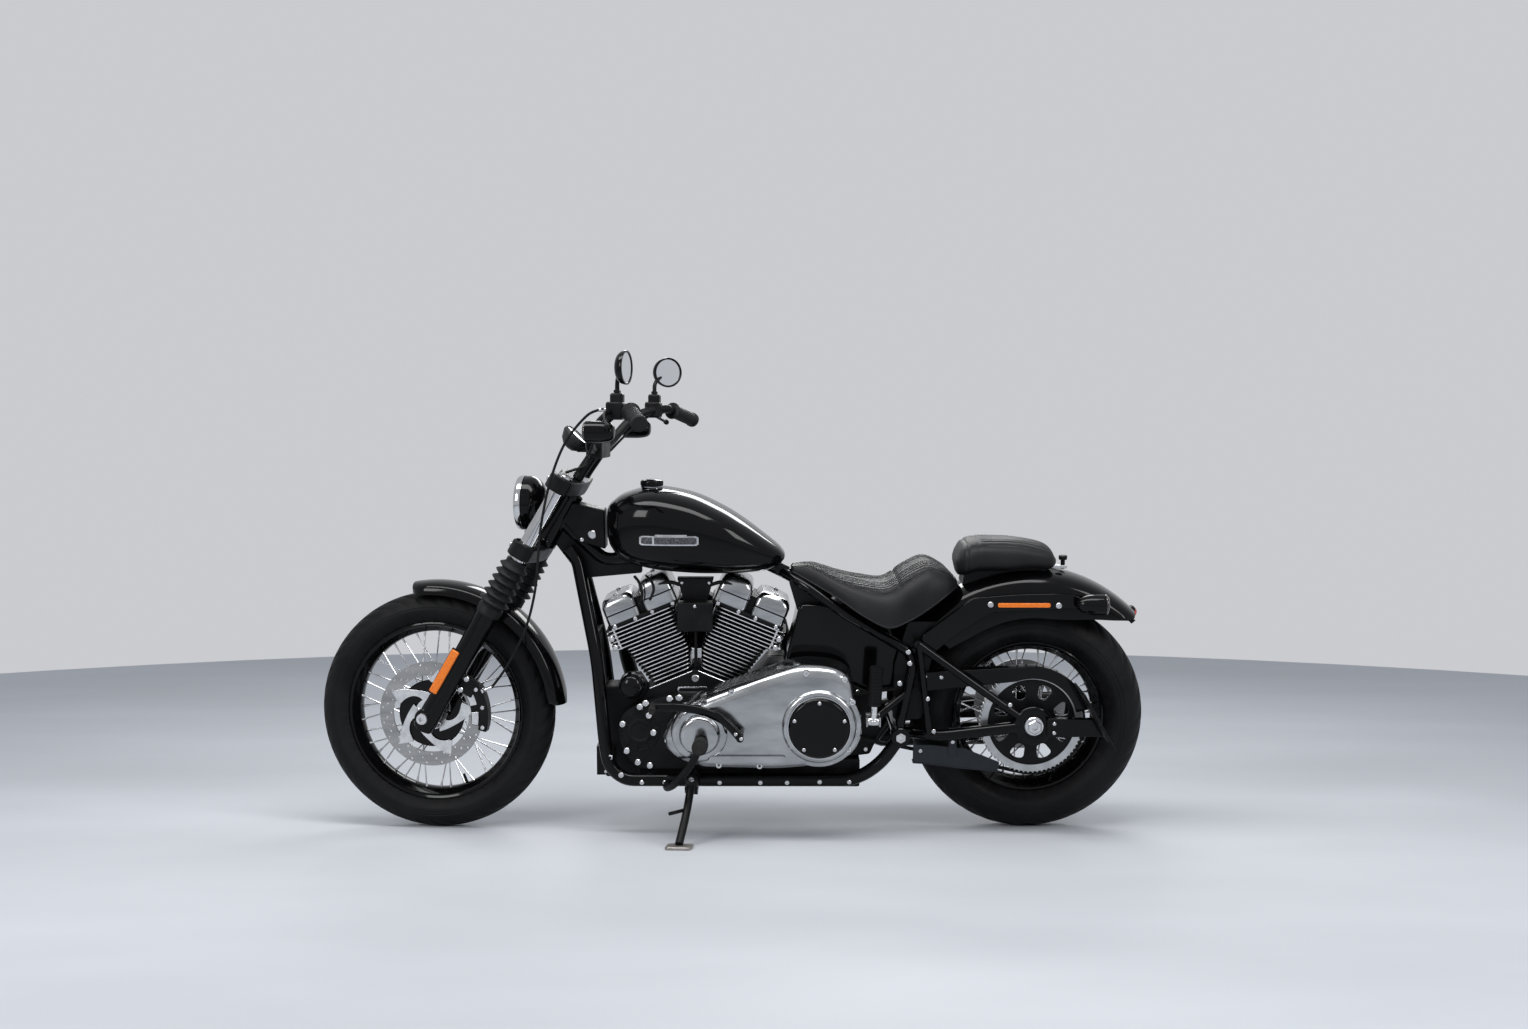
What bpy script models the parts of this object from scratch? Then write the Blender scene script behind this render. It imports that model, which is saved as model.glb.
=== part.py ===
"""Bobber motorcycle with an air-cooled V-twin, parked on its side stand.

The machine is drawn upright and steered straight ahead, in metres: -X is forwards, -Y is its
left side, +Z is up, and z = 0 is the line under both tyres. Two empties then turn the fork and
lean the whole machine over until both tyres and the stand's foot are on the floor.
"""

import math

import bmesh
import bpy
from mathutils import Matrix, Vector

for old in list(bpy.data.objects):
    bpy.data.objects.remove(old)

# Driving dimensions of the chassis.
WHEELBASE = 1.630
FRONT_AXLE_X = -0.904
REAR_AXLE_X = FRONT_AXLE_X + WHEELBASE
RAKE = math.radians(30)
TRAIL = 0.157
LEAN = math.radians(7.5)
STEER = math.radians(7)
GAP = 0.0004

# Wheels and tyres.
FRONT_TYRE_R = 0.331
FRONT_TYRE_HALF = 0.051
FRONT_SIDEWALL = 0.085
FRONT_RIM_R = FRONT_TYRE_R - FRONT_SIDEWALL
FRONT_RIM_HALF = 0.036
REAR_TYRE_R = 0.323
REAR_TYRE_HALF = 0.076
REAR_SIDEWALL = 0.114
REAR_RIM_R = REAR_TYRE_R - REAR_SIDEWALL
REAR_RIM_HALF = 0.050
WHEEL_STEPS = 28
SPOKES = 32
SPOKE_R = 0.0019
AXLE_R = 0.0125
BORE_R = AXLE_R + 0.0007
AXLE_END = 0.158
DISC_R = 0.146
DISC_Y = -0.072
DISC_HALF = 0.0025
REAR_DISC_R = 0.130
REAR_DISC_Y = 0.098

# The fork. Its own frame has z up the legs from the axle and x backwards across them.
LEG_Y = 0.118
LEG_BACK = 0.008
TUBE_R = 0.0205
SLIDER_R = 0.029
SLIDER_TOP = FRONT_TYRE_R + 0.021
LEG_SIDES = 12
LEG_FLAT = math.cos(math.pi / LEG_SIDES)
GAITER_TOP = SLIDER_TOP + 0.148
GAITER_R = 0.039
GAITER_RIDGES = 5
LOWER_CLAMP = GAITER_TOP + 0.008
UPPER_CLAMP = LOWER_CLAMP + 0.206
CLAMP_THICK = 0.044
NECK_R = 0.030
LAMP_R = 0.075
FRONT_FENDER_R = FRONT_TYRE_R + 0.031

# The engine. Both cylinders stand on the crankshaft, half the V to each side.
CRANK_X = -0.187
CRANK_Z = 0.285
HALF_V = math.radians(22.5)
DECK = 0.165
BARREL_FINS = 11
HEAD_FINS = 6
FIN_PITCH = 0.0108
FIN_HALF = 0.072
CASE_HALF = 0.080
CASE_LOW = 0.184
CASE_TOP = 0.435
PRIMARY_IN = -0.112
PRIMARY_OUT = -0.232
CLUTCH_Z = 0.343
DERBY_R = 0.081
HEAD_FOOT = DECK + (BARREL_FINS + HEAD_FINS) * FIN_PITCH + 2 * GAP

# The belt drive and the rear end.
PULLEY_R = 0.141
BELT_Y = -0.096
BELT_HALF = 0.012
BELT_THICK = 0.006
DRIVE_Z = 0.340
DRIVE_R = 0.050
ARM_Y = 0.138
ARM_R = 0.016
RAIL_Y = 0.130
RAIL_Z = 0.168
RAIL_R = 0.018
ARM_LENGTH = 0.358
PIVOT_X = REAR_AXLE_X - ARM_LENGTH
PIVOT_Z = 0.290
DRIVE_X = PIVOT_X - 0.153
CLUTCH_X = DRIVE_X - 0.070
FENDER_R = REAR_TYRE_R + 0.090
FENDER_HALF = 0.110
SHEET = 0.004

# Seat and backbone lie between the tank's tail and the rear fender.
BACKBONE_Z = 0.757
SEAT_NOSE = 0.078
SEAT_TAIL = REAR_AXLE_X - 0.207

FRONT_AXLE = Vector((FRONT_AXLE_X, 0, FRONT_TYRE_R))
REAR_AXLE = Vector((REAR_AXLE_X, 0, REAR_TYRE_R))
FORK = Matrix.Translation(FRONT_AXLE) @ Matrix.Rotation(RAKE, 4, "Y")
STEM_BACK = FRONT_TYRE_R * math.sin(RAKE) - TRAIL * math.cos(RAKE)
UP_FORK = Vector((math.sin(RAKE), 0, math.cos(RAKE)))
CROWN = REAR_AXLE + Vector((0, 0, FENDER_R))
FORE, AFT, LEFT, RIGHT, UP = (Vector(v) for v in
                              ((-1, 0, 0), (1, 0, 0), (0, -1, 0), (0, 1, 0), (0, 0, 1)))


def on_fork(x, y, z):
    """A point of the fork's own frame, in the machine's."""
    return FORK @ Vector((x, y, z))


STEER_AT = on_fork(STEM_BACK, 0, 0)
TURN = (Matrix.Translation(STEER_AT) @ Matrix.Rotation(-STEER, 4, UP_FORK)
        @ Matrix.Translation(-STEER_AT))


# Mesh builders. Each gives the points and faces of one closed body.

def loft(rings, closed=False):
    """Skin over rings of as many points each, with flat ends or run round to the first ring."""
    count = len(rings[0])
    points = [Vector(p) for ring in rings for p in ring]
    faces = []
    for i in range(len(rings) if closed else len(rings) - 1):
        low = i * count
        high = (i + 1) % len(rings) * count
        for j in range(count):
            k = (j + 1) % count
            faces.append((low + j, low + k, high + k, high + j))
    if not closed:
        faces.append(tuple(range(count)))
        faces.append(tuple(range(len(points) - count, len(points))))
    return points, faces


def circle(centre, normal, radius, sides, oval=1.0):
    """Points round a circle square to a normal, or an oval as much wider than high."""
    normal = Vector(normal).normalized()
    side = normal.cross(RIGHT)
    if side.length < 0.1:
        side = normal.cross(UP)
    side.normalize()
    other = normal.cross(side)
    turn = 2 * math.pi / sides
    return [Vector(centre) + radius * (math.cos((j + 0.5) * turn) * side
                                       + oval * math.sin((j + 0.5) * turn) * other)
            for j in range(sides)]


def tube(path, radius, sides=8):
    """A round bar along a path, its bends mitred."""
    path = [Vector(p) for p in path]
    start = (path[1] - path[0]).normalized()
    ring = circle(path[0], start, radius, sides)
    rings = [ring]
    along = start
    for i in range(1, len(path)):
        after = (path[i + 1] - path[i]).normalized() if i + 1 < len(path) else along
        cut = (along + after).normalized()
        ring = [p + along * ((path[i] - p).dot(cut) / along.dot(cut)) for p in ring]
        rings.append(ring)
        along = after
    return loft(rings)


def turned(centre, axis, profile, sides=16, oval=1.0):
    """A solid turned about an axis from rows of distance along it and radius."""
    axis = Vector(axis).normalized()
    return loft([circle(Vector(centre) + axis * along, axis, radius, sides, oval)
                 for along, radius in profile])


def hoop(centre, profile, steps=WHEEL_STEPS, down=-UP):
    """A ring turned about the Y direction from a closed run of (y, radius) corners.

    A flat of the ring faces the direction called down.
    """
    first = math.atan2(down.z, down.x) + math.pi / steps
    rings = []
    for i in range(steps):
        a = first + 2 * math.pi * i / steps
        rings.append([Vector(centre) + Vector((r * math.cos(a), y, r * math.sin(a)))
                      for y, r in profile])
    return loft(rings, closed=True)


def plate(outline, low, high, chamfer=0.0, place=None):
    """An outline in x and z run from one y to another, its rims chamfered; place moves it."""
    mesh = bmesh.new()
    near = [mesh.verts.new((x, low, z)) for x, z in outline]
    far = [mesh.verts.new((x, high, z)) for x, z in outline]
    mesh.faces.new(near)
    mesh.faces.new(far)
    for i in range(len(outline)):
        j = (i + 1) % len(outline)
        mesh.faces.new((near[i], near[j], far[j], far[i]))
    if chamfer:
        bmesh.ops.recalc_face_normals(mesh, faces=mesh.faces)
        rims = [e for e in mesh.edges if abs(e.verts[0].co.y - e.verts[1].co.y) < 1e-9]
        bmesh.ops.bevel(mesh, geom=rims, offset=chamfer, segments=1, affect="EDGES")
    mesh.verts.ensure_lookup_table()
    mesh.verts.index_update()
    points = [v.co.copy() for v in mesh.verts]
    faces = [tuple(v.index for v in f.verts) for f in mesh.faces]
    mesh.free()
    if place:
        points = [place @ p for p in points]
    return points, faces


def block(x0, x1, y0, y1, z0, z1, chamfer=0.0, place=None):
    """A box with chamfered rims."""
    return plate([(x0, z0), (x1, z0), (x1, z1), (x0, z1)], y0, y1, chamfer, place)


def sector(centre, r0, r1, a0, a1, y0, y1, steps=5, chamfer=0.0):
    """Part of a flat ring between two angles, measured up from straight back."""
    angles = [math.radians(a0 + (a1 - a0) * i / steps) for i in range(steps + 1)]
    outline = [(centre.x + r1 * math.cos(a), centre.z + r1 * math.sin(a)) for a in angles]
    outline += [(centre.x + r0 * math.cos(a), centre.z + r0 * math.sin(a))
                for a in reversed(angles)]
    return plate(outline, y0, y1, chamfer)


def several(pieces):
    """Bodies that don't touch, as one mesh."""
    points = []
    faces = []
    for more, skins in pieces:
        faces += [tuple(i + len(points) for i in face) for face in skins]
        points += more
    return points, faces


# Where the machine stands. The whole of it is under one empty and the fork under a second.

root = bpy.data.objects.new("machine_lean", None)
bpy.context.collection.objects.link(root)
fork_turn = bpy.data.objects.new("fork_turn", None)
bpy.context.collection.objects.link(fork_turn)
fork_turn.parent = root
fork_turn.matrix_local = TURN


def tyre_profile(radius, half, rim_r, rim_half, camber):
    """Corners of a tyre's section; one flat of its crown is tilted by the camber."""
    corners = [(-rim_half, rim_r + GAP)]
    for deg in (-75, -38):
        corners.append((half * math.sin(math.radians(deg)), radius - half
                        + half * math.cos(math.radians(deg))))
    for a in (-2 * camber, 0, 2 * camber):
        corners.append((half * math.sin(a), radius - half + half * math.cos(a)))
    for deg in (38, 75):
        corners.append((half * math.sin(math.radians(deg)), radius - half
                        + half * math.cos(math.radians(deg))))
    corners.append((rim_half, rim_r + GAP))
    return corners


def stand_on_floor():
    """Lean the machine, then pitch and lift it until both tyres touch z = 0."""
    matrix = Matrix.Rotation(LEAN, 4, "X")
    pitch = 0.0
    for _ in range(6):
        matrix = Matrix.Rotation(pitch, 4, "Y") @ Matrix.Rotation(LEAN, 4, "X")
        front_turn = matrix @ TURN
        axis = (front_turn.to_3x3() @ RIGHT).normalized()
        front_camber = abs(math.asin(axis.z))
        down_front = front_turn.to_3x3().inverted() @ -UP
        down_rear = matrix.to_3x3().inverted() @ -UP
        front = tyre_profile(FRONT_TYRE_R, FRONT_TYRE_HALF, FRONT_RIM_R, FRONT_RIM_HALF,
                             front_camber)
        rear = tyre_profile(REAR_TYRE_R, REAR_TYRE_HALF, REAR_RIM_R, REAR_RIM_HALF, LEAN)
        low_front = min((front_turn @ p).z for p in hoop(FRONT_AXLE, front, down=down_front)[0])
        low_rear = min((matrix @ p).z for p in hoop(REAR_AXLE, rear, down=down_rear)[0])
        pitch += (low_rear - low_front) / WHEELBASE
    lift = Matrix.Translation((0, 0, -min(low_front, low_rear)))
    return lift @ matrix, front, rear, down_front, down_rear


REST, FRONT_SECTION, REAR_SECTION, DOWN_FRONT, DOWN_REAR = stand_on_floor()
root.matrix_world = REST

# Colours: base colour, metallic, roughness.
FINISHES = {
    "gloss_black": ((0.012, 0.012, 0.014), 0.0, 0.12),
    "satin_black": ((0.020, 0.020, 0.022), 0.0, 0.45),
    "polished_metal": ((0.70, 0.71, 0.72), 1.0, 0.16),
    "cast_metal": ((0.46, 0.47, 0.48), 1.0, 0.38),
    "rubber_black": ((0.018, 0.018, 0.018), 0.0, 0.80),
    "seat_black": ((0.022, 0.021, 0.021), 0.0, 0.60),
    "lamp_glass": ((0.80, 0.82, 0.84), 0.0, 0.05),
    "red_lens": ((0.45, 0.01, 0.01), 0.0, 0.15),
    "blue_grey": ((0.16, 0.19, 0.23), 0.0, 0.50),
}


def finish(name, kind):
    """The material of one piece."""
    colour, metallic, roughness = FINISHES[kind]
    material = bpy.data.materials.new(name + "_" + kind)
    material.use_nodes = True
    shader = material.node_tree.nodes["Principled BSDF"]
    shader.inputs["Base Color"].default_value = (*colour, 1)
    shader.inputs["Metallic"].default_value = metallic
    shader.inputs["Roughness"].default_value = roughness
    return material


def mesh_object(name, piece, parent):
    """An object from points and faces, its faces turned outwards."""
    points, faces = piece
    data = bpy.data.meshes.new(name)
    data.from_pydata([tuple(p) for p in points], [], faces)
    mesh = bmesh.new()
    mesh.from_mesh(data)
    bmesh.ops.recalc_face_normals(mesh, faces=mesh.faces)
    mesh.to_mesh(data)
    mesh.free()
    obj = bpy.data.objects.new(name, data)
    bpy.context.collection.objects.link(obj)
    obj.parent = parent
    return obj


SOLIDS = []


def part(name, kind, pieces, parent=root, cuts=(), smooth=40):
    """One named sub-part: its pieces joined into one body, then the cuts taken out."""
    obj = mesh_object(name, pieces[0], parent)
    obj.data.materials.append(finish(name, kind))
    SOLIDS.append(obj)
    tools = [("UNION", p) for p in pieces[1:]] + [("DIFFERENCE", c) for c in cuts]
    for i, (operation, piece) in enumerate(tools):
        tool = mesh_object(f"{name}_tool_{i + 1:02d}", piece, parent)
        tool.hide_render = True
        tool.display_type = "WIRE"
        if operation == "UNION":
            SOLIDS.append(tool)
        boolean = obj.modifiers.new(f"{operation.lower()}_{i + 1:02d}", "BOOLEAN")
        boolean.operation = operation
        boolean.object = tool
        boolean.solver = "EXACT"
    for polygon in obj.data.polygons:
        polygon.use_smooth = smooth > 0
    obj.data.set_sharp_from_angle(angle=math.radians(smooth))
    return obj


# Wheels: rims on laced spokes, tyres, the drilled disc and the belt pulley.

def spokes(axle, flange_y, flange_r, rim_y, rim_r):
    """Laced spokes: on each flange every second one leans back instead of forwards."""
    bars = []
    for i in range(SPOKES):
        side = -1 if i % 2 else 1
        lean = 1 if i // 2 % 2 else -1
        at = 2 * math.pi * i / SPOKES
        foot = at + lean * math.radians(52)
        low = Vector((flange_r * math.cos(foot), side * (flange_y + lean * 0.004),
                      flange_r * math.sin(foot)))
        high = Vector((rim_r * math.cos(at), side * (rim_y + lean * 0.002),
                       rim_r * math.sin(at)))
        bars.append(tube([axle + low, axle + high], SPOKE_R, 3))
    return several(bars)


def wheel(axle, rim_r, rim_half, hub_half, flange_y, down):
    """Rim, hub and spokes."""
    well = rim_half * 0.5
    rim = hoop(axle, [(-rim_half, rim_r), (rim_half, rim_r), (rim_half, rim_r - 0.011),
                      (well, rim_r - 0.026), (-well, rim_r - 0.026),
                      (-rim_half, rim_r - 0.011)], down=down)
    outer = flange_y + 0.008
    inner = flange_y - 0.008
    hub = hoop(axle, [(-hub_half, BORE_R), (-hub_half, 0.030), (-outer, 0.030),
                      (-outer, 0.048), (-inner, 0.048), (-inner, 0.027), (inner, 0.027),
                      (inner, 0.048), (outer, 0.048), (outer, 0.030), (hub_half, 0.030),
                      (hub_half, BORE_R)], 14)
    return [rim, hub, spokes(axle, flange_y, 0.042, 0.010, rim_r - 0.014)]


def arms(axle, count, r0, r1, y, thick, twist):
    """Straight arms between two radii, each swept round by the twist."""
    bars = []
    for i in range(count):
        a = 2 * math.pi * i / count
        b = a + twist
        bars.append(tube([axle + Vector((r0 * math.cos(a), y, r0 * math.sin(a))),
                          axle + Vector((r1 * math.cos(b), y, r1 * math.sin(b)))], thick, 4))
    return several(bars)


part("front_tyre", "rubber_black", [hoop(FRONT_AXLE, FRONT_SECTION, down=DOWN_FRONT)], fork_turn)
part("front_wheel", "gloss_black",
     wheel(FRONT_AXLE, FRONT_RIM_R, FRONT_RIM_HALF, 0.058, 0.046, DOWN_FRONT), fork_turn)
part("front_disc", "polished_metal", [
    hoop(FRONT_AXLE, [(DISC_Y - DISC_HALF, 0.112), (DISC_Y - DISC_HALF, DISC_R),
                      (DISC_Y + DISC_HALF, DISC_R), (DISC_Y + DISC_HALF, 0.112)], 32),
    hoop(FRONT_AXLE, [(-0.078, BORE_R + 0.001), (-0.078, 0.040), (-0.058 - GAP, 0.040),
                      (-0.058 - GAP, BORE_R + 0.001)], 14),
    arms(FRONT_AXLE, 5, 0.034, 0.1145, DISC_Y, 0.0075, math.radians(38)),
], fork_turn)
part("rear_tyre", "rubber_black", [hoop(REAR_AXLE, REAR_SECTION, down=DOWN_REAR)])
part("rear_wheel", "gloss_black",
     wheel(REAR_AXLE, REAR_RIM_R, REAR_RIM_HALF, 0.080, 0.060, DOWN_REAR) + [
         hoop(REAR_AXLE, [(REAR_DISC_Y - 0.003, BORE_R + 0.001),
                          (REAR_DISC_Y - 0.003, REAR_DISC_R),
                          (REAR_DISC_Y + 0.003, REAR_DISC_R),
                          (REAR_DISC_Y + 0.003, BORE_R + 0.001)], 20),
         hoop(REAR_AXLE, [(0.075, BORE_R + 0.0005), (0.075, 0.034), (REAR_DISC_Y, 0.034),
                          (REAR_DISC_Y, BORE_R + 0.0005)], 12)])
part("drive_pulley", "cast_metal", [
    hoop(REAR_AXLE, [(BELT_Y - BELT_HALF, 0.118), (BELT_Y - BELT_HALF, PULLEY_R),
                     (BELT_Y + BELT_HALF, PULLEY_R), (BELT_Y + BELT_HALF, 0.118)], 32),
    hoop(REAR_AXLE, [(BELT_Y - BELT_HALF, BORE_R + 0.001), (BELT_Y - BELT_HALF, 0.045),
                     (-0.080 - GAP, 0.045), (-0.080 - GAP, BORE_R + 0.001)], 14),
    arms(REAR_AXLE, 6, 0.036, 0.124, BELT_Y, 0.011, 0.0)])


# The fork: yokes with the tubes, the sliders under their gaiters, the front fender.

CLAMP = [(-0.016, -0.150), (0.020, -0.150), (0.040, -0.128), (0.050, -0.040), (0.050, 0.040),
         (0.040, 0.128), (0.020, 0.150), (-0.016, 0.150), (-0.028, 0.118), (-0.010, 0.060),
         (-0.032, 0.030), (-0.032, -0.030), (-0.010, -0.060), (-0.028, -0.118)]


def clamp(low):
    """One yoke across both legs."""
    ring = [(on_fork(x, y, low), on_fork(x, y, low + CLAMP_THICK)) for x, y in CLAMP]
    return loft([[r[0] for r in ring], [r[1] for r in ring]])


part("fork_yokes", "satin_black", [
    clamp(LOWER_CLAMP), clamp(UPPER_CLAMP),
    *[tube([on_fork(LEG_BACK, side * LEG_Y, GAITER_TOP + GAP),
            on_fork(LEG_BACK, side * LEG_Y, UPPER_CLAMP + CLAMP_THICK + 0.006)], TUBE_R, 14)
      for side in (-1, 1)]], fork_turn)


def leg(side):
    """Slider and ridged gaiter, turned about the leg's own line."""
    rows = [(-0.036, 0.022), (-0.028, SLIDER_R), (0.034, SLIDER_R), (0.046, 0.0265),
            (SLIDER_TOP - 0.052, 0.0265), (SLIDER_TOP - 0.046, SLIDER_R),
            (SLIDER_TOP, SLIDER_R)]
    pitch = (GAITER_TOP - SLIDER_TOP) / GAITER_RIDGES
    for i in range(GAITER_RIDGES):
        z = SLIDER_TOP + i * pitch
        rows += [(z + 0.10 * pitch, 0.031), (z + 0.55 * pitch, GAITER_R)]
    rows += [(GAITER_TOP, 0.030)]
    return turned(on_fork(LEG_BACK, side * LEG_Y, 0), UP_FORK, rows, LEG_SIDES)


part("fork_leg_left", "gloss_black", [
    leg(-1), turned(FRONT_AXLE, RIGHT, [(-AXLE_END, AXLE_R + 0.003), (-0.140, AXLE_R + 0.003),
                                        (-0.139, AXLE_R), (LEG_Y - SLIDER_R - 0.002, AXLE_R)],
                    12)], fork_turn)
part("fork_leg_right", "gloss_black", [
    leg(1), turned(FRONT_AXLE, RIGHT, [(LEG_Y + 0.005, 0.016), (AXLE_END, 0.016)], 8)], fork_turn)


def fender(axle, angles, profile):
    """A thin shell round a wheel; the profile gives (y, radius) corners for an angle."""
    rings = []
    for deg in angles:
        a = math.radians(deg)
        outer = profile(deg)
        inner = []
        for i, (y, r) in enumerate(outer):
            before = Vector(outer[max(i - 1, 0)])
            after = Vector(outer[min(i + 1, len(outer) - 1)])
            run = (after - before).normalized()
            inner.append((y + run.y * SHEET, r - run.x * SHEET))
        corners = outer + inner[::-1]
        rings.append([axle + Vector((r * math.cos(a), y, r * math.sin(a)))
                      for y, r in corners])
    return loft(rings)


def front_fender_profile(deg):
    """The front fender keeps one section all the way."""
    r = FRONT_FENDER_R
    return [(-0.064, r - 0.036), (-0.060, r - 0.017), (-0.042, r - 0.005), (0, r),
            (0.042, r - 0.005), (0.060, r - 0.017), (0.064, r - 0.036)]


part("front_fender", "gloss_black", [
    fender(FRONT_AXLE, range(4, 101, 12), front_fender_profile),
    *[turned(on_fork(LEG_BACK, 0, FRONT_TYRE_R - 0.003), RIGHT,
             [(side * 0.060, 0.013), (side * (LEG_Y - SLIDER_R * LEG_FLAT - GAP), 0.013)], 8)
      for side in (-1, 1)]], fork_turn)

LAMP = on_fork(-0.071, 0, LOWER_CLAMP + 0.117)
part("headlamp_shell", "gloss_black", [
    turned(LAMP, AFT, [(0.0, 0.062), (0.0, 0.0735), (0.018, 0.0735), (0.034, 0.066),
                       (0.046, 0.052), (0.053, 0.034), (0.057, 0.016)], 22),
    tube([on_fork(-0.019, 0, LOWER_CLAMP + CLAMP_THICK + GAP),
          on_fork(-0.019, 0, LOWER_CLAMP + CLAMP_THICK + 0.060)], 0.010, 8)], fork_turn)
part("headlamp_glass", "lamp_glass", [
    turned(LAMP, FORE, [(GAP, LAMP_R - 0.002), (0.004, LAMP_R), (0.013, LAMP_R),
                        (0.017, LAMP_R - 0.008), (0.024, 0.050), (0.029, 0.024)], 22)],
     fork_turn)

# Handlebar with risers, controls, levers and the front signals; grips; mirrors; gauge.

BAR_MID = on_fork(0.026, 0, UPPER_CLAMP + CLAMP_THICK) + Vector((0.0505, 0, 0.0805))


def on_bar(x, y, z):
    """A point measured from the middle of the handlebar."""
    return BAR_MID + Vector((x, y, z))


GRIP_ROOT = on_bar(0.150, 0.318, 0.105)
GRIP_END = on_bar(0.196, 0.440, 0.075)
grip_line = (GRIP_END - GRIP_ROOT).normalized()
half_bar = [on_bar(0, 0, 0), on_bar(0, 0.085, 0), on_bar(0.007, 0.150, 0.020),
            on_bar(0.044, 0.203, 0.075), on_bar(0.090, 0.245, 0.105),
            GRIP_ROOT - grip_line * 0.022, GRIP_ROOT]
bar_path = [(p.x, -p.y, p.z) for p in half_bar[::-1]] + half_bar[1:]
bar_foot = on_fork(0.026, 0, UPPER_CLAMP + CLAMP_THICK + GAP)
grip_block = plate([(0.080, 0.083), (0.127, 0.083), (0.127, 0.131), (0.080, 0.131)],
                   0.252, 0.300, 0.007, Matrix.Translation(BAR_MID))


def on_side(piece, side):
    """The piece itself, or its mirror image on the other side."""
    points, faces = piece
    return [Vector((p.x, side * p.y, p.z)) for p in points], faces


handlebar = [tube(bar_path, 0.0125, 8),
             block(-0.022, 0.022, -0.060, 0.060, -0.023, 0.023, 0.008, Matrix.Translation(BAR_MID))]
for side in (-1, 1):
    handlebar += [on_side(piece, side) for piece in (
        tube([bar_foot + Vector((0, 0.040, 0)), bar_foot + UP_FORK * 0.016 + Vector((0, 0.040, 0)),
              on_bar(0, 0.040, -0.005)], 0.015, 8),
        grip_block,
        block(0.090, 0.124, 0.256, 0.290, 0.125, 0.153, 0.005, Matrix.Translation(BAR_MID)),
        tube([on_bar(0.102, 0.285, 0.105), on_bar(0.080, 0.325, 0.099),
              on_bar(0.117, 0.440, 0.067)], 0.0065, 6),
        turned(on_bar(0.057, 0.262, 0.053), FORE,
               [(-0.042, 0.012), (-0.034, 0.022), (-0.008, 0.0275), (0.034, 0.0275),
                (0.042, 0.022)], 8),
        tube([on_bar(0.060, 0.262, 0.055), on_bar(0.084, 0.250, 0.103)], 0.007, 6))]
part("handlebar", "satin_black", handlebar, fork_turn)
for side, name, facing in ((-1, "left", (1, -0.1, 0)), (1, "right", (0.75, -0.65, 0))):
    flip = Vector((1, side, 1))
    part(f"grip_{name}", "rubber_black", [
        turned(GRIP_ROOT * flip, grip_line * flip,
               [(GAP, 0.019), (0.006, 0.022), (0.010, 0.0165), (0.118, 0.0165),
                (0.120, 0.019), (0.130, 0.017)], 12)], fork_turn)
    glass_line = Vector(facing).normalized()
    stem_end = on_bar(0.124, side * 0.320, 0.207)
    part(f"mirror_{name}", "satin_black", [
        turned(stem_end + glass_line * 0.010 + Vector((0, side * 0.014, 0.008)), glass_line,
               [(-0.018, 0.014), (-0.012, 0.036), (0.002, 0.0435), (0.010, 0.0435)], 16, 1.18),
        tube([on_bar(0.107, side * 0.273, 0.153 + GAP), on_bar(0.107, side * 0.273, 0.177),
              stem_end], 0.0055, 6)], fork_turn)
part("gauge_pod", "satin_black", [
    turned(on_bar(-0.068, 0, 0.025), (math.sin(0.75), 0, math.cos(0.75)),
           [(-0.026, 0.012), (-0.014, 0.031), (0.008, 0.042), (0.020, 0.038)], 16),
    tube([on_bar(-0.058, 0, 0), on_bar(-0.022 - GAP, 0, 0)], 0.008, 6)], fork_turn)

# Front brake: the caliper behind the left leg and its hose.

inner_y = DISC_Y + DISC_HALF + 0.003
outer_y = DISC_Y - DISC_HALF - 0.003
lug_at = LEG_BACK + 0.0265 * LEG_FLAT + GAP
part("front_caliper", "satin_black", [
    sector(FRONT_AXLE, 0.120, 0.168, 4, 34, -0.112, outer_y),
    sector(FRONT_AXLE, 0.1505, 0.166, 5, 33, -0.085, -0.058),
    sector(FRONT_AXLE, 0.122, 0.164, 6, 32, inner_y, -0.055),
    loft([[on_fork(x, y, z) for x, y in ((lug_at, -0.112), (0.080, -0.112), (0.080, -0.092),
                                         (lug_at, -0.092))]
          for z in (0.105, 0.155)])], fork_turn)


def rope(name, kind, nodes, radius, spacing, parent):
    """A hose or cable as a smooth curve through its nodes."""
    nodes = [Vector(p) for p in nodes]
    ends = [2 * nodes[0] - nodes[1]] + nodes + [2 * nodes[-1] - nodes[-2]]
    fine = []
    for a, b, c, d in zip(ends, ends[1:], ends[2:], ends[3:]):
        for k in range(12):
            t = k / 12
            fine.append(0.5 * (2 * b + t * (c - a) + t * t * (2 * a - 5 * b + 4 * c - d)
                               + t * t * t * (3 * b - a - 3 * c + d)))
    fine.append(nodes[-1])
    points = [fine[0]]
    for p in fine[1:-1]:
        if (p - points[-1]).length >= spacing:
            points.append(p)
    if (points[-1] - fine[-1]).length < spacing * 0.5:
        points.pop()
    points.append(fine[-1])
    data = bpy.data.curves.new(name, "CURVE")
    data.dimensions = "3D"
    data.bevel_depth = radius
    data.bevel_resolution = 2
    data.use_fill_caps = True
    spline = data.splines.new("POLY")
    spline.points.add(len(points) - 1)
    for spot, p in zip(spline.points, points):
        spot.co = (*p, 1)
    obj = bpy.data.objects.new(name, data)
    bpy.context.collection.objects.link(obj)
    obj.parent = parent
    data.materials.append(finish(name, kind))
    return obj


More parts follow.
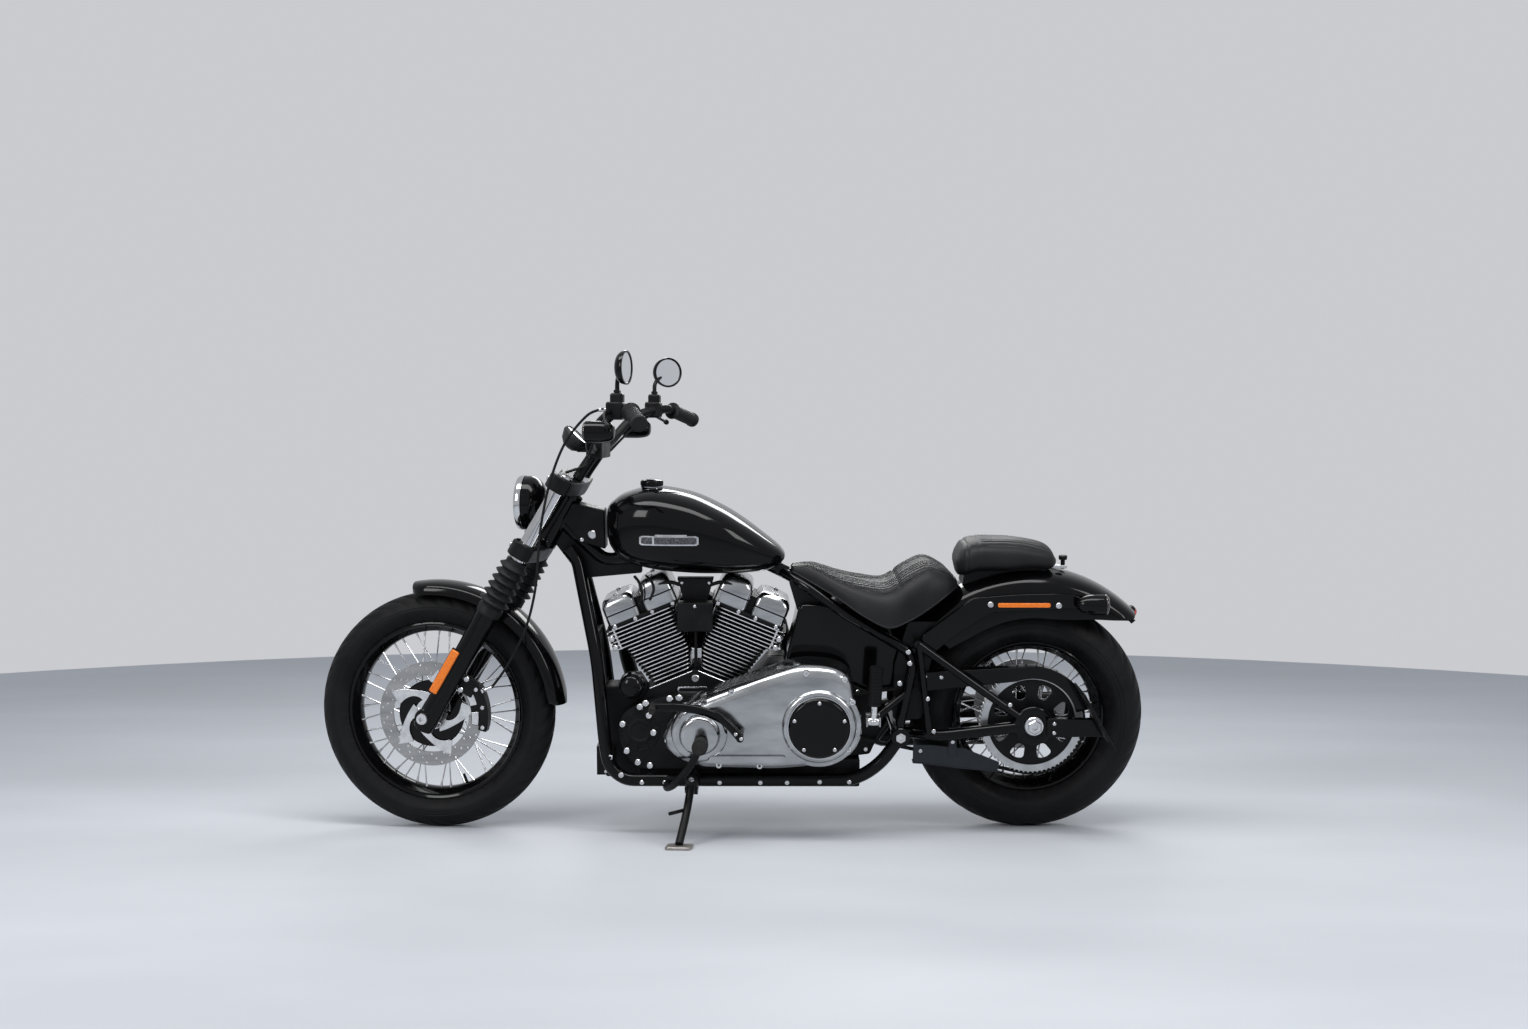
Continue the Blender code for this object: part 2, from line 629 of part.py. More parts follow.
hose_line = Vector((math.cos(math.radians(25)), 0, math.sin(math.radians(25))))
hose_end = FRONT_AXLE + hose_line * 0.1682 + Vector((0, -0.100, 0))
hose_out = hose_end + hose_line * 0.030
rope("brake_hose", "rubber_black", [
    on_bar(0.080 - GAP, -0.272, 0.110), on_bar(0.060, -0.272, 0.109), on_bar(0.017, -0.240, 0.090),
    on_bar(-0.048, -0.195, 0.020), on_fork(-0.009, -0.175, UPPER_CLAMP + 0.019),
    on_fork(0.028, -0.168, LOWER_CLAMP + 0.1075), on_fork(0.061, -0.166, LOWER_CLAMP + 0.034),
    on_fork(0.097, -0.160, SLIDER_TOP + 0.107), on_fork(0.1215, -0.146, SLIDER_TOP + 0.0056),
    on_fork(0.1238, -0.118, 0.2435),
    hose_out, hose_end.lerp(hose_out, 0.6), hose_end.lerp(hose_out, 0.3), hose_end],
     0.0035, 0.021, fork_turn)

# The frame: neck, backbone and seat rails, and a cradle on each side.

neck = on_fork(STEM_BACK, 0, LOWER_CLAMP + CLAMP_THICK + 0.0006)
neck_top = on_fork(STEM_BACK, 0, UPPER_CLAMP - 0.0006)
backbone = Vector((-0.440, 0, BACKBONE_Z - 0.007))
PEG_X = PIVOT_X - 0.078
PEG_Y = 0.200
PEG_Z = 0.349
PEG_KNUCKLE = 0.0145


def along_seat(share):
    """x at a share of the way from the seat's nose to its tail."""
    return SEAT_NOSE + (SEAT_TAIL - SEAT_NOSE) * share


frame = [tube([neck, neck_top], NECK_R, 16),
         tube([(neck + neck_top) / 2, backbone, (-0.380, 0, BACKBONE_Z), (-0.020, 0, BACKBONE_Z),
               (0.062, 0, BACKBONE_Z - 0.041)], 0.019, 8),
         plate([(neck.x + 0.017, neck.z + 0.020), (neck.x + 0.046, neck.z + 0.085),
                (backbone.x, backbone.z + 0.020), (backbone.x + 0.105, backbone.z - 0.010),
                (backbone.x + 0.105, backbone.z - 0.034), (backbone.x - 0.045, backbone.z - 0.048),
                (backbone.x - 0.075, backbone.z - 0.030)], -0.011, 0.011),
         plate([(neck.x + 0.054, neck.z + 0.067), (neck.x + 0.082, neck.z + 0.117),
                (backbone.x + 0.006, backbone.z + 0.143), (backbone.x + 0.008, backbone.z + 0.035),
                (backbone.x - 0.060, backbone.z + 0.055)], -0.034, 0.034, 0.006),
         tube([(along_seat(0.730), -0.120, 0.515), (along_seat(0.730), 0.120, 0.515)], 0.014, 8)]
for side in (-1, 1):
    frame += [on_side(piece, side) for piece in (
        tube([(0.040, 0, BACKBONE_Z - 0.0335), (along_seat(0.073), 0.060, 0.6915),
              (along_seat(0.286), 0.102, 0.629), (along_seat(0.712), 0.120, 0.519),
              (along_seat(0.735), 0.124, 0.480), (PIVOT_X, 0.126, 0.330),
              (PIVOT_X, 0.126, PIVOT_Z + 0.026 + GAP)], 0.014, 8),
        tube([(PIVOT_X + 0.018, 0.124, 0.410), (PEG_X + 0.012, 0.166, 0.352)], 0.010, 6),
        block(PEG_X - 0.0195, PEG_X + 0.0195, 0.160, PEG_Y - 0.022, PEG_Z - 0.015, PEG_Z + 0.015,
              0.003),
        *[block(PEG_X + end * (PEG_KNUCKLE + GAP), PEG_X + end * 0.0195, PEG_Y - 0.026,
                PEG_Y + 0.012, PEG_Z - 0.013, PEG_Z + 0.012) for end in (-1, 1)])]
part("frame_backbone", "gloss_black", frame)

STAND_AT = Vector((-0.194, -RAIL_Y - 0.057, RAIL_Z + 0.010))
foot_world = REST @ Vector((-0.221, -0.330, 0.045))
foot_world.z = 0.0
foot = REST.inverted() @ (foot_world + Vector((0, 0, 0.011)))
stand_line = (foot - STAND_AT).normalized()
fold_axis = stand_line.cross(AFT).normalized()
stand_side = fold_axis.cross(stand_line)
STAND = Matrix((stand_side, -fold_axis, stand_line)).transposed().to_4x4()
STAND.translation = STAND_AT
for side, name in ((-1, "left"), (1, "right")):
    cradle = [
        tube([(neck.x + 0.067, side * 0.0305, neck.z - 0.010),
              (neck.x + 0.093, side * 0.034, neck.z - 0.039),
              (-0.453, side * 0.090, 0.491), (-0.432, side * 0.120, 0.270),
              (-0.420, side * RAIL_Y, 0.205), (-0.378, side * RAIL_Y, RAIL_Z),
              (PIVOT_X - 0.121, side * RAIL_Y, RAIL_Z), (PIVOT_X - 0.050, side * RAIL_Y, 0.215),
              (PIVOT_X, side * RAIL_Y, PIVOT_Z)], RAIL_R, 10),
        turned((PIVOT_X, 0, PIVOT_Z), (0, side, 0), [(0.106, 0.026), (0.150, 0.026)], 14)]
    if side < 0:
        cradle.append(block(-0.018, 0.018, 0.0125 + GAP, 0.038, -0.054, 0.014, 0.003, STAND))
    part(f"cradle_{name}", "gloss_black", cradle)

# The V-twin: crankcase, finned barrels, heads, primary side and cam side.

def v_point(tilt, across, up):
    """(x, z) of a point in a cylinder's plane, across it and up it from the crankshaft."""
    return (CRANK_X + across * math.cos(tilt) + up * math.sin(tilt),
            CRANK_Z - across * math.sin(tilt) + up * math.cos(tilt))


CASE = [(CRANK_X - 0.165, 0.235), (CRANK_X - 0.173, 0.330), v_point(-HALF_V, -0.070, DECK),
        v_point(-HALF_V, 0.060, DECK), v_point(HALF_V, -0.060, DECK), v_point(HALF_V, 0.070, DECK),
        (CRANK_X + 0.150, 0.428), (CRANK_X + 0.198, 0.483), (CRANK_X + 0.244, 0.483),
        (CRANK_X + 0.244, CASE_TOP), (DRIVE_X - 0.010, CASE_TOP), (PIVOT_X - 0.068, 0.395),
        (PIVOT_X - 0.046, 0.300), (PIVOT_X - 0.078, 0.225), (0.100, 0.200), (-0.020, CASE_LOW),
        (CRANK_X - 0.110, CASE_LOW)]
INNER = [(CRANK_X - 0.205, 0.270), (CRANK_X - 0.208, 0.315), (CRANK_X - 0.193, 0.350),
         (CRANK_X - 0.158, 0.372), (CRANK_X - 0.055, 0.398), (CLUTCH_X - 0.085, 0.400),
         (CLUTCH_X - 0.085, 0.222), (CRANK_X + 0.087, 0.193), (CRANK_X - 0.153, 0.193),
         (CRANK_X - 0.185, 0.225)]
WEDGE = [(CRANK_X - 0.040, CRANK_Z + 0.343), (CRANK_X + 0.040, CRANK_Z + 0.343),
         (CRANK_X + 0.024, CRANK_Z + 0.290), (CRANK_X - 0.024, CRANK_Z + 0.290)]
COIL = [(CRANK_X - 0.050, CRANK_Z + 0.425), (CRANK_X + 0.050, CRANK_Z + 0.425),
        (CRANK_X + 0.026, CRANK_Z + 0.340), (CRANK_X - 0.026, CRANK_Z + 0.340)]
FILTER_X = CRANK_X - 0.173
FILTER_Z = 0.420
FILTER_FOOT = 0.060
FILTER_BOSS = [(FILTER_X + x, FILTER_Z + z) for x, z in (
    (-0.017, -0.035), (-0.017, 0.020), (0.020, 0.020), (0.0395, -0.012), (0.050, -0.030),
    (0.035, -0.055))]
part("crankcase", "satin_black", [
    plate(CASE, -CASE_HALF, CASE_HALF, 0.006),
    turned((DRIVE_X, 0, DRIVE_Z), LEFT, [(CASE_HALF - 0.01, DRIVE_R - 0.0013),
                                         (-BELT_Y + BELT_HALF, DRIVE_R - 0.0013)], 24),
    block(CRANK_X - 0.004, CRANK_X + 0.004, -0.060, -0.030, CRANK_Z + 0.170, CRANK_Z + 0.305),
    plate(WEDGE, -0.080, -0.020),
    block(CRANK_X - 0.048, CRANK_X + 0.048, -0.118, -0.0745, CRANK_Z + 0.288, CRANK_Z + 0.368,
          0.005),
    plate(COIL, -0.056, -0.024, 0.003),
    plate(FILTER_BOSS, -FILTER_FOOT, 0.0, 0.003),
    plate(INNER, PRIMARY_IN, -0.0745)])


def cylinder_place(tilt):
    """Frame of one cylinder: z up its axis from the crankshaft, x across it outwards."""
    return Matrix.Translation((CRANK_X, 0, CRANK_Z)) @ Matrix.Rotation(tilt, 4, "Y")


def cylinder_ring(place, out, into, left, right, corner, z):
    """A rectangle with cut corners, square to the cylinder."""
    c = corner
    d = math.copysign(corner, out - into)
    flat = [(out, -left + c), (out - d, -left), (into + d, -left), (into, -left + c),
            (into, right - c), (into + d, right), (out - d, right), (out, right - c)]
    return [place @ Vector((x, y, z)) for x, y in flat]


def barrel(tilt, out):
    """Barrel and head: tapered fins up the axis, narrow inside the V and wide at the head."""
    place = cylinder_place(tilt)
    foot_at = DECK + GAP
    rings = [cylinder_ring(place, 0.046 * out, -0.040 * out, 0.052, 0.052, 0.018, foot_at)]
    for i in range(BARREL_FINS + HEAD_FINS):
        in_head = i >= BARREL_FINS
        share = i / (BARREL_FINS - 1)
        outer = 0.122 if in_head else 0.0625 + 0.0275 * share
        inner = 0.080 if in_head else min(0.057 + 0.004 * i, 0.076)
        z = foot_at + i * FIN_PITCH
        core = cylinder_ring(place, (outer - 0.020) * out, (0.016 - inner) * out, 0.054, 0.054,
                             0.018, z + 0.26 * FIN_PITCH)
        edges = [cylinder_ring(place, outer * out, -inner * out, FIN_HALF, FIN_HALF, 0.024,
                               z + up * FIN_PITCH) for up in (0.62, 0.94)]
        rings += [core, *edges]
    return loft(rings)


def head(tilt, out):
    """Rocker boxes on one base: the lower box outside, the taller one toward the V."""
    place = cylinder_place(tilt)
    boxes = ((((0.000, 0.112, -0.098, 0.070, 0.102, 0.018), (0.010, 0.112, -0.098, 0.070, 0.102, 0.018))),
             (((0.004, 0.108, 0.012, 0.066, 0.100, 0.016), (0.066, 0.108, 0.012, 0.066, 0.100, 0.016),
               (0.080, 0.096, 0.024, 0.054, 0.088, 0.016))),
             (((0.005, -0.002, -0.096, 0.067, 0.098, 0.018), (0.076, -0.002, -0.096, 0.067, 0.098, 0.018),
               (0.092, -0.014, -0.084, 0.054, 0.084, 0.018))))
    return [loft([cylinder_ring(place, a * out, b * out, left, right, c, z + HEAD_FOOT)
                  for z, a, b, left, right, c in rows]) for rows in boxes]


for tilt, out, name in ((-HALF_V, -1, "front"), (HALF_V, 1, "rear")):
    part(f"cylinder_{name}", "satin_black", [barrel(tilt, out)], smooth=25)
    part(f"rocker_box_{name}", "polished_metal", head(tilt, out), smooth=25)

PRIMARY = [(CRANK_X - 0.082, 0.318), (CRANK_X - 0.053, 0.369), (CRANK_X + 0.010, 0.4085),
           (CRANK_X + 0.076, 0.435), (CRANK_X + 0.153, 0.464), (CLUTCH_X - 0.105, 0.490),
           (CLUTCH_X - 0.050, 0.507), (CLUTCH_X + 0.037, 0.503), (CLUTCH_X + 0.085, 0.479),
           (CLUTCH_X + 0.100, 0.420), (CLUTCH_X + 0.106, 0.335), (CLUTCH_X + 0.094, 0.275),
           (CLUTCH_X + 0.052, 0.240), (CLUTCH_X - 0.034, 0.226), (CLUTCH_X - 0.121, 0.220),
           (CRANK_X + 0.010, 0.2255), (CRANK_X - 0.053, 0.252), (CRANK_X - 0.078, 0.283)]
part("primary_cover", "polished_metal", [
    plate(PRIMARY, PRIMARY_OUT, PRIMARY_IN - GAP, 0.012),
    turned((CRANK_X + 0.017, 0, 0.322), LEFT,
           [(-PRIMARY_OUT - 0.01, 0.070), (-PRIMARY_OUT + 0.018, 0.064),
            (-PRIMARY_OUT + 0.026, 0.052)], 22),
    turned((CLUTCH_X, 0, CLUTCH_Z), LEFT, [(-PRIMARY_OUT - 0.01, 0.098),
                                           (-PRIMARY_OUT + 0.010, 0.092)], 22)])
part("derby_cover", "gloss_black", [
    turned((CLUTCH_X, 0, CLUTCH_Z), LEFT,
           [(-PRIMARY_OUT + 0.010 + GAP, DERBY_R), (-PRIMARY_OUT + 0.018, DERBY_R),
            (-PRIMARY_OUT + 0.024, DERBY_R - 0.012), (-PRIMARY_OUT + 0.026, 0.030)], 22)])

CAM = [(CRANK_X + x, z) for x, z in (
    (-0.113, 0.290), (-0.103, 0.350), (-0.063, 0.398), (0.000, 0.412), (0.067, 0.398),
    (0.157, 0.350), (0.207, 0.300), (0.197, 0.240), (0.127, 0.212), (-0.043, 0.212),
    (-0.098, 0.240))]
pushrods = []
for tilt in (-HALF_V, HALF_V):
    place = cylinder_place(tilt)
    for x in (-0.020, 0.020):
        pushrods.append(tube([place @ Vector((x * 0.7, 0.088, 0.095)),
                              place @ Vector((x, 0.088, HEAD_FOOT - GAP))], 0.0085, 8))
part("cam_cover", "polished_metal", [plate(CAM, CASE_HALF + GAP, 0.136, 0.010), *pushrods])
part("air_cleaner", "satin_black", [
    turned((CRANK_X, 0, CRANK_Z + 0.275), RIGHT, [(0.104, 0.074), (0.110, 0.082), (0.160, 0.082),
                                                  (0.168, 0.072), (0.172, 0.050)], 22),
    turned((CRANK_X, 0, CRANK_Z + 0.305), RIGHT, [(-0.020 + GAP, 0.022), (0.110, 0.022)], 12)])


def pipe(name, path, muffler):
    """An exhaust pipe and its muffler."""
    start, end = muffler
    part(name, "satin_black", [
        tube(path + [start], 0.021, 10),
        turned(start, Vector(end) - Vector(start),
               [(0.0, 0.0215), (0.040, 0.034), ((Vector(end) - Vector(start)).length, 0.034)],
               12)])


head_side = 0.100 + GAP
front_port = cylinder_place(-HALF_V) @ Vector((-0.060, head_side, HEAD_FOOT + 0.036))
rear_port = cylinder_place(HALF_V) @ Vector((0.060, head_side, HEAD_FOOT + 0.036))
pipe("exhaust_front", [front_port, front_port + Vector((0, 0.030, 0)),
                       (CRANK_X - 0.218, 0.158, 0.570), (CRANK_X - 0.213, 0.168, 0.450),
                       (CRANK_X - 0.163, 0.176, 0.300), (CRANK_X - 0.083, 0.184, 0.225),
                       (CRANK_X + 0.037, 0.190, 0.205)],
     ((PIVOT_X - 0.068, 0.195, 0.205), (REAR_AXLE_X + 0.174, 0.205, 0.215)))
pipe("exhaust_rear", [rear_port, rear_port + Vector((0, 0.030, 0)), (CRANK_X + 0.222, 0.160, 0.580),
                      (CRANK_X + 0.247, 0.176, 0.480), (CRANK_X + 0.307, 0.186, 0.350),
                      (PIVOT_X - 0.148, 0.192, 0.292)],
     ((PIVOT_X - 0.038, 0.196, 0.285), (REAR_AXLE_X + 0.174, 0.206, 0.295)))
part("oil_filter", "satin_black", [
    turned((FILTER_X, -FILTER_FOOT, FILTER_Z), LEFT,
           [(GAP, 0.026), (0.004, 0.0345), (0.042, 0.0345), (0.056, 0.029), (0.064, 0.018),
            (0.067, 0.006)], 20)])
part("oil_cooler", "satin_black", [
    plate([(-0.478, 0.560), (-0.452, 0.560), (-0.432, 0.300), (-0.458, 0.300)], -0.052, 0.052,
          0.003),
    block(-0.452, -0.444, -0.020, 0.020, 0.200, 0.310),
    tube([(-0.4443, -0.0830, 0.400), (-0.4443, 0.0830, 0.400)], 0.006, 6),
    block(-0.462, -0.412, -0.055, 0.055, 0.158, 0.240, 0.005)])

# Tank, seat and fender.

TANK = ((-0.426, 0.812, 0.900, 0.050), (-0.414, 0.787, 0.914, 0.080), (-0.379, 0.756, 0.936, 0.118),
        (-0.300, 0.735, 0.953, 0.146), (-0.200, 0.725, 0.937, 0.150), (-0.120, 0.722, 0.903, 0.140),
        (-0.060, 0.722, 0.868, 0.122), (0.005, 0.728, 0.820, 0.092), (0.040, 0.742, 0.792, 0.064),
        (0.054, 0.756, 0.776, 0.040))


def rounded_ring(x, low, high, half, count=16, flat=0.62):
    """A soft rectangle square to the machine's length."""
    ring = []
    for i in range(count):
        a = 2 * math.pi * (i + 0.5) / count
        c = math.cos(a)
        s = math.sin(a)
        ring.append((x, half * math.copysign(abs(c) ** flat, c),
                     (low + high) / 2 + (high - low) / 2 * math.copysign(abs(s) ** flat, s)))
    return ring


part("fuel_tank", "gloss_black", [loft([rounded_ring(*row) for row in TANK])],
     cuts=[block(-0.500, 0.100, -0.0181, 0.0181, 0.700, BACKBONE_Z + 0.0182),
           block(-0.345, -0.085, -0.100, 0.104, 0.690, BACKBONE_Z - 0.020)])
part("fuel_cap", "satin_black", [
    turned((-0.307, 0, 0.9525), UP, [(0.0, 0.026), (0.002, 0.030), (0.018, 0.030),
                                     (0.022, 0.025)], 20)])

SEAT = ((0.000, 0.722, 0.741, 0.034), (0.118, 0.697, 0.745, 0.066), (0.277, 0.662, 0.720, 0.114),
        (0.424, 0.622, 0.705, 0.148), (0.571, 0.594, 0.700, 0.164), (0.696, 0.612, 0.736, 0.166),
        (0.821, 0.645, 0.760, 0.158), (0.934, 0.678, 0.738, 0.132), (1.000, 0.692, 0.710, 0.090))


def seat_ring(share, low, high, half):
    """The solo seat's section: a dished top and a skirt on each side."""
    x = along_seat(share)
    under = max(low + 0.004, high - 0.050)
    side = low + (high - low) * 0.45
    return [(x, -half, low), (x, -half * 1.02, side), (x, -half * 0.84, high - 0.010),
            (x, -half * 0.45, high), (x, 0, high - 0.005), (x, half * 0.45, high),
            (x, half * 0.84, high - 0.010), (x, half * 1.02, side), (x, half, low),
            (x, half - 0.018, low), (x, half * 0.62, under), (x, -half * 0.62, under),
            (x, -half + 0.018, low)]


part("seat", "seat_black", [loft([seat_ring(*row) for row in SEAT])])
PAD = ((-0.198, -0.011, 0.044, 0.080), (-0.181, -0.008, 0.066, 0.098), (-0.146, -0.003, 0.079, 0.106),
       (-0.066, -0.0075, 0.079, 0.108), (-0.007, -0.0006, 0.072, 0.103),
       (0.046, -0.0042, 0.058, 0.086), (0.064, 0.008, 0.032, 0.060))
part("pillion_pad", "seat_black", [
    loft([rounded_ring(CROWN.x + x, CROWN.z + low, CROWN.z + high, half, 12, 0.7)
          for x, low, high, half in PAD])])

SKIRT = {46: 0.065, 53: 0.029, 61: 0.001, 70: -0.022, 80: -0.034, 91: -0.035, 103: -0.036,
         115: -0.036, 127: -0.033, 138: -0.019}


def rear_fender_profile(deg):
    """The rear fender's skirt is cut by its table; its crown is the same all the way."""
    r = FENDER_R
    h = FENDER_HALF
    low = REAR_TYRE_R + SKIRT[deg]
    top = max(low + 0.006, r - 0.041)
    return [(-h, low), (-h, top), (-h + 0.016, r - 0.018), (-0.050, r - 0.004), (0, r),
            (0.050, r - 0.004), (h - 0.016, r - 0.018), (h, top), (h, low)]


part("rear_fender", "gloss_black", [fender(REAR_AXLE, sorted(SKIRT), rear_fender_profile)])
STRUT = ([(PIVOT_X + 0.0546, 0.520), (PIVOT_X + 0.0546, 0.562), (PIVOT_X + 0.072, 0.578)]
         + [(CROWN.x + x, CROWN.z + z) for x, z in ((-0.166, -0.068), (0.050, -0.056),
                                                    (0.118, -0.062), (0.130, -0.081),
                                                    (0.116, -0.097), (-0.116, -0.108))]
         + [(PIVOT_X + 0.132, 0.556), (PIVOT_X + 0.082, 0.508)])
for side, name in ((-1, "left"), (1, "right")):
    part(f"fender_strut_{name}", "gloss_black", [on_side(piece, side) for piece in (
        plate(STRUT, FENDER_HALF + GAP, 0.124, 0.003),
        turned(CROWN + Vector((0.149, 0.152, -0.081)), AFT,
               [(-0.042, 0.012), (-0.034, 0.022), (-0.008, 0.0275), (0.034, 0.0275),
                (0.042, 0.022)], 8),
        turned(CROWN + Vector((0.122, 0, -0.081)), RIGHT, [(0.118, 0.008), (0.145, 0.008)], 8))])
tip = math.radians(46)
tip_at = REAR_AXLE + (FENDER_R - 0.016) * Vector((math.cos(tip), 0, math.sin(tip)))
part("tail_lamp", "red_lens", [
    turned(tip_at, (math.sin(tip), 0, -math.cos(tip)),
           [(GAP, 0.022), (0.014, 0.022), (0.022, 0.015)], 14)])
part("oil_tank", "gloss_black", [
    plate([(CRANK_X + 0.249, CASE_TOP + GAP), (DRIVE_X - 0.010, CASE_TOP + GAP),
           (PIVOT_X - 0.068, 0.395 + GAP), (PIVOT_X - 0.018, 0.410), (PIVOT_X + 0.004, 0.520),
           (PIVOT_X - 0.028, 0.585), (PIVOT_X - 0.068, 0.625), (PIVOT_X - 0.138, 0.642),
           (CRANK_X + 0.290, 0.642), (CRANK_X + 0.279, 0.630), (CRANK_X + 0.265, 0.565),
           (CRANK_X + 0.249, 0.510)], -0.080, 0.080, 0.008)])

# Swingarm, belt, guards and the plate carrier.

arm = [turned((PIVOT_X, 0, PIVOT_Z), RIGHT, [(-0.105, 0.022), (0.105, 0.022)], 12),
       turned(REAR_AXLE, RIGHT, [(-0.130, AXLE_R), (0.130, AXLE_R)], 12),
       tube([(PIVOT_X + 0.044, -0.146, 0.545), (PIVOT_X + 0.044, 0.146, 0.545)], 0.011, 8),
       sector(REAR_AXLE, 0.092, 0.150, 122, 158, 0.1045, 0.134),
       sector(REAR_AXLE, 0.1345, 0.148, 123, 157, 0.084, 0.110),
       sector(REAR_AXLE, REAR_TYRE_R + 0.020, REAR_TYRE_R + 0.024, 138, 184, -0.078, 0.078, 6)]
for side in (-1, 1):
    arm += [on_side(piece, side) for piece in (
        tube([(PIVOT_X + 0.004, 0.088, PIVOT_Z), (PIVOT_X + 0.037, 0.088, PIVOT_Z),
              (PIVOT_X + 0.102, ARM_Y, PIVOT_Z + 0.002), (REAR_AXLE_X, ARM_Y, REAR_TYRE_R)],
             ARM_R, 8),
        tube([(PIVOT_X + 0.044, 0.140, 0.545), REAR_AXLE + Vector((-0.036, 0.140, 0.022))],
             0.012, 8),
        tube([(PIVOT_X + 0.077, 0.142, 0.300), (PIVOT_X + 0.047, 0.140, 0.540)], 0.010, 8),
        turned(REAR_AXLE, RIGHT, [(0.116, 0.044), (0.124, 0.053), (0.149, 0.053),
                                  (0.152, 0.050), (0.152, 0.026), (0.166, 0.026)], 14))]
part("swingarm", "gloss_black", arm)

apart = Vector((DRIVE_X - REAR_AXLE_X, DRIVE_Z - REAR_TYRE_R))
line = math.atan2(apart.y, apart.x)
belt_in = PULLEY_R + 0.0008
drive_in = DRIVE_R
spread = math.acos((belt_in - drive_in) / apart.length)


def belt_loop(offset):
    """Corners of the belt's run at an offset outside the pulleys."""
    corners = []
    for i in range(23):
        a = line + spread + (2 * math.pi - 2 * spread) * i / 22
        r = belt_in + offset
        corners.append((REAR_AXLE_X + r * math.cos(a), REAR_TYRE_R + r * math.sin(a)))
    for i in range(9):
        a = line - spread + 2 * spread * i / 8
        r = drive_in + offset
        corners.append((DRIVE_X + r * math.cos(a), DRIVE_Z + r * math.sin(a)))
    return corners


def band(inner, outer, y0, y1):
    """A closed loop of strap."""
    return loft([[(a[0], y0, a[1]), (b[0], y0, b[1]), (b[0], y1, b[1]), (a[0], y1, a[1])]
                 for a, b in zip(inner, outer)], closed=True)


part("drive_belt", "rubber_black", [
    band(belt_loop(0.0), belt_loop(BELT_THICK), BELT_Y - BELT_HALF, BELT_Y + BELT_HALF)])


def round_axle(radius, low, high, step):
    """Outline points at a radius round the rear axle, by degrees up from straight back."""
    return [(REAR_AXLE_X + radius * math.cos(math.radians(a)),
             REAR_TYRE_R + radius * math.sin(math.radians(a))) for a in range(low, high, step)]


GUARD_Y = BELT_Y - BELT_HALF - 0.0065
GUARD_R = PULLEY_R + 0.0155
GUARD = (round_axle(GUARD_R, 14, 96, 9) + [(PIVOT_X + 0.050, 0.462), (PIVOT_X + 0.050, 0.410),
                                           (PIVOT_X + 0.180, 0.424)]
         + round_axle(GUARD_R - 0.034, 110, 13, -12))
LIP = (round_axle(GUARD_R, 14, 96, 9) + [(PIVOT_X + 0.050, 0.462), (PIVOT_X + 0.050, 0.458)]
       + round_axle(GUARD_R - 0.004, 95, 13, -9))
part("belt_guard", "satin_black", [
    plate(GUARD, GUARD_Y - 0.005, GUARD_Y), plate(LIP, GUARD_Y - 0.004, -0.083),
    turned((PIVOT_X + 0.162, 0, 0.4575), LEFT, [(-GUARD_Y + 0.003, 0.005), (0.1286, 0.005)], 8)])
LOWER_EDGE = [(PIVOT_X + 0.036, 0.214), (PIVOT_X + 0.072, 0.212), (PIVOT_X + 0.162, 0.200),
              (REAR_AXLE_X - 0.091, REAR_TYRE_R - 0.133)]
part("lower_guard", "blue_grey", [
    plate(LOWER_EDGE + [(REAR_AXLE_X - 0.086, REAR_TYRE_R - 0.109), (PIVOT_X + 0.177, 0.252),
                        (PIVOT_X + 0.087, 0.262), (PIVOT_X + 0.036, 0.262)],
          GUARD_Y - 0.005, GUARD_Y),
    plate(LOWER_EDGE + [(x, z - 0.004) for x, z in LOWER_EDGE[::-1]], GUARD_Y - 0.004, -0.084),
    block(PIVOT_X + 0.132, PIVOT_X + 0.154, -0.1228, GUARD_Y - 0.001, 0.235, 0.310)])
CARRIER = [(0.103, 0.118), (0.108, 0.121), (0.192, -0.029), (0.187, -0.032)]
part("plate_carrier", "satin_black", [
    plate([(REAR_AXLE_X + x, REAR_TYRE_R + z) for x, z in ((0.031, -0.025), (0.187, -0.023),
                                                           (0.161, 0.025), (0.031, 0.027))],
          -0.174, -0.152 - GAP, 0.004),
    plate([(REAR_AXLE_X + x, REAR_TYRE_R + z) for x, z in CARRIER], -0.290, -0.150)])

# Pegs, shift lever, pedal and stand.

for side, name in ((-1, "left"), (1, "right")):
    pieces = [tube([(-0.262, RAIL_Y + RAIL_R + GAP, RAIL_Z - 0.006),
                    (-0.262, RAIL_Y + 0.060, RAIL_Z - 0.006), (-0.238, 0.240, 0.185),
                    (-0.190, 0.270, 0.250), (-0.166, 0.275, 0.303)], 0.010, 8),
              tube([(-0.166, 0.266, 0.304), (-0.166, 0.350, 0.318)], 0.016, 10)]
    if side > 0:
        pieces += [tube([(-0.190, 0.268, 0.250), (-0.240, 0.262, 0.290),
                         (-0.300, 0.255, 0.345)], 0.007, 6),
                   block(-0.330, -0.285, 0.235, 0.285, 0.340, 0.352, 0.002)]
    part(f"footpeg_{name}", "satin_black", [on_side(piece, side) for piece in pieces])
    hinge = Vector((PEG_X, side * PEG_Y, PEG_Z))
    part(f"passenger_peg_{name}", "rubber_black", [
        turned(hinge, AFT, [(-PEG_KNUCKLE, 0.012), (PEG_KNUCKLE, 0.012)], 10),
        tube([hinge + UP * 0.002, hinge + Vector((0.008, 0, 0.149))], 0.0135, 10)])
part("shift_lever", "satin_black", [
    tube([(-0.063, -0.275, 0.325), (-0.100, -0.277, 0.370), (-0.150, -0.277, 0.395),
          (-0.210, -0.275, 0.406), (-0.291, -0.270, 0.405)], 0.009, 8),
    turned((-0.063, 0, 0.325), LEFT, [(-PRIMARY_OUT + GAP, 0.010), (0.288, 0.010)], 10),
    turned((-0.291, 0, 0.405), LEFT, [(0.256, 0.010), (0.312, 0.010)], 10)])

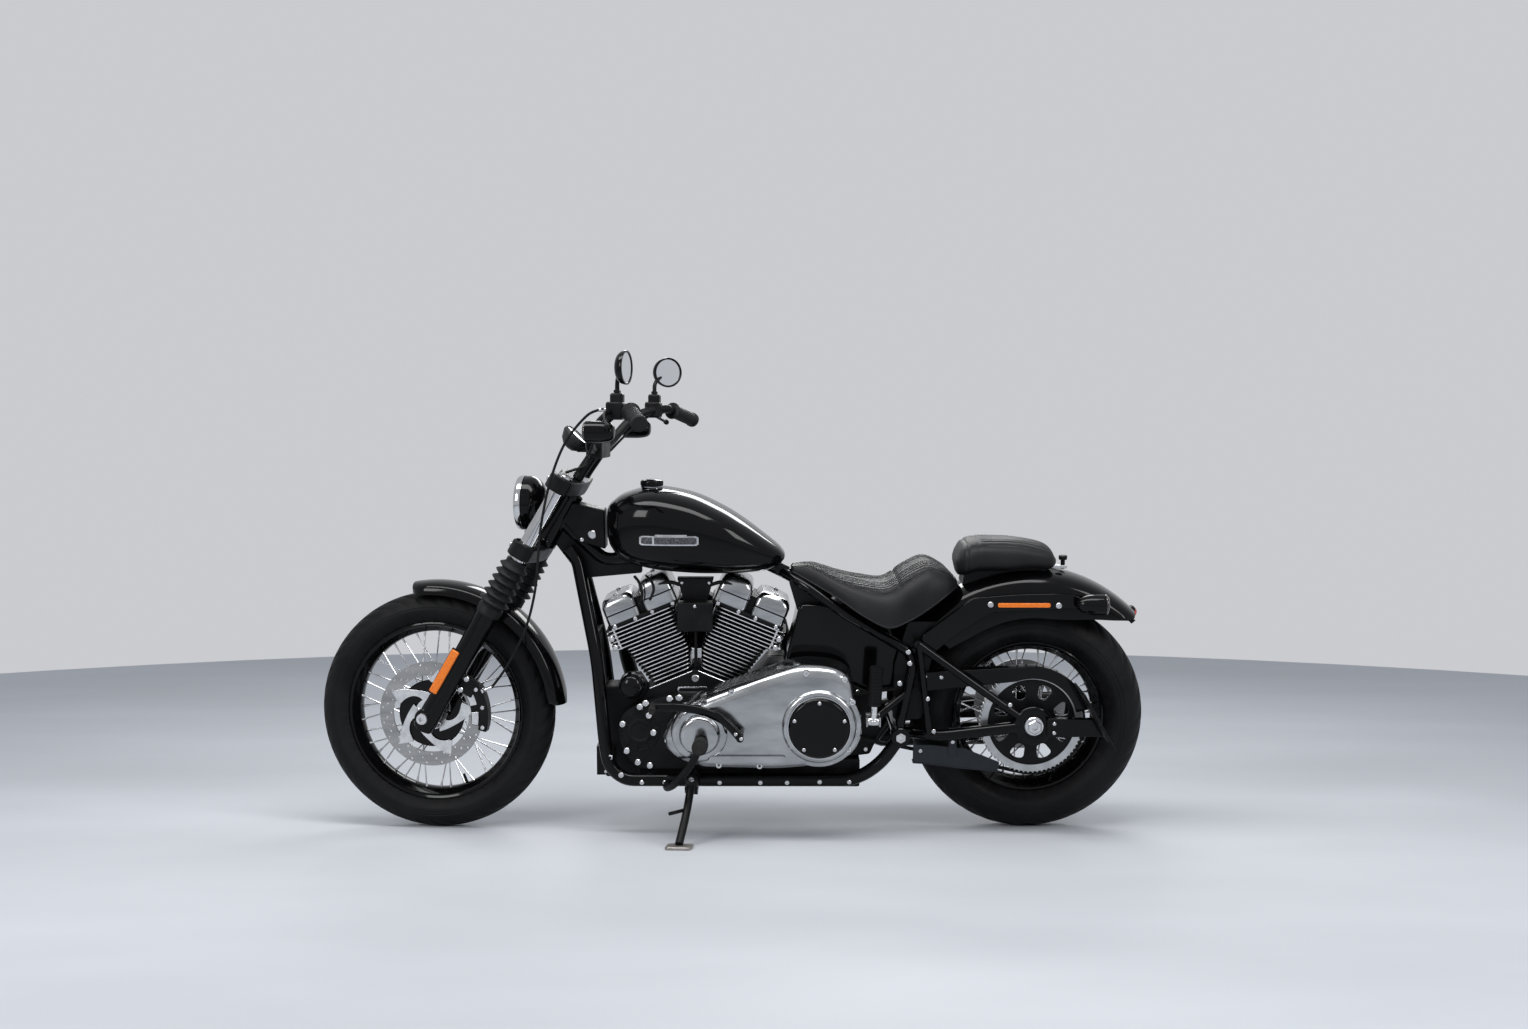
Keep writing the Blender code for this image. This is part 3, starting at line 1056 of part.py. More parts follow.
pad = [Vector((x, y)) for x, y in ((-0.036, -0.026), (0.030, -0.032), (0.038, 0.020),
                                   (-0.030, 0.026))]
pad_rings = [[REST.inverted() @ Vector((foot_world.x + p.x, foot_world.y + p.y, z)) for p in pad]
             for z in (0.0, 0.008)]
part("side_stand", "satin_black", [
    tube([STAND_AT, foot], 0.011, 8),
    turned(STAND_AT, fold_axis, [(-0.0125, 0.018), (0.0125, 0.018)], 12),
    tube([STAND_AT.lerp(foot, 0.45), STAND_AT.lerp(foot, 0.52) + Vector((-0.040, -0.030, 0.010))],
         0.005, 6),
    loft(pad_rings)])

# The origin goes under the middle of the whole machine.

bpy.context.view_layer.update()
corners = [obj.matrix_world @ v.co for obj in SOLIDS for v in obj.data.vertices]
middle_x = (min(p.x for p in corners) + max(p.x for p in corners)) / 2
middle_y = (min(p.y for p in corners) + max(p.y for p in corners)) / 2
root.matrix_world = Matrix.Translation((-middle_x, -middle_y, 0)) @ REST
bpy.context.view_layer.update()
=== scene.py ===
"""Looks of a gloss-black bobber motorcycle, parked on its side stand."""
import math

import bmesh
import bpy
from mathutils import Matrix, Vector, noise


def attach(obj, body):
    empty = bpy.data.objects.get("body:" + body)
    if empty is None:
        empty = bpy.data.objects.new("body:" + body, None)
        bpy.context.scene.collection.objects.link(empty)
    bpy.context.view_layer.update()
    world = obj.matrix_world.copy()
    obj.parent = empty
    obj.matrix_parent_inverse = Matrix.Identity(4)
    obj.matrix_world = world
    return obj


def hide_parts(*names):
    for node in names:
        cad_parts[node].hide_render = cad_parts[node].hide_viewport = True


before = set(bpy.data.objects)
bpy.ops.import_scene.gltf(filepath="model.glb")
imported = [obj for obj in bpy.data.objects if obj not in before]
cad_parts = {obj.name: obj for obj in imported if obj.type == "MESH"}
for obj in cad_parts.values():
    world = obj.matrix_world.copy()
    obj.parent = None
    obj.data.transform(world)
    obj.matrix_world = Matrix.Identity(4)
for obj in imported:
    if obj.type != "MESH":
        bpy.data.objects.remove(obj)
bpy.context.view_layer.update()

# The stance. The machine is drawn upright and steered straight, then leaned 7.5 degrees on to its
# stand with the fork turned 7 degrees to the left. x runs back, -y is the left side, z is up.

LEANED = Matrix(((1.0, 0.000129, 0.000977, 0.091901), (0.0, 0.991445, -0.130526, 0.146393),
    (-0.000985, 0.130526, 0.991444, -0.001282), (0.0, 0.0, 0.0, 1.0)))
FRONT_TYRE = 0.331
REAR_TYRE = 0.323
FRONT_AXLE = Vector((-0.904, 0, FRONT_TYRE))
REAR_AXLE = Vector((0.726, 0, REAR_TYRE))
RAKE = math.radians(30)
STEERING = math.radians(-7)
UP_FORK = Vector((0.5, 0, math.sqrt(0.75)))
LEFT = Vector((0, -1, 0))
RIGHT = Vector((0, 1, 0))
FORE = Vector((-1, 0, 0))
AFT = Vector((1, 0, 0))
UP = Vector((0, 0, 1))


def raked(place):
    """A frame at a place, tilted back as the fork is."""
    return Matrix.Translation(place) @ Matrix.Rotation(RAKE, 4, "Y")


FORK = raked(FRONT_AXLE)


def on_fork(x, y, z):
    """A point of the fork: z up its legs from the axle, x backwards across them."""
    return FORK @ Vector((x, y, z))


STEM = on_fork(0.0295, 0, 0)
TURN = Matrix.Rotation(STEERING, 4, UP_FORK)
STEERED = LEANED @ (Matrix.Translation(STEM) @ TURN @ Matrix.Translation(-STEM))

# The studio. A long lens looks square at the left side from hub height; the floor is smooth and
# pale, the ground behind it plain, and large soft lamps stand above and round the machine.

CAMERA_AWAY = 4.5
CAMERA_HEIGHT = 0.868
SENSOR = 36
FOCAL_PIXELS = 1602.6
FRAME_PIXELS = 1528
FLOOR_RADIUS = 6


def placed(name, data):
    """An object of the scene."""
    thing = bpy.data.objects.new(name, data)
    bpy.context.collection.objects.link(thing)
    return thing


camera = placed("camera", bpy.data.cameras.new("camera"))
camera.location = (LEANED.translation.x, LEANED.translation.y - CAMERA_AWAY, CAMERA_HEIGHT)
camera.rotation_euler = (math.radians(90), 0, 0)
camera.data.sensor_width = SENSOR
camera.data.lens = SENSOR * FOCAL_PIXELS / FRAME_PIXELS
bpy.context.scene.camera = camera


def softbox(name, place, aim, width, height, power):
    """A rectangular lamp with a cloth front."""
    light = bpy.data.lights.new(name, "AREA")
    light.shape = "RECTANGLE"
    light.size = width
    light.size_y = height
    light.energy = power
    lamp = placed(name, light)
    lamp.location = place
    lamp.rotation_euler = (Vector(aim) - Vector(place)).to_track_quat("-Z", "Y").to_euler()


softbox("softbox_over", (-0.2, -0.9, 3.2), (0, 0, 0.5), 3.6, 0.9, 95)
softbox("softbox_left", (-2.6, -3.0, 2.3), (0, 0, 0.6), 1.2, 1.6, 60)
softbox("softbox_rear", (2.9, -2.2, 2.2), (0.2, 0, 0.6), 0.8, 1.6, 38)
softbox("softbox_right", (0.4, 3.2, 2.6), (0, 0, 0.6), 2.4, 0.8, 45)

world = bpy.data.worlds.new("studio")
bpy.context.scene.world = world
world.use_nodes = True
sky = world.node_tree.nodes
wires = world.node_tree.links
wall = sky["Background"]
wall.inputs["Color"].default_value = (0.62, 0.63, 0.655, 1)
wall.inputs["Strength"].default_value = 0.95
fill = sky.new("ShaderNodeBackground")
fill.inputs["Color"].default_value = (0.8, 0.86, 0.95, 1)
fill.inputs["Strength"].default_value = 0.6
seen = sky.new("ShaderNodeLightPath")
shown = sky.new("ShaderNodeMath")
shown.operation = "MAXIMUM"
shown_too = sky.new("ShaderNodeMath")
shown_too.operation = "MAXIMUM"
choose = sky.new("ShaderNodeMixShader")
wires.new(seen.outputs["Is Camera Ray"], shown.inputs[0])
wires.new(seen.outputs["Is Glossy Ray"], shown.inputs[1])
wires.new(shown.outputs[0], shown_too.inputs[0])
wires.new(seen.outputs["Is Transmission Ray"], shown_too.inputs[1])
wires.new(shown_too.outputs[0], choose.inputs["Fac"])
wires.new(fill.outputs[0], choose.inputs[1])
wires.new(wall.outputs[0], choose.inputs[2])
wires.new(choose.outputs[0], sky["World Output"].inputs["Surface"])
bpy.context.scene.view_settings.view_transform = "Standard"


def finish(name, colour, other=None, metallic=0.0, rough=(0.3, 0.4), mottle=12.0, grain=(300.0, 0.02),
        coat=0.0, stretch=(1, 1, 1), cells=False, shine=0.5):
    """A material whose colour and roughness vary over it, with a fine grain in its surface."""
    material = bpy.data.materials.new(name)
    material.use_nodes = True
    nodes = material.node_tree.nodes
    join = material.node_tree.links.new
    shader = nodes["Principled BSDF"]
    shader.inputs["Metallic"].default_value = metallic
    shader.inputs["Coat Weight"].default_value = coat
    shader.inputs["Specular IOR Level"].default_value = shine
    shader.inputs["Coat Roughness"].default_value = 0.03
    where = nodes.new("ShaderNodeTexCoord")
    along = nodes.new("ShaderNodeMapping")
    along.inputs["Scale"].default_value = stretch
    join(where.outputs["Object"], along.inputs["Vector"])
    patches = nodes.new("ShaderNodeTexNoise")
    patches.inputs["Scale"].default_value = mottle
    patches.inputs["Detail"].default_value = 6
    join(along.outputs[0], patches.inputs["Vector"])
    shade = nodes.new("ShaderNodeValToRGB")
    shade.color_ramp.elements[0].position = 0.35
    shade.color_ramp.elements[1].position = 0.68
    shade.color_ramp.elements[0].color = (*colour, 1)
    shade.color_ramp.elements[1].color = (*(other or [c * 1.25 for c in colour]), 1)
    join(patches.outputs["Fac"], shade.inputs["Fac"])
    join(shade.outputs["Color"], shader.inputs["Base Color"])
    gloss = nodes.new("ShaderNodeMapRange")
    gloss.inputs["From Min"].default_value = 0.3
    gloss.inputs["From Max"].default_value = 0.7
    gloss.inputs["To Min"].default_value = rough[0]
    gloss.inputs["To Max"].default_value = rough[1]
    join(patches.outputs["Fac"], gloss.inputs["Value"])
    join(gloss.outputs["Result"], shader.inputs["Roughness"])
    if cells:
        pores = nodes.new("ShaderNodeTexVoronoi")
    else:
        pores = nodes.new("ShaderNodeTexNoise")
        pores.inputs["Detail"].default_value = 3
    pores.inputs["Scale"].default_value = grain[0]
    join(along.outputs[0], pores.inputs["Vector"])
    relief = nodes.new("ShaderNodeBump")
    relief.inputs["Strength"].default_value = grain[1]
    relief.inputs["Distance"].default_value = 0.001
    join(pores.outputs["Distance" if cells else "Fac"], relief.inputs["Height"])
    join(relief.outputs["Normal"], shader.inputs["Normal"])
    return material


floor_mesh = bpy.data.meshes.new("floor")
corners = [math.radians(5 * k) for k in range(72)]
floor_mesh.from_pydata([(FLOOR_RADIUS * math.cos(a), FLOOR_RADIUS * math.sin(a), 0) for a in corners], [],
    [tuple(range(72))])
floor = placed("floor", floor_mesh)
floor_mesh.materials.append(finish("pale_floor", (0.42, 0.435, 0.46), (0.48, 0.495, 0.52), 0, (0.55, 0.7),
    1.4, (30.0, 0.05), stretch=(0.4, 1, 1)))

# The tyres. Black rubber on a cross-ply body, with a round crown, short slanted grooves cut into
# the tread and plain sidewalls ringed by fine ribs; they grip the rims by their beads alone.

black_rubber = finish("tyre_rubber", (0.003, 0.003, 0.0033), (0.0075, 0.0075, 0.008), 0, (0.46, 0.62), 9.0,
    (420.0, 0.25), shine=0.13)
TREAD_STEPS = 252


def skin(rings, closed=False):
    """Faces laid over rings of points, ending in flat caps or joined round to the first ring."""
    count = len(rings[0])
    points = [Vector(p) for ring in rings for p in ring]
    faces = []
    for i in range(len(rings) if closed else len(rings) - 1):
        low = i * count
        high = (i + 1) % len(rings) * count
        for j in range(count):
            k = (j + 1) % count
            faces.append((low + j, low + k, high + k, high + j))
    if not closed:
        faces.append(tuple(range(count)))
        faces.append(tuple(range(len(points) - count, len(points))))
    return points, faces


def together(*shapes):
    """Several bodies as one."""
    points = []
    faces = []
    for more, skins in shapes:
        faces += [tuple(i + len(points) for i in face) for face in skins]
        points += more
    return points, faces


def hoop(axle, section, steps=96):
    """A ring turned about the axle from a closed run of (y, radius) corners."""
    rings = []
    for i in range(steps):
        a = 2 * math.pi * i / steps
        rings.append([axle + Vector((r * math.cos(a), y, r * math.sin(a))) for y, r in section])
    return skin(rings, closed=True)


BEVEL_ANGLE = 38


def mesh_of(name, shape):
    """A mesh whose faces all look outwards."""
    points, faces = shape
    mesh = bpy.data.meshes.new(name)
    mesh.from_pydata([tuple(p) for p in points], [], faces)
    work = bmesh.new()
    work.from_mesh(mesh)
    bmesh.ops.recalc_face_normals(work, faces=work.faces)
    work.to_mesh(mesh)
    work.free()
    return mesh


def shade_smooth(mesh, sharp):
    """Smooth shading, but for edges sharper than an angle."""
    for face in mesh.polygons:
        face.use_smooth = True
    mesh.set_sharp_from_angle(angle=math.radians(sharp))


def put(name, shape, material, body, nodes=(), sharp=35, edge=0.0):
    """One piece of the machine: finished, stood in place, riding on a body of the frame."""
    mesh = mesh_of(name, shape)
    mesh.materials.append(material)
    shade_smooth(mesh, sharp)
    piece = placed(name, mesh)
    piece.matrix_world = STEERED if body in ("steering", "front_wheel") else LEANED
    if edge:
        rounding = piece.modifiers.new("rounded_edges", "BEVEL")
        rounding.width = edge
        rounding.segments = 3
        rounding.limit_method = "ANGLE"
        rounding.angle_limit = math.radians(BEVEL_ANGLE)
        rounding.harden_normals = True
    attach(piece, body)
    if nodes:
        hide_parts(*nodes)
    return piece


def tyre(axle, radius, half, rim_r, rim_half, grooves, slant):
    """The carcass, its crown cut by slanted grooves that stop short of the middle."""
    radius *= math.cos(math.pi / 28)
    section = [(-rim_half + 0.006, rim_r - 0.001), (-rim_half - 0.002, rim_r + 0.004)]
    degrees = [-104, -96, -88, -80, -72, -64, -57] + list(range(-50, 51, 5)) + [57, 64, 72, 80, 88, 96, 104]
    for deg in degrees:
        a = math.radians(deg)
        section.append((half * math.sin(a), radius - half + half * math.cos(a)))
    section[2:3] = [(-(rim_half + half) / 2 - 0.003, rim_r + 0.02)]
    section[-1:] = [((rim_half + half) / 2 + 0.003, rim_r + 0.02)]
    section += [(rim_half + 0.002, rim_r + 0.004), (rim_half - 0.006, rim_r - 0.001)]
    rings = []
    for i in range(TREAD_STEPS):
        a = 2 * math.pi * i / TREAD_STEPS
        ring = []
        for y, r in section:
            across = abs(y) / half
            turn = i * grooves / TREAD_STEPS + across * slant * (1 if y > 0 else 1.35)
            cut = 0.0042 if 0.12 < across < 0.9 and turn % 1.0 < 0.17 else 0.0
            ring.append(axle + Vector(((r - cut) * math.cos(a), y, (r - cut) * math.sin(a))))
        rings.append(ring)
    ribs = []
    for side in (-1, 1):
        for deg in (76, 84):
            a = math.radians(deg)
            y = side * (half * math.sin(a) + 0.0003)
            r = radius - half + half * math.cos(a)
            ribs.append(hoop(axle, [(y, r - 0.0012), (y + side * 0.0006, r), (y, r + 0.0012),
                (y - side * 0.002, r)], 126))
    return together(skin(rings, closed=True), *ribs)


FRONT_RIM = (0.246, 0.036)
REAR_RIM = (0.209, 0.05)
put("front_tyre_rubber", tyre(FRONT_AXLE, FRONT_TYRE, 0.0505, *FRONT_RIM, 42, 1.6), black_rubber,
    "front_wheel", ["front_tyre"], 50)
put("rear_tyre_rubber", tyre(REAR_AXLE, REAR_TYRE, 0.0755, *REAR_RIM, 36, 1.3), black_rubber, "rear_wheel",
    ["rear_tyre"], 50)

# The wheels. Black-painted steel rims laced to cast hubs with polished steel spokes; every spoke
# is hooked in a hub flange and drawn up by a nipple at the rim, and crosses its neighbours.

black_paint = finish("gloss_black_paint", (0.0012, 0.0012, 0.0014), (0.0022, 0.0022, 0.0026), 0,
    (0.07, 0.14), 5.0, (900.0, 0.008), 0.12, shine=0.12)
satin_black = finish("satin_black_powder", (0.003, 0.003, 0.0033), (0.0065, 0.0065, 0.007), 0, (0.32, 0.46),
    24.0, (700.0, 0.06), shine=0.14)
bright_steel = finish("polished_steel", (0.52, 0.52, 0.53), (0.68, 0.68, 0.69), 1.0, (0.16, 0.28), 60.0,
    (500.0, 0.02))


def ring_round(centre, axis, radius, sides, oval=1.0):
    """Points round a circle square to an axis."""
    axis = Vector(axis).normalized()
    side = axis.cross(RIGHT)
    if side.length < 0.1:
        side = axis.cross(UP)
    side.normalize()
    other = axis.cross(side)
    step = 2 * math.pi / sides
    ring = []
    for j in range(sides):
        a = (j + 0.5) * step
        ring.append(Vector(centre) + radius * (math.cos(a) * side + oval * math.sin(a) * other))
    return ring


def turned(centre, axis, rows, sides=48, oval=1.0):
    """A solid turned about an axis from rows of distance along it and radius."""
    axis = Vector(axis).normalized()
    return skin([ring_round(Vector(centre) + axis * along, axis, radius, sides, oval)
        for along, radius in rows])


def eased(path, bend, steps=5):
    """The path with each corner rounded off."""
    path = [Vector(p) for p in path]
    if not bend:
        return path
    out = [path[0]]
    for a, b, c in zip(path, path[1:], path[2:]):
        cut = min(bend, (a - b).length * 0.48, (c - b).length * 0.48)
        start = b + (a - b).normalized() * cut
        end = b + (c - b).normalized() * cut
        for k in range(steps + 1):
            t = k / steps
            out.append(start * (1 - t) ** 2 + b * (2 * t * (1 - t)) + end * t * t)
    out.append(path[-1])
    return out


def rod(path, radius, sides=16, bend=0.0, oval=1.0):
    """A round bar or pipe along a path, its corners bent smoothly; radius may change evenly."""
    path = eased(path, bend)
    low, high = radius if isinstance(radius, tuple) else (radius, radius)
    along = (path[1] - path[0]).normalized()
    ring = [p - path[0] for p in ring_round(path[0], along, 1.0, sides, oval)]
    rings = []
    for i, p in enumerate(path):
        after = (path[i + 1] - p).normalized() if i + 1 < len(path) else along
        ring = [v.copy() for v in ring]
        swing = along.rotation_difference(after)
        half = Matrix.Rotation(swing.angle / 2, 3, swing.axis) if swing.angle > 1e-6 else Matrix.Identity(3)
        r = low + (high - low) * i / (len(path) - 1)
        rings.append([p + (half @ v) * r for v in ring])
        ring = [half @ (half @ v) for v in ring]
        along = after
    return skin(rings)


def rim(axle, radius, half):
    """The rolled section: two lips, shoulders and a well between them."""
    near = [(-half, radius + 0.0005), (-half - 0.0015, radius - 0.003), (-half + 0.001, radius - 0.008),
        (-half * 0.75, radius - 0.012), (-half * 0.52, radius - 0.023), (-half * 0.35, radius - 0.026),
        (0.0, radius - 0.027)]
    far = [(-y, r) for y, r in near[-2::-1]]
    return hoop(axle, near + far + [(half * 0.3, radius - 0.001), (-half * 0.3, radius - 0.001)], 120)


SPOKES = 40
SPOKE_REACH = math.radians(52)
FLANGE_R = 0.042


def lacing(axle, flange_y, rim_r):
    """The spokes with their nipples, and their hooked heads at the flange."""
    wires = []
    nipples = []
    for i in range(SPOKES):
        side = -1 if i % 2 else 1
        lean = 1 if i // 2 % 2 else -1
        at = 2 * math.pi * i / SPOKES
        foot = at + lean * SPOKE_REACH
        low = axle + Vector((FLANGE_R * math.cos(foot), side * (flange_y + lean * 0.004),
            FLANGE_R * math.sin(foot)))
        high = axle + Vector((rim_r * math.cos(at), side * 0.01, rim_r * math.sin(at)))
        wires.append(rod([low, high], 0.00195, 8))
        wires.append(turned(low, LEFT * side, [(-0.003, 0.0032), (0.003, 0.0032)], 8))
        nipples.append(rod([high.lerp(low, 0.075), high], (0.0028, 0.0036), 8))
    return together(*wires), together(*nipples)


def hub(axle, half, flange_y, neck):
    """The cast hub with a flange for each side's spokes."""
    rows = [(-half, 0.016), (-half, 0.027), (-half + 0.003, 0.03), (-flange_y - 0.008, 0.031),
        (-flange_y - 0.006, 0.048), (-flange_y + 0.006, 0.048), (-flange_y + 0.009, neck)]
    return turned(axle, RIGHT, rows + [(-y, r) for y, r in rows[::-1]], 64)


for name, axle, (radius, half), rows in (("front", FRONT_AXLE, FRONT_RIM, (0.058, 0.046, 0.027)),
        ("rear", REAR_AXLE, REAR_RIM, (0.08, 0.06, 0.032))):
    spokes, nipples = lacing(axle, rows[1], radius - 0.024)
    body = f"{name}_wheel"
    put(f"{name}_rim", rim(axle, radius, half), black_paint, body, [body], 30)
    put(f"{name}_spokes", spokes, bright_steel, body)
    put(f"{name}_nipples", nipples, bright_steel, body)
    put(f"{name}_hub", hub(axle, *rows), black_paint, body, (), 30)
    valve = axle + Vector((0.35, 0, -0.93)).normalized() * (radius - 0.022)
    put(f"{name}_valve", rod([valve, valve + (axle - valve).normalized() * 0.03], (0.0045, 0.0035), 12),
        satin_black, body)

# The front brake. A drilled stainless ring on a swirl of five polished arms, bolted to the hub,
# and a black caliper behind the left fork leg with a bare metal bridge and its bolts.

drilled_steel = finish("drilled_disc_steel", (0.26, 0.26, 0.26), (0.36, 0.36, 0.36), 1.0, (0.3, 0.44), 6.0,
    (260.0, 0.05), stretch=(1, 1, 8))
DISC_Y = -0.072
DISC_HOLES = 60


def plate(outline, y0, y1, place=None):
    """An outline in x and z run from one y to another."""
    points = [Vector((x, y, z)) for y in (y0, y1) for x, z in outline]
    count = len(outline)
    faces = [tuple(range(count)), tuple(range(count, 2 * count))]
    faces += [(j, (j + 1) % count, count + (j + 1) % count, count + j) for j in range(count)]
    if place:
        points = [place @ p for p in points]
    return points, faces


def box(x0, x1, y0, y1, z0, z1, place=None):
    """A plain block, to be given rounded edges."""
    return plate([(x0, z0), (x1, z0), (x1, z1), (x0, z1)], y0, y1, place)


def carve(piece, shape):
    """Cuts a shape out of a piece for good."""
    cutter = placed("cutter", mesh_of("cutter", shape))
    cutter.matrix_world = piece.matrix_world
    cut = piece.modifiers.new("cut", "BOOLEAN")
    cut.operation = "DIFFERENCE"
    cut.solver = "EXACT"
    cut.object = cutter
    bpy.context.view_layer.update()
    whole = bpy.data.meshes.new_from_object(piece.evaluated_get(bpy.context.evaluated_depsgraph_get()))
    piece.modifiers.remove(cut)
    old = piece.data
    piece.data = whole
    bpy.data.meshes.remove(old)
    bpy.data.objects.remove(cutter)
    shade_smooth(piece.data, 35)


def band(points, widths, y0, y1):
    """A flat strap of changing width along a line in x and z."""
    left = []
    right = []
    for i, p in enumerate(points):
        a = Vector(points[max(i - 1, 0)])
        b = Vector(points[min(i + 1, len(points) - 1)])
        run = (b - a).normalized()
        left.append((p[0] - run.y * widths[i], p[1] + run.x * widths[i]))
        right.append((p[0] + run.y * widths[i], p[1] - run.x * widths[i]))
    return plate(left + right[::-1], y0, y1)


def bolts(spots, axis, radius, tall, socket=0.55, sides=20):
    """Socket-headed bolts: a rounded head with a hollow in it."""
    heads = []
    for spot in spots:
        heads.append(turned(spot, axis, [(0, radius), (tall * 0.75, radius), (tall, radius * 0.82),
            (tall, radius * socket), (tall * 0.45, radius * socket * 0.9)], sides))
    return together(*heads)


disc = put("front_disc_ring", hoop(FRONT_AXLE, [(DISC_Y - 0.0025, 0.106), (DISC_Y - 0.0025, 0.144),
    (DISC_Y + 0.0025, 0.144), (DISC_Y + 0.0025, 0.106)], 120), drilled_steel, "front_wheel", ["front_disc"])
holes = []
for i in range(DISC_HOLES):
    a = 2 * math.pi * i / DISC_HOLES
    r = (0.113, 0.125, 0.137)[i % 3]
    spot = FRONT_AXLE + Vector((r * math.cos(a), DISC_Y - 0.006, r * math.sin(a)))
    holes.append(turned(spot, RIGHT, [(0, 0.0032), (0.012, 0.0032)], 10))
carve(disc, together(*holes))
arms = []
carrier_bolts = []
for i in range(5):
    at = 2 * math.pi * i / 5 + 0.35
    line = []
    for k in range(13):
        t = k / 12
        r = 0.038 + 0.07 * t
        a = at + 1.15 * t ** 0.8
        line.append((FRONT_AXLE.x + r * math.cos(a), FRONT_AXLE.z + r * math.sin(a)))
    arms.append(band(line, [0.019 - 0.0105 * math.sin(math.pi * min(1.0, k / 11)) for k in range(13)],
        DISC_Y - 0.003, DISC_Y + 0.003))
    carrier_bolts.append(FRONT_AXLE + Vector((0.036 * math.cos(at), DISC_Y - 0.003, 0.036 * math.sin(at))))
put("front_disc_arms", together(*arms), bright_steel, "front_wheel", (), 35, 0.0008)
put("front_disc_hub", hoop(FRONT_AXLE, [(-0.0755, 0.016), (-0.0755, 0.044), (-0.069, 0.047), (-0.06, 0.044),
    (-0.06, 0.016)], 64), bright_steel, "front_wheel")
# Painted shade: a black disc behind the rotor's arms that darkens the windows between them near the hub; it
# stands for shade, not for a part of the wheel.
put("front_rotor_shade_disc", hoop(FRONT_AXLE, [(-0.068, 0.03), (-0.068, 0.09), (-0.0655, 0.092), (-0.064, 0.092),
    (-0.064, 0.03)], 72), black_paint, "front_wheel")
put("front_disc_bolts", bolts(carrier_bolts, LEFT, 0.0052, 0.0042), bright_steel, "front_wheel")


def arc(axle, r0, r1, a0, a1, y0, y1, steps=10):
    """Part of a flat ring between two angles measured up from straight back."""
    angles = [math.radians(a0 + (a1 - a0) * i / steps) for i in range(steps + 1)]
    outline = [(axle.x + r1 * math.cos(a), axle.z + r1 * math.sin(a)) for a in angles]
    outline += [(axle.x + r0 * math.cos(a), axle.z + r0 * math.sin(a)) for a in reversed(angles)]
    return plate(outline, y0, y1)


def about(axle, radius, deg, y=0.0):
    """A point at a radius and angle round an axle."""
    a = math.radians(deg)
    return axle + Vector((radius * math.cos(a), y, radius * math.sin(a)))


caliper_lug = skin([[on_fork(x, y, z) for x, y in ((0.033, -0.112), (0.08, -0.112), (0.08, -0.093),
    (0.033, -0.093))] for z in (0.106, 0.154)])
put("caliper_body", together(arc(FRONT_AXLE, 0.145, 0.169, -14, 33, -0.111, -0.0785),
    arc(FRONT_AXLE, 0.1215, 0.1665, -10, 31, -0.106, -0.0785),
    arc(FRONT_AXLE, 0.151, 0.165, -12, 32, -0.085, -0.058), arc(FRONT_AXLE, 0.1235, 0.163, -8, 31, -0.0685,
    -0.0555), caliper_lug), satin_black, "steering", ["front_caliper"], 35, 0.0035)
put("caliper_bridge", together(*[arc(FRONT_AXLE, 0.124, 0.143, a, a + 15, -0.1085, -0.1055, 6)
    for a in (-9, 14)]), bright_steel, "steering", (), 35, 0.001)
put("caliper_bolts", together(bolts([about(FRONT_AXLE, 0.157, a, -0.1112) for a in (-10, 10, 29)], LEFT,
    0.0055, 0.0032), bolts([on_fork(0.045, -0.112, z) for z in (0.113, 0.147)], LEFT, 0.0075, 0.006)),
    bright_steel, "steering")

# The front brake hose. Black braided hose from the lever's pump, looping before the bar and down
# the left leg to the caliper's banjo bolt; it is clipped to the leg and turns with the fork.

black_hose = finish("hose_rubber", (0.005, 0.005, 0.005), (0.01, 0.01, 0.01), 0, (0.42, 0.55), 60.0,
    (1500.0, 0.3), shine=0.15)
BAR_MID = on_fork(0.026, 0, 0.758) + Vector((0.0505, 0, 0.0805))


def on_bar(x, y, z):
    """A point measured from the middle of the handlebar."""
    return BAR_MID + Vector((x, y, z))


def curve(nodes, steps):
    """A smooth run of points or values through the given ones."""
    ends = [2 * nodes[0] - nodes[1], *nodes, 2 * nodes[-1] - nodes[-2]]
    out = []
    for a, b, c, d in zip(ends, ends[1:], ends[2:], ends[3:]):
        for k in range(steps):
            t = k / steps
            bow = t * t * (2 * a - 5 * b + 4 * c - d)
            out.append(0.5 * (2 * b + t * (c - a) + bow + t * t * t * (3 * b - a - 3 * c + d)))
    return out + [nodes[-1]]


def smooth(nodes, spacing):
    """Points evenly along a smooth curve through its nodes."""
    fine = curve([Vector(p) for p in nodes], 24)
    points = [fine[0]]
    for p in fine[1:-1]:
        if (p - points[-1]).length >= spacing:
            points.append(p)
    if (points[-1] - fine[-1]).length < spacing * 0.5:
        points.pop()
    return points + [fine[-1]]


hose_line = Vector((math.cos(math.radians(25)), 0, math.sin(math.radians(25))))
hose_end = FRONT_AXLE + hose_line * 0.1682 + Vector((0, -0.1, 0))
hose_out = hose_end + hose_line * 0.03
hose_nodes = [on_bar(0.0796, -0.272, 0.11), on_bar(0.06, -0.272, 0.109), on_bar(0.017, -0.24, 0.09),
    on_bar(-0.048, -0.195, 0.02), on_fork(-0.009, -0.175, 0.733), on_fork(0.028, -0.168, 0.6155),
    on_fork(0.061, -0.166, 0.542), on_fork(0.097, -0.16, 0.459), on_fork(0.1215, -0.146, 0.3576),
    on_fork(0.1238, -0.118, 0.2435), hose_out, hose_end.lerp(hose_out, 0.6), hose_end.lerp(hose_out, 0.3),
    hose_end]
hose_path = smooth(hose_nodes, 0.01)
hose = put("brake_hose_line", rod(hose_path, 0.0035, 12), black_hose, "steering", ["brake_hose"])
ferrules = put("hose_ferrules", together(rod([hose_path[0], hose_path[2]], 0.005, 16),
    rod([hose_path[-1], hose_path[-4]], 0.005, 16), turned(hose_end + Vector((0, -0.004, 0)), LEFT,
    [(-0.004, 0.008), (0.003, 0.008), (0.006, 0.006)], 6)), bright_steel, "steering")

# The fork. Gloss-black cast sliders with a pinched foot round the axle, black rubber gaiters, bare
# chromed tubes clamped in two forged yokes, and an orange reflector on the side of each slider.

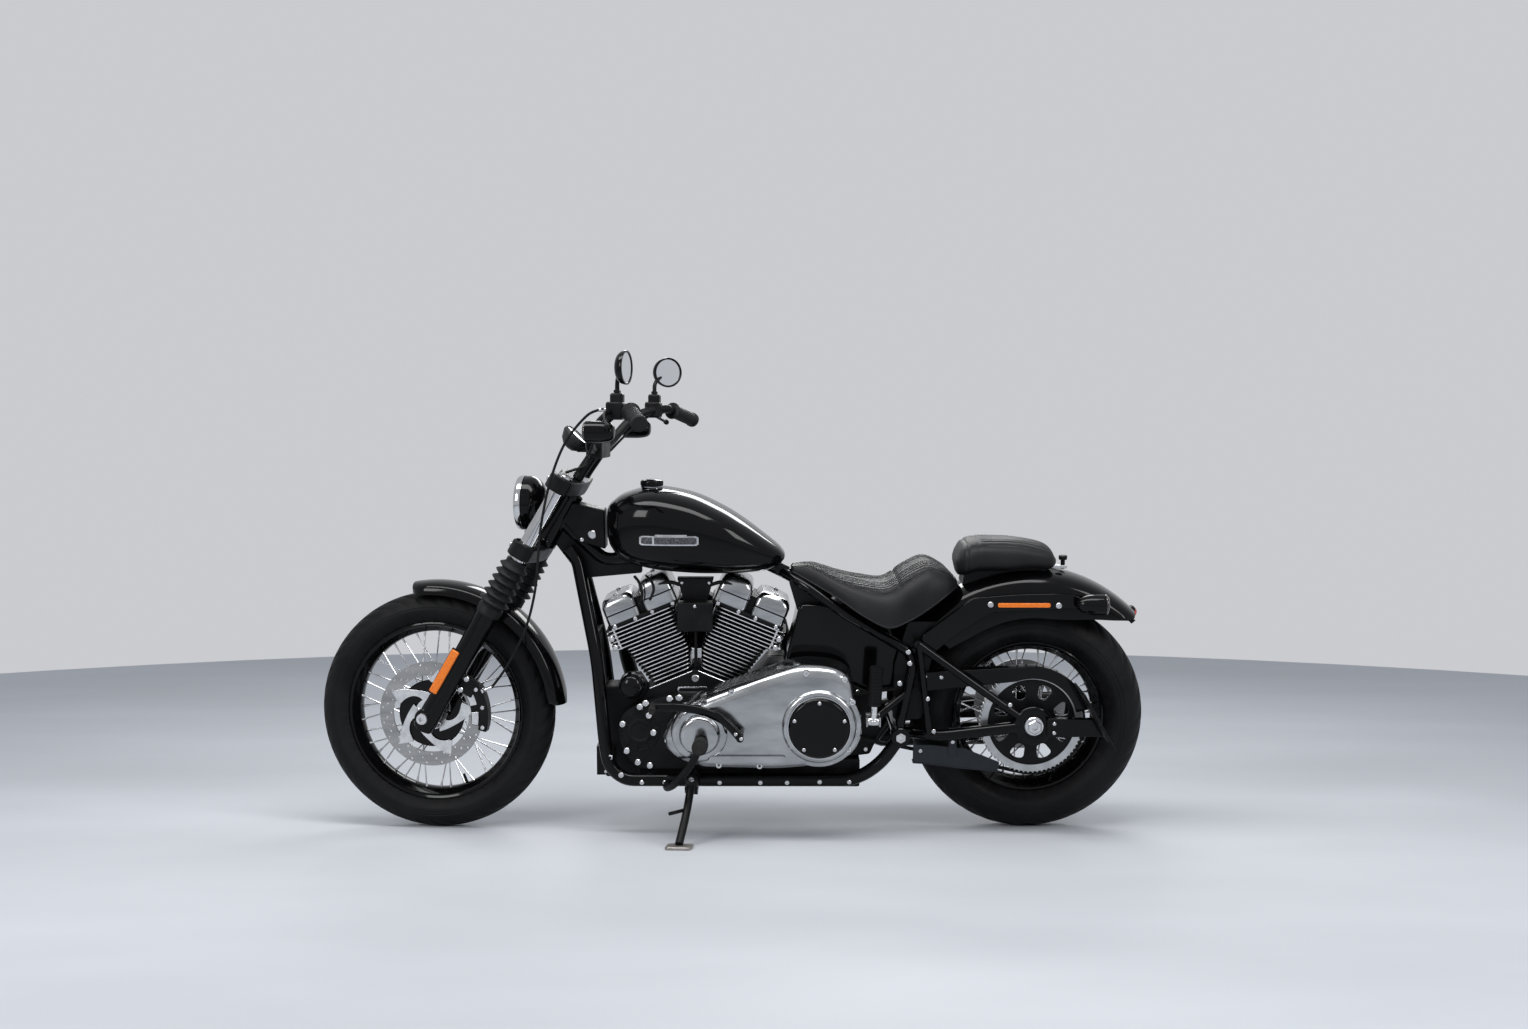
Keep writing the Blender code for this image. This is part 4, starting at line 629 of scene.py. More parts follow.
gaiter_rubber = finish("gaiter_rubber", (0.0055, 0.0055, 0.0062), (0.011, 0.011, 0.012), 0, (0.48, 0.62),
    14.0, (500.0, 0.2), shine=0.16)
chrome = finish("chrome_plate", (0.48, 0.48, 0.49), (0.6, 0.6, 0.61), 1.0, (0.05, 0.1), 18.0, (900.0, 0.01))
amber = finish("amber_reflector", (0.62, 0.125, 0.006), (0.82, 0.205, 0.01), 0, (0.1, 0.18), 220.0,
    (900.0, 0.4), 0.4, cells=True, shine=0.3)
GAITER_FOOT = 0.352
GAITER_TOP = 0.5
GAITER_RIDGES = 6
SIDES = ((-1, "left"), (1, "right"))
for side, word in SIDES:
    slider = [(-0.036, 0.02), (-0.034, 0.025), (-0.026, 0.0295), (0.034, 0.03), (0.046, 0.0292),
        (0.23, 0.0295), (0.29, 0.03), (0.3, 0.0304), (0.306, 0.0318), (GAITER_FOOT, 0.0318),
        (GAITER_FOOT + 0.001, 0.029)]
    foot = on_fork(0.008, side * 0.118, 0)
    put(f"slider_{word}", turned(foot, UP_FORK, slider, 64), black_paint, "steering", [f"fork_leg_{word}"],
        30)
    rows = [(GAITER_FOOT - 0.02, 0.032), (GAITER_FOOT - 0.019, 0.034), (GAITER_FOOT + 0.004, 0.034),
        (GAITER_FOOT + 0.007, 0.03)]
    pitch = (GAITER_TOP - GAITER_FOOT - 0.02) / GAITER_RIDGES
    for i in range(GAITER_RIDGES):
        z = GAITER_FOOT + 0.008 + i * pitch
        swell = 0.043 - 0.0005 * i
        rows += [(z + 0.08 * pitch, 0.0292), (z + 0.42 * pitch, swell - 0.0016), (z + 0.5 * pitch, swell),
            (z + 0.58 * pitch, swell - 0.0016), (z + 0.92 * pitch, 0.0292)]
    rows += [(GAITER_TOP - 0.01, 0.0292), (GAITER_TOP - 0.001, 0.0292), (GAITER_TOP, 0.027)]
    put(f"gaiter_{word}", turned(foot, UP_FORK, rows, 56), gaiter_rubber, "steering", (), 60)
    put(f"axle_pinch_{word}", turned(FRONT_AXLE, RIGHT * side,
        [(0.096, 0.019), (0.1, 0.025), (0.14, 0.025), (0.143, 0.022)], 40), black_paint, "steering", (), 30)
    put(f"axle_nut_{word}", together(turned(FRONT_AXLE, RIGHT * side, [(0.06, 0.0122), (0.1425, 0.0122)],
        24), turned(FRONT_AXLE, RIGHT * side, [(0.142, 0.0152), (0.156, 0.0152), (0.158, 0.014),
        (0.158, 0.0075), (0.15, 0.007)], 40)), bright_steel, "steering")
    lens = [on_fork(-0.012, side * 0.146, 0.076), on_fork(-0.012, side * 0.146, 0.208)]
    middle = (lens[0] + lens[1]) / 2
    frame_of = raked(middle)
    put(f"slider_reflector_{word}", box(-0.0115, 0.0115, side * -0.003, side * 0.0045, -0.066, 0.066,
        frame_of), amber, "steering", (), 35, 0.004)
    put(f"reflector_backing_{word}", box(-0.0135, 0.0135, side * -0.01, side * -0.0028, -0.0685, 0.0685,
        frame_of), satin_black, "steering", (), 35, 0.002)
put("fork_tubes", together(*[turned(on_fork(0.008, side * 0.118, 0), UP_FORK,
    [(GAITER_TOP - 0.002, 0.0205), (0.763, 0.0205), (0.764, 0.0195)], 48) for side in (-1, 1)]), chrome,
    "steering", ["fork_yokes"])
put("fork_caps", together(*[turned(on_fork(0.008, side * 0.118, 0), UP_FORK,
    [(0.752, 0.02), (0.763, 0.0202), (0.765, 0.0185), (0.765, 0.01), (0.762, 0.009)], 32)
    for side in (-1, 1)]), satin_black, "steering")
YOKE = [(-0.016, -0.15), (0.02, -0.15), (0.036, -0.136), (0.047, -0.06), (0.05, 0.0), (0.047, 0.06),
    (0.036, 0.136), (0.02, 0.15), (-0.016, 0.15), (-0.027, 0.134), (-0.026, 0.11), (-0.012, 0.07),
    (-0.026, 0.036), (-0.031, 0.0), (-0.026, -0.036), (-0.012, -0.07), (-0.026, -0.11), (-0.027, -0.134)]
for name, low in (("lower", 0.508), ("upper", 0.714)):
    put(f"{name}_yoke", skin([[on_fork(x, y, low + z) for x, y in YOKE] for z in (0.0, 0.044)]),
        satin_black, "steering", (), 35, 0.006)
    put(f"{name}_yoke_bolts", bolts([on_fork(-0.0275, side * 0.122, low + 0.022) for side in (-1, 1)],
        on_fork(-1, 0, 0) - on_fork(0, 0, 0), 0.0065, 0.005), bright_steel, "steering")
put("stem_nut", turned(on_fork(0.0295, 0, 0.757), UP_FORK, [(0, 0.019), (0.01, 0.019), (0.013, 0.016)], 6),
    bright_steel, "steering")

# The front fender. One sheet of pressed steel in gloss black, short and close over the tyre, on a
# bracket to each slider.

SHEET = 0.0035


def pressed(axle, angles, profile):
    """A thin shell round a wheel; the profile gives (y, radius) corners for an angle."""
    rings = []
    for deg in angles:
        outer = profile(deg)
        inner = []
        for i, (y, r) in enumerate(outer):
            before = Vector(outer[max(i - 1, 0)])
            after = Vector(outer[min(i + 1, len(outer) - 1)])
            run = (after - before).normalized()
            inner.append((y + run.y * SHEET, r - run.x * SHEET))
        rings.append([about(axle, r, deg, y) for y, r in outer + inner[::-1]])
    return skin(rings)


def on_line(rows, steps=4):
    """Smooth rows through the given ones."""
    return [(p.x, p.y) for p in curve([Vector(row) for row in rows], steps)]


FRONT_FENDER = 0.362


def front_section(deg):
    """Rounded shoulders and short skirts, drawn in at both rounded ends."""
    end = min(deg - 4, 100 - deg)
    tuck = 0.34 * max(0.0, 1 - end / 7.0) ** 2
    r = FRONT_FENDER - 0.0008
    rows = [(-0.064, r - 0.036), (-0.0625, r - 0.024), (-0.057, r - 0.013), (-0.042, r - 0.0052),
        (-0.02, r - 0.001), (0, r), (0.02, r - 0.001), (0.042, r - 0.0052), (0.057, r - 0.013),
        (0.0625, r - 0.024), (0.064, r - 0.036)]
    return on_line([(y * (1 - tuck), q) for y, q in rows], 3)


put("front_fender_shell", pressed(FRONT_AXLE, [4 + 96 * i / 56 for i in range(57)], front_section),
    black_paint, "steering", ["front_fender"], 50)
put("front_fender_brackets", together(*[together(turned(on_fork(0.008, 0, 0.328), RIGHT * side,
    [(0.06, 0.012), (0.0895, 0.012)], 24), box(-0.022, 0.022, side * 0.0605, side * 0.066, -0.03, 0.022,
    raked(on_fork(0.008, 0, 0.328)))) for side in (-1, 1)]), satin_black, "steering", (), 35, 0.002)
put("front_fender_bolts", together(*[bolts([on_fork(0.008 + x, side * 0.066, 0.328 + z)], RIGHT * side,
    0.005, 0.003) for side in (-1, 1) for x, z in ((-0.014, 0.01), (0.014, -0.018))]), bright_steel,
    "steering")

# The headlamp. A gloss-black bucket on a post from the lower yoke, a chromed rim, and a fluted
# glass over a bright bowl with its bulb cap.

lamp_glass = bpy.data.materials.new("fluted_lamp_glass")
lamp_glass.use_nodes = True
glass = lamp_glass.node_tree.nodes["Principled BSDF"]
glass.inputs["Base Color"].default_value = (0.93, 0.95, 0.97, 1)
glass.inputs["Roughness"].default_value = 0.03
glass.inputs["Transmission Weight"].default_value = 0.92
glass.inputs["IOR"].default_value = 1.35
flutes = lamp_glass.node_tree.nodes.new("ShaderNodeTexWave")
flutes.bands_direction = "Y"
flutes.inputs["Scale"].default_value = 45
flutes_at = lamp_glass.node_tree.nodes.new("ShaderNodeTexCoord")
flute_relief = lamp_glass.node_tree.nodes.new("ShaderNodeBump")
flute_relief.inputs["Strength"].default_value = 0.35
flute_relief.inputs["Distance"].default_value = 0.002
lamp_glass.node_tree.links.new(flutes_at.outputs["Object"], flutes.inputs["Vector"])
lamp_glass.node_tree.links.new(flutes.outputs["Fac"], flute_relief.inputs["Height"])
lamp_glass.node_tree.links.new(flute_relief.outputs["Normal"], glass.inputs["Normal"])
LAMP = on_fork(-0.071, 0, 0.625)
put("headlamp_bucket", turned(LAMP, AFT, [(0.0015, 0.07), (0.0015, 0.0735), (0.006, 0.0735)]
    + on_line([(0.01, 0.0735), (0.024, 0.0715), (0.038, 0.062), (0.048, 0.048), (0.0545, 0.03),
    (0.057, 0.012)]), 96), black_paint, "steering", ["headlamp_shell"], 50)
put("headlamp_post", together(rod([on_fork(-0.019, 0, 0.552), on_fork(-0.019, 0, 0.61)], 0.01, 24),
    turned(on_fork(-0.019, 0, 0.553), UP_FORK, [(0, 0.018), (0.006, 0.018), (0.009, 0.013)], 6)),
    satin_black, "steering", (), 30)
put("headlamp_rim", turned(LAMP, FORE, [(0.0005, 0.072), (0.0005, 0.0745), (0.004, 0.075), (0.013, 0.0748),
    (0.0175, 0.0725), (0.0195, 0.069), (0.018, 0.0665), (0.013, 0.066), (0.01, 0.07)], 96), chrome,
    "steering", ["headlamp_glass"], 30)
put("headlamp_lens", turned(LAMP, FORE, [(0.0125, 0.0664), (0.017, 0.0664)]
    + on_line([(0.0185, 0.0655), (0.0235, 0.05), (0.027, 0.03), (0.0285, 0.006)])
    + [(0.026, 0.006), (0.015, 0.06)], 72), lamp_glass, "steering", (), 60)
put("headlamp_bowl", turned(LAMP, FORE, [(-0.03, 0.008), (-0.026, 0.026), (-0.012, 0.05), (0.01, 0.0655),
    (0.012, 0.0675), (0.008, 0.0675), (-0.014, 0.053), (-0.031, 0.027), (-0.034, 0.008)], 72), chrome,
    "steering", (), 60)
put("headlamp_bulb_cap", turned(LAMP, FORE, [(-0.028, 0.012), (-0.006, 0.012), (0.004, 0.01),
    (0.007, 0.004)], 32), chrome, "steering", (), 50)

# The handlebar. One bent steel tube in satin black on two risers, with the switch housings, the
# clutch and brake levers and a small black indicator hung under each end.

red_lens = finish("red_lens", (0.3, 0.004, 0.004), (0.42, 0.008, 0.008), 0, (0.08, 0.14), 160.0,
    (500.0, 0.4), 0.8, cells=True)
smoke_lens = finish("smoked_lens", (0.008, 0.003, 0.002), (0.018, 0.006, 0.004), 0, (0.06, 0.12), 120.0,
    (420.0, 0.4), 1.0, cells=True)
GRIP_ROOT = on_bar(0.15, 0.318, 0.105)
GRIP_END = on_bar(0.196, 0.44, 0.075)
grip_line = (GRIP_END - GRIP_ROOT).normalized()
half_bar = [on_bar(0, 0, 0), on_bar(0, 0.085, 0), on_bar(0.007, 0.15, 0.02), on_bar(0.044, 0.203, 0.075),
    on_bar(0.09, 0.245, 0.105), GRIP_ROOT - grip_line * 0.022, GRIP_ROOT]


def mirrored(shape, side):
    """The piece itself for the right side, or its mirror image for the left."""
    points, faces = shape
    return [Vector((p.x, side * p.y, p.z)) for p in points], faces


bar_path = [Vector((p.x, -p.y, p.z)) for p in half_bar[::-1]] + half_bar[1:]
put("handlebar_tube", rod(bar_path, 0.0125, 24, 0.04), satin_black, "steering", ["handlebar"], 40)
put("bar_clamp", together(box(-0.022, 0.022, -0.06, 0.06, -0.023, 0.0225, Matrix.Translation(BAR_MID)),
    *[rod([on_fork(0.026, side * 0.04, 0.7585), on_fork(0.026, side * 0.04, 0.778),
    on_bar(0, side * 0.04, -0.005)], 0.0148, 24, 0.02) for side in (-1, 1)]), satin_black, "steering", (),
    38, 0.005)
put("bar_clamp_bolts", bolts([on_bar(x, side * 0.04, 0.0222) for x in (-0.013, 0.013) for side in (-1, 1)],
    UP, 0.0062, 0.005), bright_steel, "steering")
housing = plate([(0.081, 0.084), (0.126, 0.084), (0.126, 0.13), (0.081, 0.13)], 0.253, 0.299,
    Matrix.Translation(BAR_MID))
perch = box(0.09, 0.124, 0.257, 0.289, 0.124, 0.152, Matrix.Translation(BAR_MID))
for side, word in SIDES:
    put(f"switch_housing_{word}", mirrored(together(housing, perch), side), satin_black, "steering", (), 38,
        0.0065)
    put(f"switches_{word}", mirrored(together(*[box(0.1255, 0.1285, 0.258 + k * 0.014, 0.268 + k * 0.014,
        0.094, 0.104, Matrix.Translation(BAR_MID)) for k in range(3)],
        box(0.1255, 0.1285, 0.262, 0.29, 0.11, 0.118, Matrix.Translation(BAR_MID))), side), gaiter_rubber,
        "steering", (), 38, 0.001)
    lever = [on_bar(0.102, 0.285, 0.108), on_bar(0.084, 0.318, 0.101), on_bar(0.092, 0.36, 0.09),
        on_bar(0.114, 0.434, 0.07)]
    put(f"lever_{word}", mirrored(together(rod(lever, (0.0072, 0.0055), 16, 0.02, 0.7),
        turned(lever[-1], Vector((0.2, 0.95, -0.2)), [(-0.008, 0.004), (-0.004, 0.0078), (0.004, 0.0078),
        (0.008, 0.004)], 20)), side), satin_black, "steering", (), 50)
    put(f"lever_pivot_{word}", mirrored(turned(on_bar(0.104, 0.283, 0.096), UP,
        [(0, 0.0065), (0.026, 0.0065), (0.028, 0.0045)], 6), side), bright_steel, "steering")
    blinker = on_bar(0.057, 0.262, 0.053)
    put(f"front_indicator_{word}", mirrored(turned(blinker, FORE,
        on_line([(-0.041, 0.008), (-0.038, 0.017), (-0.028, 0.0238), (-0.008, 0.0272), (0.02, 0.0275),
        (0.034, 0.0272)], 4), 56), side), black_paint, "steering", (), 50)
    put(f"front_indicator_lens_{word}", mirrored(turned(blinker, FORE,
        [(0.03, 0.0255), (0.0345, 0.0262), (0.039, 0.0235), (0.0415, 0.016), (0.042, 0.004)], 48), side),
        smoke_lens, "steering", (), 50)
    put(f"front_indicator_stem_{word}", mirrored(rod([on_bar(0.06, 0.262, 0.058),
        on_bar(0.072, 0.258, 0.08), on_bar(0.086, 0.252, 0.1)], 0.0068, 16, 0.01), side), black_paint,
        "steering")
    grip = [(0.0004, 0.0205), (0.0015, 0.024), (0.005, 0.0245), (0.008, 0.0205)]
    for k in range(14):
        z = 0.012 + k * 0.0073
        grip += [(z, 0.018), (z + 0.0012, 0.0192), (z + 0.0052, 0.0192), (z + 0.0064, 0.018)]
    grip += [(0.117, 0.019), (0.119, 0.0212), (0.127, 0.0212), (0.13, 0.0185)]
    put(f"grip_rubber_{word}", mirrored(turned(GRIP_ROOT, grip_line, grip, 48), side), gaiter_rubber,
        "steering", [f"grip_{word}"], 35)

# The mirrors. Oval glasses in black cast shells, each on a short bent stem screwed to its lever
# perch.

mirror_glass = finish("mirror_glass", (0.72, 0.74, 0.77), (0.76, 0.78, 0.8), 1.0, (0.02, 0.04), 3.0,
    (5.0, 0.001))
for side, word, facing in ((-1, "left", (1, -0.1, 0)), (1, "right", (0.75, -0.65, 0))):
    line = Vector(facing).normalized()
    stem = on_bar(0.124, side * 0.32, 0.207)
    middle = stem + line * 0.01 + Vector((0, side * 0.014, 0.008))
    put(f"mirror_shell_{word}", turned(middle, line, on_line([(-0.0175, 0.006), (-0.0165, 0.015),
        (-0.011, 0.032), (-0.002, 0.0405), (0.0085, 0.0432)], 4)
        + [(0.0108, 0.0428), (0.0112, 0.0395), (0.01, 0.0376), (0.0078, 0.0372)], 64, 1.18), black_paint,
        "steering", [f"mirror_{word}"], 40)
    put(f"mirror_glass_{word}", turned(middle, line, [(0.004, 0.0368), (0.0086, 0.0378), (0.0088, 0.0374)],
        64, 1.18), mirror_glass, "steering", (), 20)
    put(f"mirror_stem_{word}", together(rod([on_bar(0.107, side * 0.273, 0.1515),
        on_bar(0.107, side * 0.273, 0.184), stem + Vector((-0.004, -side * 0.01, -0.004)),
        stem + line * 0.004], (0.0058, 0.0048), 16, 0.02), turned(on_bar(0.107, side * 0.273, 0.1525), UP,
        [(0, 0.0098), (0.006, 0.0098), (0.008, 0.0075)], 6)), satin_black, "steering")

# The gauge. A round instrument in a dark die-cast pod before the bar clamp; its glossy black dial
# is marked with white ticks alone.

gauge_metal = finish("gauge_casting", (0.012, 0.0125, 0.0135), (0.022, 0.0225, 0.024), 0, (0.4, 0.55), 30.0,
    (500.0, 0.15), shine=0.2)
dial_face = finish("dial_face", (0.008, 0.009, 0.012), (0.014, 0.015, 0.02), 0, (0.08, 0.14), 8.0,
    (40.0, 0.002), 1.0)
gauge_at = on_bar(-0.068, 0, 0.025)
gauge_line = Vector((math.sin(0.75), 0, math.cos(0.75)))
put("gauge_housing", together(turned(gauge_at, gauge_line, [(-0.0258, 0.01), (-0.024, 0.017),
    (-0.0135, 0.0308), (0.0075, 0.0415), (0.012, 0.0415), (0.0195, 0.0385), (0.0195, 0.0362),
    (0.017, 0.0358)], 64), rod([on_bar(-0.058, 0, 0), on_bar(-0.0222, 0, 0)], 0.0078, 20)), gauge_metal,
    "steering", ["gauge_pod"], 30)
put("gauge_dial", turned(gauge_at, gauge_line, [(0.01, 0.0355), (0.0172, 0.0362), (0.018, 0.034)], 64),
    dial_face, "steering")
ticks = []
side_on = gauge_line.cross(RIGHT).normalized()
for k in range(21):
    a = math.radians(-130 + 13 * k)
    outwards = side_on * math.cos(a) + RIGHT * math.sin(a)
    near = gauge_at + gauge_line * 0.0181 + outwards * 0.0255
    ticks.append(rod([near, near + outwards * (0.006 if k % 4 == 0 else 0.0035)], 0.00045, 4))
put("gauge_ticks", together(*ticks), finish("dial_white", (0.7, 0.7, 0.7), None, 0, (0.5, 0.6)), "steering")

# The switch looms. Wires in a black sheath from each switch housing, taped to the bar and led down
# to the neck.

looms = []
for side in (-1, 1):
    looms.append(rod(smooth([on_bar(0.098, side * 0.256, 0.092), on_bar(0.06, side * 0.225, 0.062),
        on_bar(0.026, side * 0.182, 0.022), on_bar(0.002, side * 0.13, -0.011),
        on_bar(-0.01, side * 0.078, -0.019), on_bar(-0.018, side * 0.066, -0.04),
        on_fork(-0.006, side * 0.064, 0.762)], 0.009), 0.0036, 10))
put("switch_looms", together(*looms), black_hose, "steering")

# The frame. Round steel tube welded at a forged neck: a backbone under the tank, two rails down
# under the seat, and a bolted cradle round the engine, all in gloss black.

NECK = on_fork(0.0295, 0, 0.5526)
NECK_TOP = on_fork(0.0295, 0, 0.7134)
BACKBONE_Z = 0.757
PIVOT = Vector((0.368, 0, 0.29))
RAIL_Z = 0.168
SEAT_NOSE = 0.078
SEAT_TAIL = 0.519


def along_seat(share):
    """x at a share of the way from the seat's nose to its tail."""
    return SEAT_NOSE + (SEAT_TAIL - SEAT_NOSE) * share


backbone = Vector((-0.44, 0, 0.75))
put("frame_neck", together(turned(NECK, UP_FORK, [(0, 0.0285), (0.002, 0.03), (0.0145, 0.03),
    (0.016, 0.0285), (0.145, 0.0285), (0.147, 0.03), (0.159, 0.03), (0.1608, 0.0285)], 48),
    rod([(NECK + NECK_TOP) / 2, backbone, (-0.38, 0, BACKBONE_Z), (-0.02, 0, BACKBONE_Z),
    (0.062, 0, BACKBONE_Z - 0.041)], 0.019, 24, 0.03)), black_paint, "chassis", ["frame_backbone"], 40)
put("neck_gusset", together(plate([(NECK.x + 0.017, NECK.z + 0.02), (NECK.x + 0.046, NECK.z + 0.085),
    (backbone.x, backbone.z + 0.02), (backbone.x + 0.105, backbone.z - 0.01),
    (backbone.x + 0.105, backbone.z - 0.034), (backbone.x - 0.045, backbone.z - 0.048),
    (backbone.x - 0.075, backbone.z - 0.03)], -0.011, 0.011), plate([(NECK.x + 0.054, NECK.z + 0.067),
    (NECK.x + 0.082, NECK.z + 0.117), (backbone.x + 0.006, backbone.z + 0.143),
    (backbone.x + 0.008, backbone.z + 0.035), (backbone.x - 0.06, backbone.z + 0.055)], -0.034, 0.034)),
    satin_black, "chassis", (), 38, 0.005)
put("neck_lock", together(turned((backbone.x - 0.028, -0.034, backbone.z + 0.076), LEFT,
    [(0, 0.0115), (0.004, 0.0115), (0.0055, 0.0095)], 32), turned((backbone.x - 0.056, -0.034,
    backbone.z + 0.062), LEFT, [(0, 0.005), (0.003, 0.005), (0.004, 0.003)], 16)), bright_steel, "chassis",
    (), 30)
rails = [rod([(along_seat(0.73), -0.12, 0.515), (along_seat(0.73), 0.12, 0.515)], 0.014, 20)]
for side in (-1, 1):
    rails.append(rod([(0.04, 0, BACKBONE_Z - 0.0335), (along_seat(0.073), side * 0.06, 0.6915),
        (along_seat(0.286), side * 0.102, 0.629), (along_seat(0.712), side * 0.12, 0.519),
        (along_seat(0.735), side * 0.124, 0.48), (PIVOT.x, side * 0.126, 0.33),
        (PIVOT.x, side * 0.126, 0.3164)], 0.0138, 20, 0.03))
    rails.append(rod([(PIVOT.x + 0.018, side * 0.124, 0.41), (PIVOT.x - 0.066, side * 0.166, 0.352)],
        0.0098, 16))
put("seat_rails", together(*rails), black_paint, "chassis", (), 40)
PEG = Vector((0.29, 0.2, 0.349))
clevis = together(box(PEG.x - 0.0193, PEG.x + 0.0193, 0.16, PEG.y - 0.0222, PEG.z - 0.0148, PEG.z + 0.0148),
    *[box(PEG.x + end * 0.0149, PEG.x + end * 0.0193, PEG.y - 0.026, PEG.y + 0.0115, PEG.z - 0.0128,
    PEG.z + 0.0118) for end in (-1, 1)])
put("peg_clevises", together(*[mirrored(clevis, side) for side in (-1, 1)]),
    finish("cast_aluminium", (0.34, 0.34, 0.35), (0.46, 0.46, 0.47), 1.0, (0.34, 0.48), 40.0, (320.0, 0.3)),
    "chassis", (), 38, 0.0018)
for side, word in SIDES:
    tube = rod([(NECK.x + 0.067, side * 0.0305, NECK.z - 0.01),
        (NECK.x + 0.093, side * 0.034, NECK.z - 0.039), (-0.453, side * 0.09, 0.491),
        (-0.432, side * 0.12, 0.27), (-0.42, side * 0.13, 0.205), (-0.378, side * 0.13, RAIL_Z),
        (PIVOT.x - 0.121, side * 0.13, RAIL_Z), (PIVOT.x - 0.05, side * 0.13, 0.215),
        (PIVOT.x, side * 0.13, PIVOT.z)], 0.0178, 24, 0.05)
    boss = turned(PIVOT, RIGHT * side, [(0.106, 0.024), (0.108, 0.026), (0.148, 0.026), (0.15, 0.024)], 40)
    put(f"cradle_tube_{word}", together(tube, boss), black_paint, "chassis", [f"cradle_{word}"], 40)
    put(f"pivot_bolt_{word}", bolts([PIVOT + Vector((0, side * 0.15, 0))], RIGHT * side, 0.014, 0.006, 0.5,
        6), bright_steel, "chassis")
STAND_AT = Vector((-0.194, -0.187, 0.178))
fold_axis = Vector((0.0, -0.65439, 0.75615))
stand_line = Vector((-0.142734, -0.748412, -0.647694))
stand_side = fold_axis.cross(stand_line)
STAND = Matrix((stand_side, -fold_axis, stand_line)).transposed().to_4x4()
STAND.translation = STAND_AT
put("stand_lug", box(-0.018, 0.018, 0.0131, 0.038, -0.054, 0.014, STAND), black_paint, "chassis", (), 38,
    0.003)
put("cradle_bolts", together(bolts([(x, -0.148, z) for x, z in ((-0.33, 0.166), (-0.268, 0.166),
    (-0.12, 0.166), (-0.01, 0.166), (0.062, 0.166), (0.15, 0.168), (0.23, 0.168))], LEFT, 0.0062, 0.005),
    bolts([(-0.4165, -0.137, 0.232), (-0.386, -0.146, 0.186)], LEFT, 0.0075, 0.005),
    bolts([(along_seat(0.7), -0.134, 0.523), (along_seat(0.71), -0.134, 0.492),
    (PIVOT.x - 0.004, -0.14, 0.438)], LEFT, 0.0072, 0.005)), bright_steel, "chassis")

# The crankcase. Two cast-aluminium halves in satin black with the gearbox behind them, an inner
# primary cover bolted to the left face, and a bare name plate under the V of the cylinders.

CRANK = Vector((-0.187, 0, 0.285))
HALF_V = math.radians(22.5)
DECK = 0.165
DRIVE_X = 0.215
DRIVE_Z = 0.34
CLUTCH = Vector((0.145, 0, 0.343))
polished_alloy = finish("polished_aluminium", (0.31, 0.32, 0.33), (0.45, 0.46, 0.47), 1.0, (0.13, 0.23),
    10.0, (700.0, 0.012), stretch=(1, 1, 3))
black_casting = finish("black_crackle", (0.0028, 0.0028, 0.0031), (0.0062, 0.0062, 0.0066), 0, (0.38, 0.54),
    30.0, (900.0, 0.2), shine=0.14)


def v_point(tilt, across, up):
    """(x, z) of a point in a cylinder's plane, across it and up it from the crankshaft."""
    return (CRANK.x + across * math.cos(tilt) + up * math.sin(tilt),
        CRANK.z - across * math.sin(tilt) + up * math.cos(tilt))


def softened(outline, cut=0.018, steps=4):
    """The outline with its corners rounded off."""
    path = [Vector(p) for p in outline]
    out = []
    for a, b, c in zip(path[-1:] + path[:-1], path, path[1:] + path[:1]):
        low = min(cut, (a - b).length * 0.45)
        high = min(cut, (c - b).length * 0.45)
        start = b + (a - b).normalized() * low
        end = b + (c - b).normalized() * high
        for k in range(steps + 1):
            t = k / steps
            out.append(start * (1 - t) ** 2 + b * (2 * t * (1 - t)) + end * t * t)
    return [(p.x, p.y) for p in out]


CASE = [(CRANK.x - 0.165, 0.235), (CRANK.x - 0.173, 0.33), v_point(-HALF_V, -0.07, DECK),
    v_point(-HALF_V, 0.06, DECK), v_point(HALF_V, -0.06, DECK), v_point(HALF_V, 0.07, DECK),
    (CRANK.x + 0.15, 0.428), (CRANK.x + 0.198, 0.483), (CRANK.x + 0.244, 0.483), (CRANK.x + 0.244, 0.435),
    (DRIVE_X - 0.01, 0.435), (PIVOT.x - 0.068, 0.395), (PIVOT.x - 0.046, 0.3), (PIVOT.x - 0.078, 0.225),
    (0.1, 0.2), (-0.02, 0.184), (CRANK.x - 0.11, 0.184)]
put("crankcase_halves", together(plate(softened(CASE, 0.006, 2), -0.079, 0.079),
    turned((DRIVE_X, 0, DRIVE_Z), LEFT, [(0.07, 0.0487), (0.108, 0.0487)], 48),
    plate([(-0.377, 0.385), (-0.377, 0.44), (-0.34, 0.44), (-0.3205, 0.408), (-0.31, 0.39),
    (-0.325, 0.365)], -0.06, 0.0)), black_casting, "chassis", ["crankcase"], 38, 0.005)
put("engine_sump", together(box(-0.345, 0.262, -0.092, 0.092, 0.136, 0.215),
    box(-0.438, -0.335, -0.046, 0.046, 0.15, 0.405)), black_casting, "chassis", (), 38, 0.006)
put("case_seam", plate(softened([(CRANK.x + (x - CRANK.x) * 1.006, 0.31 + (z - 0.31) * 1.008)
    for x, z in CASE], 0.008, 2), -0.003, 0.003), black_casting, "chassis", (), 38, 0.001)
case_bolts = [(CRANK.x - 0.14, 0.222), (CRANK.x - 0.152, 0.318), (0.17, 0.42), (0.255, 0.4), (0.3, 0.33),
    (0.278, 0.24), (0.18, 0.212), (0.06, 0.203)]
put("case_bolts", together(bolts([(x, -0.079, z) for x, z in case_bolts], LEFT, 0.0062, 0.005),
    bolts([(x, 0.079, z) for x, z in case_bolts], RIGHT, 0.0062, 0.005)), bright_steel, "chassis")
